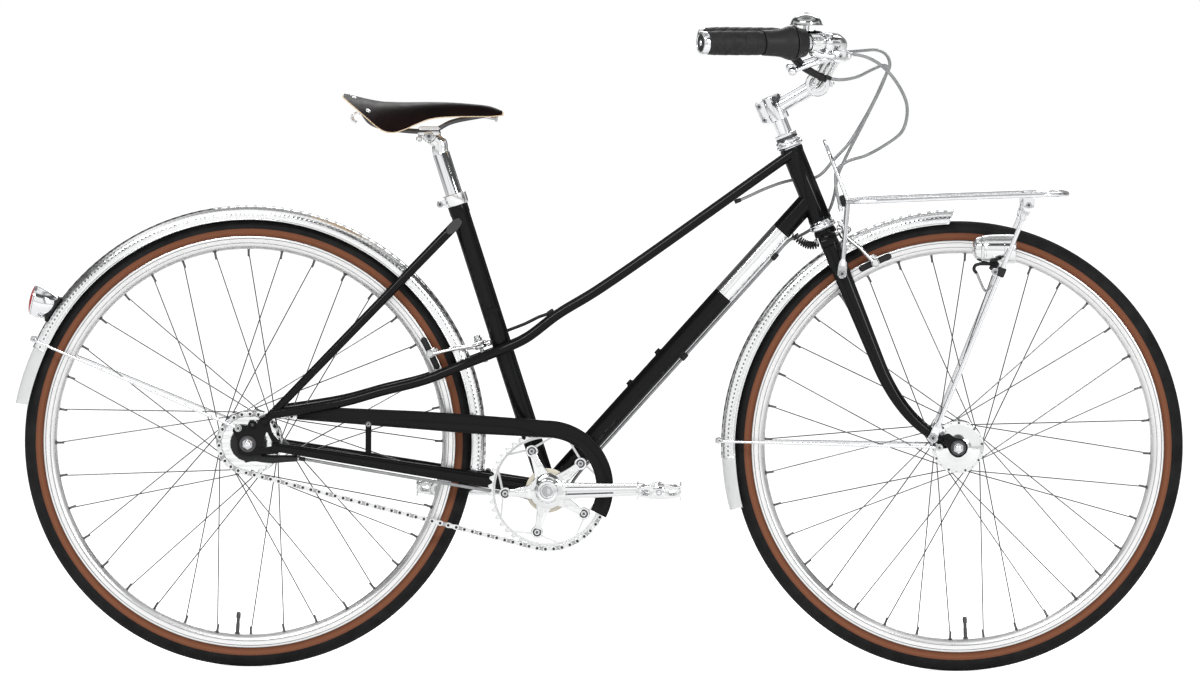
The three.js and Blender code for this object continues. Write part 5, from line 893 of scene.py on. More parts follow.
p.add(tube(loops[2], 1.1, 10, closed=True), raw_edge)
for share, across in ((0.045, 0.0), (0.065, 0.42), (0.065, -0.42), (0.16, 0.8), (0.16, -0.8)):
    q, n = saddle_point(share, across), saddle_normal(share, across)
    n = n if n.z > 0 else -n
    p.add(lathe([(4.3, -0.6), (4.3, 0.1), (3.7, 0.8), (2.2, 1.25), (0, 1.4)], q, n, 28), chrome)
p.done(sharp=60)

RAIL = [(-365.9, 28.6, 855), (-349, 26.4, 832), (-317.7, 22, 822.5), (-255.04, 22, 820),
        (-226.4, 16.5, 833.2), (-173.1, 3.5, 844)]
p = Piece("saddle_rails_dressed", "seatpost", "saddle_rails", slot="chrome")
for sign in (1, -1):
    p.add(tube(smooth([(x, sign * y, z) for x, y, z in RAIL], 10), 3.5, 18), dark_steel)
p.add(block((-366, 0, 850), AHEAD, LEFT, (4.5, 92, 12), 1.6, 3), chrome)
p.add(tube(smooth([(-368, -44, 853), (-369, -24, 857), (-370, 0, 859), (-369, 24, 857), (-368, 44, 853)], 6),
           lambda s: (2.2, 5.5), 16, across=AHEAD), chrome)
for sign in (1, -1):
    ring = [V((-371 - 7 * math.sin(t), sign * 27, 843 + 7 * math.cos(t) - 4))
            for t in (math.pi * k / 10 for k in range(11))]
    p.add(tube(ring, 1.6, 12), chrome)
p.add(block((-173, 0, 843.6), AHEAD, LEFT, (16, 13, 8.5), 2, 3), chrome)
p.add(rod((-190, 0, 844), (-158, 0, 839), 3.0, None, 16), steel)
p.add(hexagon((-160, 0, 839.4), (1, 0, -0.12), 5.0, 4), steel)
p.done()

p = Piece("seatpost_dressed", "seatpost", "seatpost", slot="polished_alloy")
p.add(lathe([(12.6, 0), (13.2, 0.6), (13.2, 246), (12.4, 247.4), (0, 247.4)], on_seat(291), SEAT, 56), chrome)
head = V((-260, 0, 812))
p.add(tube(smooth([on_seat(528), on_seat(543), (-244.5, 0, 800), (-251, 0, 806), (-258, 0, 810)], 6),
           lambda s: (12.8 - 1.2 * s, 13.2 - 2.0 * s), 28, across=LEFT), alloy)
p.add(rod(head - LEFT * 17, head + LEFT * 17, 10.5, None, 36, 1.5), alloy)
for sign in (1, -1):
    p.add(block(head + V((0, sign * 22, 4.4)), AHEAD, LEFT, (34, 11, 5.2), 1.8, 3), alloy)
    p.add(block(head + V((0, sign * 22, 11.6)), AHEAD, LEFT, (34, 11, 4.6), 1.8, 3), alloy)
    p.add(rod(head + LEFT * sign * 17, head + LEFT * sign * 29, 8.5, 7.5, 28, 1.4), alloy)
    bolt_head(p, head + LEFT * sign * 28.5, LEFT * sign, 5.5, 3.2, steel)
p.add(rod(head + V((16, 0, -8)), head + V((13, 0, 13)), 2.8, None, 16), dark_steel)
p.add(rod(head + V((-15, 0, -9)), head + V((-14, 0, 13)), 2.8, None, 16), steel)
p.add(rod(head + V((-16, 0, -8)), head + V((-15, 0, -2)), 5, None, 24, 0.8), alloy)
p.done()

# Fenders, their wires and the tail light

FENDER = smooth([(0, 0, 0), (8.5, 0, -0.5), (15.5, 0, -2.8), (20, 0, -8), (22.4, 0, -15),
                 (FENDER_HALF, 0, -FENDER_DEPTH)], 4)
section = [(-q.x, q.z) for q in reversed(FENDER)][:-1] + [(q.x, q.z) for q in FENDER]
flap_look = finish("flap_rubber", (0.78, 0.79, 0.79), 0.0, 0.5, Transmission_Weight=0.25, IOR=1.3)
relief(flap_look, noise(flap_look, 260, 3.0), 0.2, 0.0006)
worn(flap_look, 0.4, 0.6, 90)


def bent_sheet(axle, first, last, radius, wall, look, piece, step=1.0, flare=0.0, slant=0.0):
    count = max(2, int((last - first) / step))
    loops = []
    for i in range(count + 1):
        deg = first + (last - first) * i / count
        grow = flare * (i / count) ** 2
        lean = slant * max(0.0, 1 - (deg - first) / 8)
        outer = [V((axle.x, y, axle.z)) + turn(deg - lean * h / FENDER_DEPTH) * (radius + h + grow)
                 for y, h in section]
        inner = [V((axle.x, y * (1 - wall / FENDER_HALF), axle.z))
                 + turn(deg - lean * h / FENDER_DEPTH) * (radius + h * (1 - wall / 21) - wall + grow)
                 for y, h in reversed(section)]
        loops.append(outer + inner)
    piece.add(loft(loops), look)
    return piece


def edge_wire(axle, first, last, piece, look, slant=0.0):
    for sign in (1, -1):
        line = [around(axle, FENDER_RADIUS - 20.3,
                       first + slant + (last - first - slant) * k / 90, sign * 22.6)
                for k in range(91)]
        piece.add(tube(line, 1.4, 10), look)
    for deg, cut in ((first, slant), (last, 0.0)):
        line = [V((axle.x, y, axle.z)) + turn(deg - cut * h / FENDER_DEPTH) * (FENDER_RADIUS + h - 0.5)
                for y, h in section]
        piece.add(tube(line, 1.1, 8), look)


def stay_wires(piece, axle, deg, eye, eye_side, body_look):
    out = 363.2
    for sign in (1, -1):
        foot = V((eye.x, sign * eye_side, eye.z))
        turn_in = around(axle, out, deg, sign * 27)
        d = (turn_in - foot).normalized()
        path = [foot, turn_in - d * 9] + [turn_in - d * 9 * (1 - s) ** 2 + LEFT * -sign * 9 * s * s
                                          for s in (0.3, 0.6, 0.85, 1.0)]
        path.append(around(axle, out, deg, 0))
        piece.add(tube(path, 2.2, 14), body_look)
        piece.add(lathe([(2.6, -2), (5.4, -2), (5.6, 0), (5.4, 2), (2.6, 2), (2.6, -2)], foot, LEFT, 24),
                  body_look)
        bolt_head(piece, foot + LEFT * sign * 2.2, LEFT * sign, 4.6, 3.6, alloy)
    for y in (-12, 12):
        spot = around(axle, 364.2, deg, y)
        piece.add(block(spot, turn(deg + 90), LEFT, (9, 8, 7), 1.5, 3), alloy)
        piece.add(hexagon(around(axle, 366, deg, y), turn(deg), 3.6, 3.2), steel)


p = Piece("rear_fender_dressed", "frame", "rear_fender", slot="hammered_alloy")
bent_sheet(REAR, -6.5, 156.5, FENDER_RADIUS, 1.2, hammered("rear_fender_metal", REAR), p)
edge_wire(REAR, -6.5, 156.5, p, alloy)
bent_sheet(REAR, 151, 170.8, 359.6, 1.0, flap_look, p, 1.0, 2.6)
p.done(sharp=50)
p = Piece("rear_fender_stay_dressed", "frame", "rear_fender_stay", slot="steel")
stay_wires(p, REAR, 154.9, V((REAR.x - 14.4, 0, REAR.z + 24)), 74.7, chrome)
p.done()
p = Piece("front_fender_dressed", "fork", "front_fender", slot="hammered_alloy")
bent_sheet(FRONT, 91.4, 183, FENDER_RADIUS, 1.2, hammered("front_fender_metal", FRONT), p, slant=1.3)
edge_wire(FRONT, 91.4, 183, p, alloy, 1.3)
bent_sheet(FRONT, 181, 196, 359.6, 1.0, flap_look, p, 1.0, 1.4)
p.done(sharp=50)
p = Piece("front_fender_stay_dressed", "fork", "front_fender_stay", slot="steel")
stay_wires(p, FRONT, 179, V((FRONT.x - 29, 0, FRONT.z + 1)), 65.3, chrome)
p.done()

p = Piece("tail_light_dressed", "frame", "tail_light", slot="chrome")
middle = around(REAR, 380, 146.3)
face, away = middle + V((-13, 0, 4)), turn(167)
base, lean = around(REAR, 362.4, 146.3), turn(146.3)
shell = []
for k in range(15):
    t = k / 14
    spot = base * (1 - t) + face * t
    facing = (lean * (1 - t) + away * t).normalized()
    swell = (1 - (1 - t) ** 2.4)
    half_tall, half_wide = 19 + 5.2 * swell, 15 + 8.6 * swell
    over_way = LEFT.cross(facing)
    shell.append([spot + over_way * half_tall * math.cos(a) + LEFT * half_wide * math.sin(a)
                  for a in (2 * math.pi * q / 56 for q in range(56))])
p.add(loft(shell), chrome)
for radius, step in ((24.6, 0.0), (24.0, 2.2)):
    p.add(lathe([(radius - 1.6, -1.2), (radius, -0.8), (radius, 0.8), (radius - 1.6, 1.2),
                 (radius - 1.6, -1.2)], face + away * step, away, 64), chrome)
p.add(lathe([(22.6, 1.0), (22.6, 3.4), (20, 5.0), (13, 6.8), (6, 7.6), (0, 7.8)], face, away, 64), red_lens)
p.add(tube([base + turn(56.3) * 17, base + turn(56.3) * 20 - lean * 0.6], 5.0, 24), plastic)
p.add(block(base - lean * 1.0, turn(56.3), LEFT, (44, 34, 3.4), 1.4, 3), plastic)
p.done()

# Fork, headset and stem

BRAKE_RISE = 369


def blade_line(sign):
    side = lambda along: sign * (52 - 18 * along / 359)
    bend, pull, tip = on_axis(160, 0, side(160)), on_axis(70, 1, side(70)), on_axis(17, 46, side(17))
    top = on_axis(358.1, 0, side(359))
    line = [top + (bend - top) * k / 8 for k in range(8)]
    return line + [bend * (1 - s) ** 2 + pull * 2 * s * (1 - s) + tip * s * s
                   for s in (k / 20 for k in range(21))]


p = Piece("fork_crown_dressed", "fork", "fork_crown", slot="black_paint")
crown_face = rounded([(-43, -0.5), (43, -0.5), (43, 10), (33, 17), (-33, 17), (-43, 10)], 6)
p.add(plate(crown_face, -14, 14, (), 3.0, on_axis(359), LEFT, AXIS, FORE), paint)
for sign in (1, -1):
    p.add(tube([on_axis(356.5, 0, sign * 34), on_axis(372, 0, sign * 33.2), on_axis(376.4, 0, sign * 32.9)],
               lambda s: (14.6 - 3.2 * s ** 3, 9.9 - 2.4 * s ** 3), 36, across=FORE, ends=2), paint)
p.add(lathe([(17.0, -1), (17.6, 1.5), (17.2, 4), (16.2, 8.4), (12.8, 8.4)], on_axis(375.6), AXIS, 48), paint)
p.add(rod(on_axis(380), on_axis(531), 12.7, None, 40), steel)
p.add(rod(on_axis(BRAKE_RISE), on_axis(BRAKE_RISE, 35), 3, None, 16), steel)
p.add(hexagon(on_axis(BRAKE_RISE, -15.2), -FORE, 5.5, 5), steel)
p.done()

DROP_F = [(-2, 1.15), (-1.15, 0.1), (-0.8, -0.6), (-0.25, -1), (0.3, -0.95), (0.85, -0.5), (1, 0.1),
          (0.8, 0.65), (0.35, 0.95), (-0.3, 1), (-1, 1.5)]
for tag, sign in (("left", 1), ("right", -1)):
    p = Piece("fork_blade_%s_dressed" % tag, "fork", "fork_blade_" + tag, slot="black_paint")
    p.add(tube(blade_line(sign), lambda s: (6.5 + 2.5 * (1 - s), 6.5 + 7.5 * (1 - s) ** 0.8), 36,
               across=LEFT, ends=1.5), paint)
    outline = rounded([(FRONT.x + x * 15, FRONT.z + z * 15) for x, z in DROP_F], 3)
    lo, hi = sorted((sign * 50, sign * 54))
    p.add(plate(outline, lo, hi, [disc(FRONT.x, FRONT.z, 5.3)], 1.0), paint)
    for spot, y0, y1, r in ((on_axis(29, 34), 52, 60, 5.0), (V((519, 0, 344.5)), 51, 60, 5.0)):
        p.add(lathe([(2.4, y0), (r - 0.4, y0), (r, y0 + 0.4), (r, y1 - 0.5), (r - 0.5, y1), (2.4, y1),
                     (2.4, y0)],
                    spot, LEFT * sign, 24), paint)
    p.add(lathe([(0, 34), (5.6, 34), (5.2, 46), (4.4, 48.8), (0, 49)], on_axis(312), LEFT * sign, 24), paint)
    p.done()

p = Piece("headset_lower_dressed", "frame", "headset_lower_cup", slot="chrome")
p.add(lathe([(13, 0), (18.6, 0), (20.2, 0.8), (20.6, 2.2), (20.6, 5.2), (19.8, 6.4), (19.4, 7.2),
             (19.6, 8.2), (18.0, 10.6), (17.3, 12), (13, 12), (13, 0)],
            on_axis(384.7), AXIS, 64), chrome)
p.done()
p = Piece("headset_upper_dressed", "frame", "headset_upper_cup", slot="chrome")
p.add(lathe([(13, 0), (17.3, 0), (17.8, 1.2), (20.0, 2.4), (20.9, 4.0), (20.9, 5.6), (20.0, 7.0),
             (18.2, 7.8), (18.0, 8.6), (19.4, 9.4), (19.9, 10.8), (19.2, 12.4), (17.6, 14), (13, 14),
             (13, 0)], on_axis(517.3), AXIS, 64), chrome)
p.done()

BAR_RISE = 582.5
BAR = on_axis(BAR_RISE)
bar_centre = V((330.7, 0, 894.3))
p = Piece("stem_dressed", "fork", "stem", slot="chrome")
p.add(lathe([(16.4, 0), (16.8, 0.6), (16.8, 3.4), (16.0, 4.2), (12.2, 4.2)], on_axis(531.6), AXIS, 48),
      dark_steel)
p.add(hexagon(on_axis(535.4), AXIS, 17.0, 5.4, 0.8), chrome)
p.add(lathe([(11.2, 0), (11.2, 98), (11.6, 99)], on_axis(471.6), AXIS, 40), chrome)
p.add(lathe([(11.3, 0), (15.2, 0), (16, 1), (16, 37.4), (15, 38.8), (12.8, 39), (12.4, 37.6), (6.2, 37.6),
             (6, 34), (0, 34)], on_axis(563), AXIS, 56), chrome)
arm = (bar_centre - BAR).normalized()
p.add(tube([BAR + arm * k * (bar_centre - BAR).length / 8 for k in range(9)],
           lambda s: (13.2 + 1.5 * abs(2 * s - 1) ** 3, 12 + 2.4 * abs(2 * s - 1) ** 3),
           40, across=LEFT, ends=0.3), chrome)
p.add(lathe([(12.9, -21), (17.6, -21), (18.5, -20), (18.5, 20), (17.6, 21), (12.9, 21), (12.9, -21)],
            bar_centre, LEFT, 64), chrome)
p.add(block(bar_centre + arm * 17.5, arm, LEFT, (7.5, 40, 31), 3.0, 3), chrome)
for y in (-12.6, 12.6):
    for rise in (-9, 9):
        spot = bar_centre + arm * 20.6 + LEFT * y + LEFT.cross(arm) * rise
        bolt_head(p, spot, arm, 3.7, 2.6, steel)
for sign in (1, -1):
    p.add(plate(rounded([(3, -19.2), (-8, -19.2), (-12, -15), (-12, 15), (-8, 19.2), (3, 19.2)], 3), 0.8,
                8.6, (), 1.2, on_axis(BAR_RISE, -15), FORE, AXIS, LEFT * sign), chrome)
for rise in (-11, 11):
    spot = on_axis(BAR_RISE + rise, -21.5)
    bolt_head(p, spot - LEFT * 8.4, -LEFT, 4.2, 4.0, steel)
    p.add(rod(spot + LEFT * 8.4, spot + LEFT * 11.8, 3.6, None, 6), steel)
p.add(rod(on_axis(596), on_axis(600.4), 5.4, 5.0, 24, 0.8), alloy)
p.done()

# Handlebar and what it carries

GRIP_SIDE = 208.857
# Cosine and sine of the 25 degrees that the grips point outward
BACKWARD, OUTWARD = 0.9063, 0.4226


def grip_start(sign):
    return V((330.70, sign * GRIP_SIDE, 959.255))


def grip_out(sign):
    return V((-BACKWARD, sign * OUTWARD, 0)).normalized()


def over(sign):
    return V((OUTWARD, sign * BACKWARD, 0)).normalized()


def on_grip(sign, at, drop=0.0, aside=0.0):
    return grip_start(sign) + grip_out(sign) * at - UP * drop + over(sign) * aside


def bar_line(sign):
    shares = [(0, 0, 0), (0, 0.16, 0), (0.3, 0.3, 0.24), (0.86, 0.5, 0.74), (1.03, 0.7, 0.95),
              (0.83, 0.88, 1)]
    line = [bar_centre + V((31 * f, sign * GRIP_SIDE * s, 65 * r)) for f, s, r in shares]
    return line + [on_grip(sign, -2), on_grip(sign, 0), on_grip(sign, 96), on_grip(sign, 192)]


whole = list(reversed(bar_line(-1)))[:-1] + [bar_centre] + bar_line(1)[1:]
p = Piece("handlebar_dressed", "fork", "handlebar", slot="polished_alloy")
p.add(tube(smooth(whole, 12), 11.1, 32), alloy)
p.add(lathe([(11.2, -32), (11.8, -31), (12.7, -29.4), (12.7, 29.4), (11.8, 31), (11.2, 32)], bar_centre,
            LEFT, 48), alloy)
for sign in (1, -1):
    p.add(lathe([(16.3, -4.6), (17.1, -4.0), (17.2, 2.6), (16.6, 4.2), (15.0, 5.2), (13.4, 5.2), (12.8, 4.0),
                 (0, 4.0)],
                on_grip(sign, 191.5), grip_out(sign), 48), chrome)
    p.add(lathe([(12.8, 3.4), (12.6, 4.4), (5.2, 4.6), (4.8, 3.8)], on_grip(sign, 191.5), grip_out(sign),
                40), plastic)
    bolt_head(p, on_grip(sign, 195.5), grip_out(sign), 4.4, 2.4, chrome)
p.done()


def ribs(piece, base, way, count, out, first, last, radius, sides, look):
    """Fine ribs round a barrel that fingers turn."""
    a, b, d = basis(way)
    for k in range(count):
        t = 2 * math.pi * k / count
        away = a * math.cos(t) + b * math.sin(t)
        piece.add(rod(base + away * out + way * first, base + away * out + way * last, radius, None, sides,
                      0.2), look)


def wound(name, node, sign, start, end, radius, end_radius):
    """A grip wound with a strip of leather, each turn lapping over the one before."""
    p = Piece(name, "fork", node, slot="grip_leather")
    a, b, d = basis(grip_out(sign))
    run, pitch, sides, rows = end - start, 19.0, 72, 150
    loops = []
    for i in range(rows + 1):
        at = run * i / rows
        share = at / run
        body = radius + (end_radius - radius) * max(0, (share - 0.72) / 0.28) ** 2
        if share < 0.12:
            body = radius - 1.2 * (1 - share / 0.12) ** 2
        loop = []
        for k in range(sides):
            t = 2 * math.pi * k / sides
            turns = (at / pitch + t / (2 * math.pi)) % 1.0
            step = (0.55 * (1 - turns) - 0.75 * math.exp(-((turns - 0.02) / 0.035) ** 2)
                    - 0.75 * math.exp(-((turns - 1.02) / 0.035) ** 2))
            fade = min(share / 0.03, (1 - share) / 0.03, 1)
            loop.append(on_grip(sign, start + at)
                        + (a * math.cos(t) + b * math.sin(t)) * (body + step * fade))
        loops.append(loop)
    p.add(loft(loops, caps=False), wrap)
    for at, way in ((start, -1), (end, 1)):
        ring_r = radius - 1.2 if way < 0 else end_radius
        p.add(lathe([(11.2, 0.4), (11.2, -0.2), (ring_r - 1, -0.3), (ring_r + 0.1, 0.6),
                     (ring_r - 0.2, 1.8)], on_grip(sign, at), grip_out(sign) * -way, 64), wrap)
    p.done(sharp=70)


wound("grip_right_dressed", "grip_right", -1, 95.4, 186.6, 18.1, 17.0)
wound("grip_left_dressed", "grip_left", 1, 62.4, 186.6, 18.1, 17.0)

p = Piece("twist_grip_dressed", "twist_grip", "twist_grip", slot="black_plastic")
profile = [(11.3, 0.2), (24.2, 0.2), (25.4, 0.8), (26.0, 2.2), (25.6, 6), (24.4, 10), (22.6, 15), (21.2, 20),
           (20.2, 28), (19.6, 38), (19.2, 46), (18.9, 49), (18.2, 50), (11.3, 50), (11.3, 0.2)]
p.add(lathe(profile, on_grip(-1, 44.5), grip_out(-1), 80), plastic)
p.done(sharp=45)

p = Piece("shifter_dressed", "fork", "shifter_housing", slot="black_plastic")
p.add(lathe([(11.3, 0), (19.4, 0), (20.6, 0.8), (21.4, 3), (22.6, 10), (25.2, 15.4), (26.2, 17),
             (26.2, 19.4), (25.6, 20), (11.3, 20), (11.3, 0)],
            on_grip(-1, 24), grip_out(-1), 80), plastic)
inner = V((-OUTWARD, BACKWARD, 0)).normalized()
start_p, end_p = on_grip(-1, 36, 20) + inner * 14.5, on_grip(-1, -9, 50) + inner * 15.5
p.add(tube(smooth([start_p, start_p + (end_p - start_p) * 0.3 - UP * 4,
                   start_p + (end_p - start_p) * 0.7 - UP * 3, end_p], 8),
           lambda s: (7.4 - 2.0 * s, 7.0 - 1.8 * s), 28, across=over(-1), ends=1.4), plastic)
step = (end_p - start_p).normalized()
p.add(lathe([(5.2, -2), (5.8, -1.4), (5.8, 6), (5.0, 7), (3.4, 7.6), (3.0, 12), (2.6, 12)], end_p, step, 24),
      plastic)
ribs(p, end_p, step, 12, 5.7, -0.5, 5.6, 0.55, 8, plastic)
p.done()

for tag, sign in (("left", 1), ("right", -1)):
    out_d, over_d = grip_out(sign), over(sign)
    pivot, tip = on_grip(sign, -30, 20), on_grip(sign, 44, 42)
    p = Piece("lever_bracket_%s_dressed" % tag, "fork", "lever_bracket_" + tag, slot="polished_alloy")
    p.add(lathe([(11.2, 0), (14.2, 0), (15.4, 1), (15.4, 15), (14.2, 16), (11.2, 16), (11.2, 0)],
                on_grip(sign, 2), out_d, 56), alloy)
    p.add(block(on_grip(sign, 10, 0, 16.2), out_d, UP, (13, 11, 7), 2, 3), alloy)
    bolt_head(p, on_grip(sign, 10, -5.0, 16.2), UP, 3.6, 3.0, steel)
    lower = smooth([on_grip(sign, 13, 13), on_grip(sign, 2, 17), on_grip(sign, -12, 19),
                    on_grip(sign, -22, 20)], 6)
    p.add(tube(lower, lambda s: (8.8 + 3.0 * s, 6.4), 28, across=over_d, ends=1.5), alloy)
    for side in (1, -1):
        face = rounded([(-9.5, -9.5), (12, -8.5), (12, 8.5), (-9.5, 9.5), (-14, 0)], 7)
        p.add(plate(face, 5.2, 11.6, (), 1.4, pivot, out_d, UP, over_d * side), alloy)
        bolt_head(p, pivot + over_d * side * 11.4, over_d * side, 4.4, 1.6, steel)
    p.add(block(on_grip(sign, -40.6, 20), out_d, over_d, (5.2, 21, 14), 2.2, 3), alloy)
    barrel = (on_grip(sign, -54, 18.4) - on_grip(sign, -40, 20)).normalized()
    base_b = on_grip(sign, -42, 19.9)
    p.add(lathe([(0, 0), (5.0, 0), (5.0, 2.0), (4.2, 2.6), (4.2, 3.6), (5.6, 4.0), (6.0, 4.8), (6.0, 8.2),
                 (5.4, 9), (3.9, 9.6), (3.4, 12.6), (0, 12.6)], base_b, barrel, 32), alloy)
    ribs(p, base_b, barrel, 16, 5.9, 4.6, 8.4, 0.5, 6, alloy)
    p.done()
    p = Piece("brake_lever_%s_dressed" % tag, "brake_lever_" + tag, "brake_lever_" + tag, slot="chrome")
    p.add(rod(pivot - over_d * 4.4, pivot + over_d * 4.4, 8.2, None, 32, 0.8), chrome)
    line = smooth([pivot - out_d * 2, on_grip(sign, -16, 23.4), on_grip(sign, 6, 29.4),
                   on_grip(sign, 26, 35.6), on_grip(sign, 40, 40.8)], 8)
    p.add(tube(line, lambda s: (4.4 + 2.4 * math.sin(math.pi * min(s, 1)), 5.4 - 1.6 * s), 28, across=over_d,
               ends=1.5), chrome)
    p.add(ball(tip - UP * 0.4, over_d, 6.6, 14, 28), chrome)
    p.add(rod(pivot - over_d * 11, pivot + over_d * 11, 2.9, None, 20), steel)
    p.done(sharp=50)

bell = on_grip(-1, -12) + V((-30, 18, 27))
p = Piece("bell_dressed", "fork", "bell", slot="chrome")
shell = [(23.6 * math.cos(t), 15.5 * math.sin(t)) for t in (math.pi / 2 * k / 12 for k in range(13))]
p.add(lathe([(22.6, -0.6), (24.8, -0.6), (25.1, 0.4), (24.6, 1.4)] + [(r, h + 1.4) for r, h in shell], bell,
            UP, 72), bell_metal)
# A dark disc across the open mouth of the bell is painted shade for its inside
p.add(lathe([(22.6, -0.7), (0, -0.7)], bell, UP, 72), dark_steel)
p.add(lathe([(3.6, 16.2), (3.6, 17.2), (2.6, 18.4), (0, 18.8)], bell, UP, 24), chrome)
p.add(rod(bell - UP * 14, bell - UP * 0.4, 4.6, None, 24), chrome)
base = on_grip(-1, -13)
p.add(lathe([(11.3, -6), (14.6, -6), (15.2, -5.2), (15.2, 5.2), (14.6, 6), (11.3, 6), (11.3, -6)], base,
            (on_grip(-1, 0) - on_grip(-1, -4)), 40), chrome)
p.add(tube(smooth([base + V((-2, 2, 12)), base + V((-12, 8, 14)), bell - UP * 13], 6), lambda s: (6.5, 4.0),
           20, across=LEFT, ends=1), chrome)
hammer = smooth([bell + V((-4, -6, -8)), bell + V((-16, -18, -8)), bell + V((-18, -22, -5))], 6)
p.add(tube(hammer, lambda s: (1.6, 3.4), 12, across=UP), steel)
p.add(ball(bell + V((-18, -22, -4)), UP, 4.4, 10, 20), steel)
p.done()

# Brakes

PADS = {"front": (FRONT, 114.5, on_axis(BRAKE_RISE, 15), FORE),
        "rear": (REAR, 26.5, bridge_at(10.2), turn(110.3))}
for end, (axle, pad_deg, pivot, way) in PADS.items():
    for tag, sign in (("left", 1), ("right", -1)):
        body = "%s_brake_arm_%s" % (end, tag)
        pad = around(axle, 308, pad_deg, sign * 19.3)
        along = turn(pad_deg + 90)
        rise = turn(pad_deg)
        hub_at = pivot + way * (6 if sign > 0 else 12.3)
        upward = AXIS if end == "front" else turn(20.3)
        shoulder = hub_at + LEFT * sign * 33 - upward * 2
        low = V((pad.x, sign * 33, pad.z))
        p = Piece(body + "_dressed", body, body, slot="polished_alloy")
        p.add(rod(hub_at - way * 3, hub_at + way * 3, 9.2, None, 36, 1.0), alloy)
        p.add(tube(smooth([hub_at + LEFT * sign * 2, hub_at + LEFT * sign * 16 + upward * 3.5,
                           hub_at + LEFT * sign * 28 + upward * 1.5,
                           shoulder + LEFT * sign * 1.6 - upward * 5,
                           (shoulder + low) * 0.5 + LEFT * sign * 1.5, low - rise * 4], 7),
                   lambda s: (3.0 + 0.4 * s, 7.4 - 2.4 * s), 24, across=way, ends=1), alloy)
        slot_mid = low + rise * 3 + LEFT * sign * 0.4
        p.add(block(slot_mid, rise, LEFT, (20, 6.6, 11.5), 2.6, 3), alloy)
        # A dark strip in the slot of the arm is painted shade
        p.add(block(slot_mid + LEFT * sign * 0.3, rise, LEFT, (13, 6.9, 4.4), 1.6, 3), dark_steel)
        stud = V((pad.x, 0, pad.z))
        p.add(rod(stud + LEFT * sign * 24, stud + LEFT * sign * 39, 3.1, None, 20), steel)
        p.add(hexagon(stud + LEFT * sign * 36.6, LEFT * sign, 5.2, 5.0), alloy)
        p.add(rod(stud + LEFT * sign * 35.4, stud + LEFT * sign * 36.8, 6.4, None, 24, 0.3), steel)
        p.add(block(pad + along * 1 + LEFT * sign * 1.8, along, LEFT, (50, 5.2, 9.0), 1.6, 3), plastic)
        shoe = V((pad.x, pad.y - sign * 1.3, pad.z))
        p.add(block(shoe, along, LEFT, (53, 6.2, 9.6), 1.8, 3), pad_rubber)
        for k in (-2, -1, 1, 2):
            p.add(block(shoe + along * 9 * k + LEFT * sign * 0.2, along, LEFT, (1.2, 6.3, 9.9), 0.3), plastic)
        horn_side = (end == "front" and sign < 0) or (end == "rear" and sign > 0)
        if horn_side:
            tip = hub_at + LEFT * (sign * 30) + upward * 14
            p.add(tube(smooth([hub_at + LEFT * sign * 4 + upward * 2, hub_at + LEFT * sign * 18 + upward * 8,
                               tip], 6),
                       lambda s: (2.8, 5.2 - 1.0 * s), 20, across=way, ends=1), alloy)
            p.add(rod(tip - upward * 4.5, tip + upward * 5, 4.6, None, 24, 0.6), alloy)
        else:
            tip = hub_at + LEFT * sign * 26 + upward * 7
            p.add(tube(smooth([hub_at + LEFT * sign * 4 + upward * 1, hub_at + LEFT * sign * 16 + upward * 6,
                               tip], 6), lambda s: (2.6, 4.6), 20, across=way, ends=1), alloy)
        if sign < 0:
            p.add(hexagon(hub_at + way * 3.2, way, 6.2, 4.4), steel)
            p.add(dome(hub_at + way * 7.6, way, 4.6, 3.4, 20, 0.5), steel)
        p.done(sharp=45)

# Front rack with its struts, and the headlamp

RACK_BACK, RACK_LENGTH, RACK_HALF, RACK_HEIGHT, RACK_RISE = 378, 326, 92, 717, 15
# Where the struts are bolted to the rack
EYE_AHEAD, EYE_HEIGHT = 651, 714.2


def rack_point(share, side, lift=0.0):
    return V((RACK_BACK + RACK_LENGTH * share, side, RACK_HEIGHT + RACK_RISE * share + lift))


p = Piece("front_rack_dressed", "fork", "front_rack", slot="chrome")
loop = [rack_point(0, -73.6), rack_point(0.06, -RACK_HALF), rack_point(0.5, -RACK_HALF),
        rack_point(0.94, -RACK_HALF, -1), rack_point(1, -73.6, -2)]
loop += [V((q.x, -q.y, q.z)) for q in reversed(loop)]
p.add(tube(smooth(loop, 12), 3.5, 20), chrome)
p.add(rod(rack_point(0, 74), rack_point(0, -74), 3.5, None, 20), chrome)
p.add(rod(rack_point(0.82, 91), rack_point(0.82, -91), 2.6, None, 16), chrome)
for i in range(1, 5):
    y = -RACK_HALF + 2 * RACK_HALF * i / 5
    p.add(rod(rack_point(0, y), rack_point(1, y, -2), 2.6, None, 16), chrome)
hoop = [rack_point(0, 56), V((361.5, 56, 758.5)), V((345, 39.2, 800)), V((345, -39.2, 800)),
        V((361.5, -56, 758.5)), rack_point(0, -56)]
p.add(tube(smooth(hoop, 14), 2.8, 20), chrome)
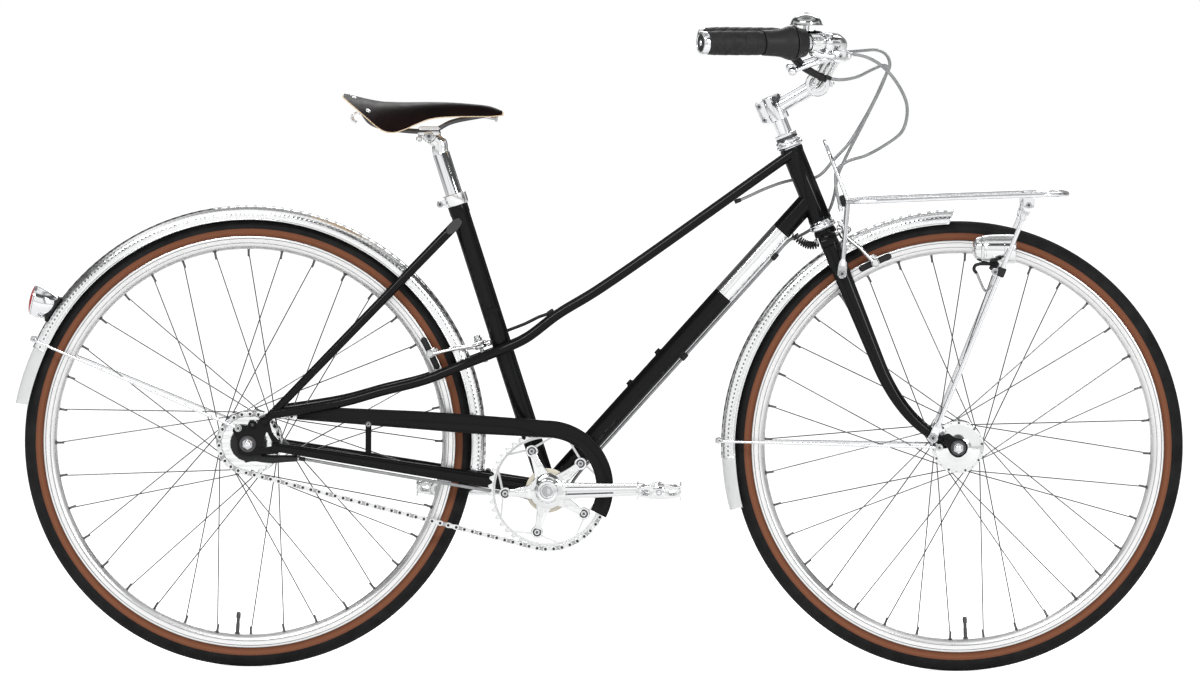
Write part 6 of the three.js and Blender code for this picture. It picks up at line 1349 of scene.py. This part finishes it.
for sign in (1, -1):
    foot = on_axis(312, 0, sign * 53.5)
    top_leg = rack_point(0, sign * 56)
    d = (foot - top_leg).normalized()
    p.add(tube([top_leg, foot - d * 22], 3.4, 20), chrome)
    p.add(tube([foot - d * 23, foot - d * 17, foot - d * 10],
               lambda s: (3.4 - 1.4 * min(1, s * 1.6), 3.4 + 3.4 * min(1, s * 1.6)), 24, across=LEFT,
               ends=0.3), chrome)
    p.add(block(foot - d * 5, d, LEFT, (16, 4.4, 13.6), 1.4, 3), chrome)
    p.add(rod(foot - LEFT * 2.2, foot + LEFT * 2.2, 7.0, None, 32, 0.6), chrome)
    p.add(rod(foot + LEFT * sign * 2.2, foot + LEFT * sign * 3.4, 6.2, None, 28, 0.3), steel)
    bolt_head(p, foot + LEFT * sign * 3.2, LEFT * sign, 4.9, 4.2, steel)
    tab = rack_point((EYE_AHEAD - RACK_BACK) / RACK_LENGTH, sign * RACK_HALF) - UP * 11
    p.add(plate(rounded([(-8.8, 9), (-8.8, -8), (-4, -14.6), (4, -14.6), (8.8, -8), (8.8, 9)], 4), -1.5, 1.5,
                (), 0.7, tab, AHEAD, UP, LEFT), chrome)
    p.add(block(tab + UP * 9.4, AHEAD, LEFT, (17.6, 5.2, 5), 1.2, 2), chrome)
    bolt_head(p, V((EYE_AHEAD, sign * 93.6, EYE_HEIGHT)), LEFT * sign, 4.6, 3.2, steel)
spot = rack_point(-0.02, 0)
p.add(lathe([(0, -7), (7.2, -7), (8.6, -6), (9, -4.4), (9, 4.4), (8.6, 6), (7.2, 7), (0, 7)], spot, LEFT,
            40), pad_rubber)
p.done()

STRUT_FOOT, STRUT_TOP = on_axis(29, 34, 64.1), V((EYE_AHEAD, 86.3, EYE_HEIGHT))
for tag, sign in (("left", 1), ("right", -1)):
    foot, top_eye = (V((q.x, sign * q.y, q.z)) for q in (STRUT_FOOT, STRUT_TOP))
    d = (top_eye - foot).normalized()
    p = Piece("rack_strut_%s_dressed" % tag, "fork", "rack_strut_" + tag, slot="chrome")
    p.add(tube([foot + d * 18, top_eye - d * 24], 3.6, 24), chrome)
    for end, way in ((foot, 1), (top_eye, -1)):
        p.add(tube([end + d * way * 26, end + d * way * 20, end + d * way * 14],
                   lambda s: (3.6 - 1.8 * min(1, s * 1.7), 3.6 + 2.6 * min(1, s * 1.7)), 24, across=LEFT,
                   ends=0.3), chrome)
        p.add(block(end + d * way * 8, d, LEFT, (18, 3.6, 12.4), 1.3, 3), chrome)
        p.add(rod(end - LEFT * 1.9, end + LEFT * 1.9, 6.6, None, 32, 0.6), chrome)
    p.add(rod(foot + LEFT * sign * 1.9, foot + LEFT * sign * 3.4, 7.6, None, 32, 0.5), chrome)
    bolt_head(p, foot + LEFT * sign * 3.3, LEFT * sign, 5.2, 3.2, steel)
    p.done()

lamp_at = V((600, -47, 646))
p = Piece("headlamp_dressed", "fork", "headlamp", slot="polished_alloy")
body_line = [(0, -33.2), (5, -33), (10, -31.8), (14.6, -29.6), (17.4, -26), (18.6, -22), (18.9, -19.4),
             (19.6, -19.0), (20.4, -18.2), (20.5, -15.8), (19.9, -15.4), (20.8, -14.8), (21.2, -12.6),
             (20.6, -12.2), (21.3, -11.6), (21.7, -9), (22.1, -2), (22.4, 8), (22.5, 15.4), (22.1, 15.8),
             (22.5, 16.3), (22.5, 30.6), (22.0, 32.2), (21.0, 33.0), (20.2, 32.6), (19.8, 31.0)]
p.add(lathe(body_line, lamp_at, AHEAD, 80), alloy)
p.add(lathe([(19.9, 31.2), (18.0, 32.2), (12, 33.6), (6, 34.4), (0, 34.6)], lamp_at, AHEAD, 64), clear_lens)
p.add(lathe([(19.6, 30.8), (16, 22), (10, 14), (5, 11), (0, 10.4)], lamp_at, AHEAD, 64), chrome)
p.add(lathe([(3.2, 10.4), (3.2, 18), (2.4, 20.4), (0, 21)], lamp_at, AHEAD, 20), cream)
share = (lamp_at.z - 22.5 * 1.5 - STRUT_FOOT.z) / (STRUT_TOP.z - STRUT_FOOT.z)
right = lambda q: V((q.x, -q.y, q.z))
on_strut = right(STRUT_FOOT) + (right(STRUT_TOP) - right(STRUT_FOOT)) * share
strut_way = (right(STRUT_TOP) - right(STRUT_FOOT)).normalized()
p.add(block(lamp_at + V((-8, 0, -22.4)), AHEAD, LEFT, (32, 15, 5), 1.8, 3), plastic)
p.add(tube(smooth([lamp_at + V((-22, 0, -23)), lamp_at + V((-28, 0, -25)), lamp_at + V((-30, 0, -31)),
                   lamp_at + V((-26, 0, -37))], 6),
           lambda s: (6.0 - 1.5 * s, 2.6), 20, across=LEFT, ends=0.8), plastic)
p.add(tube(smooth([lamp_at + V((-26, -1, -36)), lamp_at + V((-21, -6, -48)), lamp_at + V((-13, -13, -63)),
                   on_strut - strut_way * 22 - AHEAD * 6.6], 8), 2.0, 14), housing)
p.add(tube(smooth([lamp_at + V((2, 0, -24)), lamp_at + V((-1, -12, -29)), on_strut + LEFT * 8 - AHEAD * 1.5],
                  6), lambda s: (3.0, 6.5), 20, across=UP, ends=0.8), plastic)
p.add(rod(on_strut - strut_way * 7, on_strut + strut_way * 7, 6.6, None, 32, 1.0), plastic)
p.add(rod(on_strut - AHEAD * 9 - LEFT * 4, on_strut - AHEAD * 9 + LEFT * 4, 6.2, None, 28, 0.8), alloy)
bolt_head(p, on_strut - AHEAD * 9 - LEFT * 4, -LEFT, 4.6, 2.6, steel)
p.done()

# Axles with their nuts, the cable unit and the sprocket

def axle_nut(p, axle, side, sign, washer):
    base = V((axle.x, sign * side, axle.z))
    p.add(lathe([(5.4, 0), (washer - 0.4, 0), (washer, 0.4), (washer, 1.3), (washer - 0.4, 1.7), (5.4, 1.7)],
                base, LEFT * sign, 40), dark_steel)
    p.add(lathe([(8.4, 0), (9.2, 0.4), (9.2, 1.8), (8.4, 2.4), (5.4, 2.4)], base + LEFT * sign * 1.5,
                LEFT * sign, 36), dark_steel)
    p.add(hexagon(base + LEFT * sign * 3, LEFT * sign, 8.4, 6.0, 0.9), chrome)
    p.add(dome(base + LEFT * sign * 8.8, LEFT * sign, 5.6, 3.4, 32, 0.6), chrome)


p = Piece("front_axle_dressed", "fork", "front_axle", slot="steel")
p.add(cross(FRONT, 5, -60, 60, 24), steel)
for sign in (1, -1):
    p.add(lathe([(5.2, 45.3), (8.4, 45.3), (8.8, 45.8), (8.8, 49), (8.2, 49.7), (5.2, 49.7)], FRONT,
                LEFT * sign, 32), steel)
    axle_nut(p, FRONT, 54.2, sign, 11.5)
p.done()

p = Piece("rear_axle_dressed", "frame", "rear_axle", slot="black_plastic")
p.add(cross(REAR, 5, -76, 76, 24), steel)
for sign in (1, -1):
    axle_nut(p, REAR, 70.2, sign, 12.5)
p.add(lathe([(5.2, 38.3), (11, 38.3), (11.5, 39), (11.5, 62), (10, 64.7), (5.2, 64.7)], REAR, LEFT, 40),
      steel)
unit = [(17.4, -51.6), (25.0, -51.6), (26.6, -52.4), (27, -53.6), (27, -57.6), (25.6, -58.4), (25.6, -59.2),
        (26.6, -59.8), (26.6, -62.8), (25.4, -64.2), (16, -64.7), (5.2, -64.7)]
p.add(lathe(unit, REAR, LEFT, 80), plastic)
for k in range(15):
    deg = 360 / 15 * k
    mid = around(REAR, 24.2, deg, -64.2)
    p.add(block(mid, turn(deg), LEFT, (5.4, 1.6, 3.2), 0.5), plastic)
p.add(lathe([(11, -64.9), (14, -64.9), (14.6, -65.3), (14.6, -64.0)], REAR, LEFT, 40), dark_steel)
arm_a, arm_b = V((REAR.x + 8, -58.2, REAR.z - 20)), V((REAR.x + 76, -57, REAR.z - 22))
p.add(tube(smooth([V((REAR.x - 6, -58.4, REAR.z - 22)), arm_a, V((REAR.x + 34, -57.6, REAR.z - 23.5)),
                   V((REAR.x + 58, -57, REAR.z - 22.6)), arm_b], 8),
           lambda s: (5.0, 7.6 - 2.6 * s), 24, across=LEFT, ends=1.4), plastic)
p.add(rod(arm_b - AHEAD * 16, arm_b + AHEAD * 2, 4.6, 4.0, 28, 0.6), steel)
p.done()


def toothed(centre, count, low, high, phase=0.0):
    """Outline of a toothed wheel, with rounded tooth tips and round seats for the rollers."""
    points = []
    for i in range(count):
        for s, r in ((-0.5, low), (-0.36, low + (high - low) * 0.12), (-0.24, low + (high - low) * 0.6),
                     (-0.12, high - 0.5), (0, high), (0.12, high - 0.5), (0.24, low + (high - low) * 0.6),
                     (0.36, low + (high - low) * 0.12)):
            q = around(centre, r, (i + 0.5 + s + phase) * 360 / count)
            points.append((q.x, q.z))
    return points


p = Piece("sprocket_dressed", "sprocket", "sprocket", slot="steel")
holes = [disc(REAR.x, REAR.z, 16.2, 40)]
p.add(plate(toothed(REAR, COG_TEETH, 40.9, 46.4), -46.1, -43.9, holes, 0.4), silver_band)
p.add(lathe([(5.6, -51), (15.6, -51), (17, -50.2), (17, -47.2), (21, -46.4), (21, -43.6), (17, -42.8),
             (17, -38.4), (5.6, -38.4), (5.6, -51)], REAR, LEFT, 56), steel)
for k in range(3):
    spot = around(REAR, 18.6, 30 + 120 * k)
    p.add(block(V((spot.x, -46.8, spot.z)), turn(30 + 120 * k), LEFT, (4, 1.6, 6), 0.5), dark_steel)
p.done()

# Cranks, chainring and pedals

CRANK, REST = 170, 1.6


def arm_section(s):
    """Half width, half thickness and side place of a crank arm at a share of its length."""
    return 13.2 - 3.4 * min(1, s * 1.35), 6.4 - 0.9 * s, 62 + 7 * s


def fluted_arm(p, sign, angle, look):
    """A crank arm that tapers to the pedal eye, with a long hollow in its outer face and painted shade as
    dark lines along that hollow.
    """
    way, aside = turn(angle), turn(angle + 90)
    loops = []
    for i in range(61):
        s = i / 60
        at = CRANK * s
        half, thick, y = arm_section(s)
        half += 1.2 * max(0, (s - 0.9) / 0.1) ** 2
        hollow = max(0.0, min(1, (at - 25) / 7, (142 - at) / 7))
        hollow = hollow * hollow * (3 - 2 * hollow)
        face = []
        for u, v in ((-0.62, 1), (-0.5, 1), (-0.4, 1 - 0.36 * hollow), (0, 1 - 0.42 * hollow),
                     (0.4, 1 - 0.36 * hollow), (0.5, 1), (0.62, 1), (0.82, 0.93), (0.95, 0.74), (1, 0.42),
                     (1, -0.5), (0.93, -0.82), (0.74, -1), (-0.74, -1), (-0.93, -0.82), (-1, -0.5),
                     (-1, 0.42), (-0.95, 0.74), (-0.82, 0.93)):
            face.append(BB + way * at + aside * half * u + LEFT * sign * (y + thick * v))
        loops.append(face)
    p.add(loft(loops), look)
    # Two thin dark tubes along the hollow are painted shade lines
    for u, first, last in ((0.46, 26, 141), (-0.36, 29, 100)):
        painted_shade_line = []
        for k in range(24):
            at = first + (last - first) * k / 23
            s = at / CRANK
            half, thick, y = arm_section(s)
            painted_shade_line.append(BB + way * at + aside * half * u
                          + LEFT * sign * (y + thick * (0.86 if u > 0 else 0.66)))
        p.add(tube(painted_shade_line, 0.85, 8), dark_steel)
    tip = BB + way * CRANK
    eye = [(4.6, 62.8), (10.6, 62.8), (11.8, 63.8), (12.2, 66), (12.2, 72), (11.6, 74), (10.4, 75),
           (6.8, 75), (6.4, 73.4), (4.6, 73.4)]
    p.add(lathe([(r, h) for r, h in eye], tip, LEFT * sign, 48), look)
    boss = [(8.4, 50), (15.8, 50), (17, 51), (17.4, 56), (17.2, 66), (16.4, 69), (15.2, 70.2), (11.4, 70.4),
            (10.8, 69.4), (10.4, 66), (0, 66)]
    p.add(lathe(boss, BB, LEFT * sign, 64), look)
    bolt = [(7.6, 66), (8.0, 66.6), (8.0, 69), (7.4, 70), (4.8, 70.2), (4.4, 68.2), (0, 68.2)]
    p.add(lathe(bolt, BB, LEFT * sign, 36), steel)
    p.add(lathe([(4.5, 62), (6.2, 62), (6.4, 63.2), (6.4, 82)], tip, LEFT * sign, 6), steel)
    p.add(cross(tip, 4.5, sign * 75, sign * 165, 24), steel)


p = Piece("crank_right_dressed", "crank", "crank_right", slot="polished_alloy")
ring_holes = [disc(BB.x, BB.z, 80.2, 120)]
p.add(plate(toothed(BB, RING_TEETH, 85.2, 91.0), -46.5, -43.5, ring_holes, 0.45), alloy)
p.add(lathe([(80.0, -47.2), (82.6, -47.2), (83.0, -46.8), (83.0, -43.4), (82.6, -43.0), (80.0, -43.0),
             (80.0, -47.2)], BB, LEFT, 160), alloy)
for i in range(5):
    deg = 40 + 72 * i
    way, aside = turn(deg), turn(deg + 90)
    at = BB + way * 65
    star = rounded([(20, -13), (36, -8.2), (52, -5.8), (61, -5.6), (61, 5.6), (52, 5.8), (36, 8.2),
                    (20, 13)], 6)
    p.add(plate(star, 47.2, 53.4, (), 1.6, BB, way, aside, -LEFT), alloy)
    p.add(plate(rounded([(30, -3.0), (50, -2.0), (50, 2.0), (30, 3.0)], 2), 53.3, 53.9, (), 0.25, BB, way,
                aside, -LEFT), alloy)
    pad = [(0, 44.0), (9.0, 44.0), (9.5, 44.6), (9.5, 51.8), (8.8, 52.8), (6.6, 53.0), (6.2, 52.4),
           (6.2, 51.6), (0, 51.6)]
    p.add(lathe(pad, at, -LEFT, 40), alloy)
    # A dark ring in the gap round each bolt is painted shade
    p.add(lathe([(6.3, 51.5), (6.3, 53.1), (4.3, 53.2), (4.3, 51.5)], at, -LEFT, 40), dark_steel)
    p.add(lathe([(4.3, 51.4), (4.4, 51.9), (4.4, 53.4), (4.0, 54.0), (2.6, 54.0), (2.2, 52.8), (0, 52.8)],
                at, -LEFT, 32), chrome)
    # A dark hexagon in each bolt's socket is painted shade
    p.add(lathe([(2.1, 52.7), (2.1, 53.0), (0, 53.0)], at, -LEFT, 6), dark_steel)
    for sign in (1, -1):
        a, b = at + LEFT * -45.2 + way * 3, V((BB.x, -45.2, BB.z)) + turn(deg + sign * 27) * 82.4
        mid = (a + b) * 0.5
        d = (b - a).normalized()
        p.add(block(mid, d, LEFT, ((b - a).length, 3.0, 3.4), 0.8, 2), alloy)
p.add(lathe([(16.6, 46.8), (26, 46.8), (27.4, 47.6), (27.4, 52.2), (26.4, 53.6), (22, 55), (18.4, 57.4),
             (17.2, 60)], BB, -LEFT, 72), alloy)
fluted_arm(p, -1, REST, alloy)
p.done(sharp=34)

p = Piece("crank_left_dressed", "crank", "crank_left", slot="polished_alloy")
p.add(cross(BB, 8.2, -44, 52, 36), steel)
fluted_arm(p, 1, REST + 180, alloy)
p.done(sharp=34)

for tag, sign, angle in (("left", 1, REST + 180), ("right", -1, REST)):
    tip = BB + turn(angle) * CRANK
    p = Piece("pedal_%s_dressed" % tag, "pedal_" + tag, "pedal_" + tag, slot="polished_alloy")
    y = lambda a: LEFT * sign * a
    core = [(4.8, 81), (9.4, 81), (10, 81.8), (10.2, 88), (8.8, 92), (8.2, 104), (8.0, 140), (8.8, 150),
            (10.4, 156), (10.8, 162), (10.2, 167), (8.0, 168.6), (0, 168.8)]
    p.add(lathe(core, tip, LEFT * sign, 48), alloy)
    for forward in (-1, 1):
        rail = rounded([(82.5, -12.4), (104, -9.2), (125, -8.2), (146, -9.2), (167.5, -12.4), (167.5, 12.4),
                        (146, 9.2), (125, 8.2), (104, 9.2), (82.5, 12.4)], 6)
        slots = [rounded([(95, -3.6), (113, -3.2), (113, 3.2), (95, 3.6)], 2.6),
                 rounded([(137, -3.2), (155, -3.6), (155, 3.6), (137, 3.2)], 2.6)]
        p.add(plate(rail, -1.3, 1.3, slots, 0.6, tip + AHEAD * forward * 32.4, LEFT * sign, UP, AHEAD), alloy)
        for k in range(9):
            at = 87 + 9.5 * k
            edge = 12.0 - 3.8 * math.sin(math.pi * (at - 82.5) / 85)
            for up_down in (1, -1):
                p.add(block(tip + AHEAD * forward * 32.4 + y(at) + UP * up_down * edge, AHEAD, LEFT,
                            (2.6, 2.4, 2.2), 0.5, 1), alloy)
    for at, wide in ((86, 4.4), (163, 5.0)):
        plank = rounded([(-33, -6.5), (-12, -10.2), (12, -10.2), (33, -6.5), (33, 6.5), (12, 10.2),
                         (-12, 10.2), (-33, 6.5)], 5)
        gaps = [rounded([(-27, -3.2), (-14.5, -4.4), (-14.5, 4.4), (-27, 3.2)], 2.4),
                rounded([(14.5, -4.4), (27, -3.2), (27, 3.2), (14.5, 4.4)], 2.4)]
        p.add(plate(plank, at - wide / 2, at + wide / 2, gaps, 1.0, tip, AHEAD, UP, LEFT * sign), alloy)
    for forward in (-1, 1):
        for up_down in (1, -1):
            bar = [tip + y(84) + V((forward * 22, 0, up_down * 6.6)),
                   tip + y(125) + V((forward * 20, 0, up_down * 5.8)),
                   tip + y(165) + V((forward * 22, 0, up_down * 6.6))]
            p.add(tube(smooth(bar, 6), lambda s: (6.5, 1.8), 16, across=AHEAD, ends=0.5), alloy)
    bolt_head(p, tip + y(167.6), LEFT * sign, 5.0, 1.6, steel)
    p.done(sharp=36)

# Chain: its links lie along the line that runs round both toothed wheels

RING, COG = (CHAIN_PITCH / (2 * math.sin(math.pi / teeth)) for teeth in (RING_TEETH, COG_TEETH))


def chain_line():
    to_bb = BB - REAR
    base = math.degrees(math.atan2(to_bb.z, to_bb.x))
    spread = math.degrees(math.acos((COG - RING) / to_bb.length))
    line = [around(REAR, COG, base + spread + (360 - 2 * spread) * k / 60, CHAIN_SIDE) for k in range(61)]
    line += [around(BB, RING, base - spread + 2 * spread * k / 120, CHAIN_SIDE) for k in range(121)]
    return line


line = chain_line()
lengths = [0.0]
for k in range(len(line)):
    lengths.append(lengths[-1] + (line[(k + 1) % len(line)] - line[k]).length)
count = 2 * round(lengths[-1] / CHAIN_PITCH / 2)
pitch = lengths[-1] / count


def along_chain(s):
    s %= lengths[-1]
    k = max(i for i in range(len(line)) if lengths[i] <= s)
    share = (s - lengths[k]) / (lengths[k + 1] - lengths[k])
    return line[k] + (line[(k + 1) % len(line)] - line[k]) * share


# Plates of the links: end radius, half waist, thickness, and half the gap in outer and inner links
LINK_RADIUS, LINK_WAIST, LINK_WALL, OUTER_GAP, INNER_GAP = 4.15, 2.9, 0.95, 2.75, 1.65

p = Piece("chain_dressed", "frame", "chain", slot="steel")
chain_dark = worn(finish("chain_steel", (0.42, 0.42, 0.425), 1.0, 0.34), 0.26, 0.46, 260)
pin_dark = worn(finish("chain_pin", (0.04, 0.04, 0.042), 0.6, 0.5), 0.44, 0.6, 300)
chain_bright = worn(finish("chain_bright", (0.82, 0.825, 0.83), 1.0, 0.28), 0.22, 0.36, 260)
for i in range(count):
    a, b = along_chain(i * pitch), along_chain((i + 1) * pitch)
    d = (b - a).normalized()
    e = LEFT.cross(d)
    outer = i % 2 == 0
    half = (b - a).length / 2
    outline = []
    for c, start_a in ((half, -90), (-half, 90)):
        for k in range(9):
            t = math.radians(start_a + 180 * k / 8)
            outline.append((c + LINK_RADIUS * math.cos(t), LINK_RADIUS * math.sin(t)))
        outline.append((0, LINK_WAIST if c > 0 else -LINK_WAIST))
    for sign in (1, -1):
        y0 = OUTER_GAP if outer else INNER_GAP
        lo, hi = sorted((sign * y0, sign * (y0 + LINK_WALL)))
        p.add(plate(outline, lo, hi, (), 0.25, (a + b) * 0.5, d, e, LEFT),
              chain_bright if outer else chain_dark)
    p.add(rod(a - LEFT * 1.6, a + LEFT * 1.6, 3.8, None, 16, 0.2), chain_dark)
    p.add(rod(a - LEFT * 4.2, a + LEFT * 4.2, 2.2, None, 14, 0.3), pin_dark)
p.done(sharp=30)

# Chain guard

GUARD, GUARD_OUTER, GUARD_INNER, GUARD_SWEEP = BB + V((-1.5, 0, 6)), 101, 76, 117


def guard_place(back, rise):
    return V((BB.x - back, 0, BB.z + rise))


def guard_edge(inset):
    edge = [around(GUARD, GUARD_OUTER - inset, -27 + GUARD_SWEEP * k / 60) for k in range(61)]
    return edge + [guard_place(114, 115 - inset), guard_place(195, 120 - inset),
                   guard_place(319, 124.5 - inset)]


def guard_foot(lift):
    return ([guard_place(382 - lift, 107 + lift), guard_place(114, 87 + lift)]
            + [around(GUARD, GUARD_INNER + lift, 90 - GUARD_SWEEP * k / 60) for k in range(61)])


p = Piece("chain_guard_dressed", "frame", "chain_guard", slot="black_paint")
outline = [(q.x, q.z) for q in guard_edge(0) + [guard_place(382, 112)] + guard_foot(0)]
p.add(plate(outline, -56.3, -54.1, (), 0.9), paint)
top_line = [V((q.x, -55.4, q.z)) for q in guard_edge(1.4) + [guard_place(380, 111.4)]]
bottom_line = [V((q.x, -55.4, q.z)) for q in guard_foot(1.3)]
for path_line in (top_line, bottom_line):
    fine = []
    for a, b in zip(path_line, path_line[1:]):
        steps = max(1, int((b - a).length / 12))
        fine += [a + (b - a) * k / steps for k in range(steps)]
    p.add(tube(fine + [path_line[-1]], 1.9, 14), paint)
lip = [V((q.x, 0, q.z)) for q in guard_edge(0)]
loops = []
for k, q in enumerate(lip):
    ahead_q = lip[min(k + 1, len(lip) - 1)] - lip[max(k - 1, 0)]
    n = LEFT.cross(ahead_q).normalized()
    n = n if n.dot(q - GUARD) < 0 or q.x < -150 and n.z < 0 else -n
    loops.append([q + LEFT * -55.2, q + LEFT * -40.4 + n * 0.4, q + LEFT * -39.2 + n * 1.2,
                  q + LEFT * -40.2 + n * 2.0, q + LEFT * -55.2 + n * 2.0])
p.add(loft(loops), paint)
strap = guard_place(273, 81)
p.add(block(strap - LEFT * 52.8, UP, LEFT, (50, 2.6, 9), 0.8, 2), paint)
p.add(rod(strap + V((0, -56, 19)), strap + V((0, -57.4, 19)), 5.0, None, 28, 0.4), dark_steel)
bolt_head(p, strap + V((0, -57.2, 19)), -LEFT, 3.8, 2.2, steel)
p.done(sharp=40)

# Cables and the steering spring

ROUTES = {
    "front_brake_cable": [(373, -189, 940.5), (384, -183, 942), (404, -172, 937.5), (427, -155, 924),
                          (450, -131, 898), (465, -104, 866), (464, -82, 838), (457, -71, 822),
                          (439, -57, 807), (405, -40, 787), (376, -30, 777), (361, -27, 764),
                          (359, -27, 745), (362, -28, 726), (365, -29, 712), (368, -30, 702)],
    "rear_brake_cable": [(373, 189, 940.5), (386, 180, 942), (404, 160, 944), (424, 128, 945),
                         (438, 98, 937), (442, 78, 922), (434, 60, 904), (418, 45, 869), (400, 35, 836),
                         (379, 28, 803), (357, 26, 779), (338, 27, 757), (322, 27.5, 749), (300, 27, 748),
                         (280, 24, 744), (250, 19, 733), (222, 16, 720), (206, 15.2, 713.5)],
    "rear_brake_cable_end": [(-70, 20, 546.7), (-79, 20, 540.8), (-92, 19.6, 536), (-112, 19, 526),
                             (-132, 18.6, 518), (-150, 18.6, 511), (-160, 21, 507), (-166, 25, 504.5)],
    "shift_cable": [(340.5, -192.5, 908.5), (352, -188, 905), (366, -181, 904), (388, -164, 908),
                    (412, -136, 919), (429, -104, 925), (436, -76, 919), (428, -52, 894), (409, -30, 853),
                    (392, -8, 818), (374, 12, 781), (362, 24, 751), (358, 29, 725), (350, 30, 701),
                    (337, 29, 684), (322, 24, 672), (308, 14, 664), (290.5, 8, 656.5), (257.4, 8, 619.8),
                    (137.6, 8, 485.4), (0, 8, 331), (-30, 7.5, 297), (-44, 5, 276), (-52, 1, 261),
                    (-58, -2, 254), (-66, -6, 249), (-78, -11, 247), (-92, -17, 252), (-108, -24.5, 261.5),
                    (-130, -30, 267), (-180, -34.8, 275.2), (-300, -47.3, 295.4), (-400, -57.6, 312.4),
                    (-430, -58, 317.6), (-454.4, -57, 321.2)],
}
for name, route in ROUTES.items():
    p = Piece(name + "_dressed", "fork" if name == "front_brake_cable" else "frame", name,
              slot="cable_housing")
    fine = smooth(route, 10)
    p.add(tube(fine, 2.5, 16), plastic if name == "rear_brake_cable_end" else housing)
    for end, inward in ((fine[0], fine[4]), (fine[-1], fine[-5])):
        d = (inward - end).normalized()
        p.add(lathe([(2.4, -0.4), (3.1, 0), (3.3, 1), (3.3, 9), (3.0, 9.6), (2.6, 9.8)], end, d, 24),
              chrome if "brake" in name and end.x > 300 else plastic)
    if name == "rear_brake_cable":
        p.done(blend=("fork", "frame", V((352, 26, 772)) * MM, V((236, 18, 724)) * MM))
    elif name == "shift_cable":
        p.done(blend=("fork", "frame", V((356, 29, 718)) * MM, V((296, 9, 659)) * MM))
    else:
        p.done()
start = BB + DOWN * 539 + BELOW * 15.8
end = on_axis(366, -15.3)
c1, c2 = start + BELOW * 22, end - FORE * 18
turns, per_turn = 12, 24
fine = []
for k in range(turns * per_turn + 1):
    s = k / (turns * per_turn)
    core = start * (1 - s) ** 3 + c1 * 3 * s * (1 - s) ** 2 + c2 * 3 * s * s * (1 - s) + end * s ** 3
    t = ((c1 - start) * 3 * (1 - s) ** 2 + (c2 - c1) * 6 * s * (1 - s) + (end - c2) * 3 * s * s).normalized()
    coils = s * turns
    ramp_in = min(1, min(coils, turns - coils) / 0.8)
    r = 5.6 * ramp_in * ramp_in * (3 - 2 * ramp_in)
    a = 2 * math.pi * coils
    fine.append(core + t.cross(LEFT).normalized() * r * math.cos(a) + LEFT * r * math.sin(a))
p = Piece("steering_spring_dressed", "frame", "steering_spring", slot="black_plastic")
p.add(tube(fine, 1.1, 10), plastic)
p.done(blend=("frame", "fork", (start + (end - start) * 0.12) * MM, (start + (end - start) * 0.88) * MM))

# Floor: seen straight on it is as white as the studio, and it keeps the shadow

bpy.context.view_layer.update()
floor_mesh = bpy.data.meshes.new("floor")
floor_mesh.from_pydata([(-30, -12, 0), (30, -12, 0), (30, 40, 0), (-30, 40, 0)], [], [(0, 1, 2, 3)])
floor = bpy.data.objects.new("floor", floor_mesh)
bpy.context.scene.collection.objects.link(floor)
ground = finish("floor", (0.9, 0.9, 0.9), 0.0, 0.9)
feed(ground, ramp(ground, noise(ground, 3, 2.0), [(0.3, 0.88), (0.7, 0.92)]), "Base Color")
ground_nodes, ground_links = nodes_of(ground)
shader = ground_nodes["Principled BSDF"].outputs[0]
glow = ground_nodes.new("ShaderNodeEmission")
glow.inputs[1].default_value = FLOOR_GLOW
both = ground_nodes.new("ShaderNodeAddShader")
ground_links.new(shader, both.inputs[0])
ground_links.new(glow.outputs[0], both.inputs[1])
floor_ray = ground_nodes.new("ShaderNodeLightPath").outputs
direct = math_node(ground, "MAXIMUM", floor_ray["Is Camera Ray"], floor_ray["Is Transmission Ray"])
ground_links.new(shader_mix(ground, direct, shader, both.outputs[0]),
                 ground_nodes["Material Output"].inputs[0])
floor_mesh.materials.append(ground)
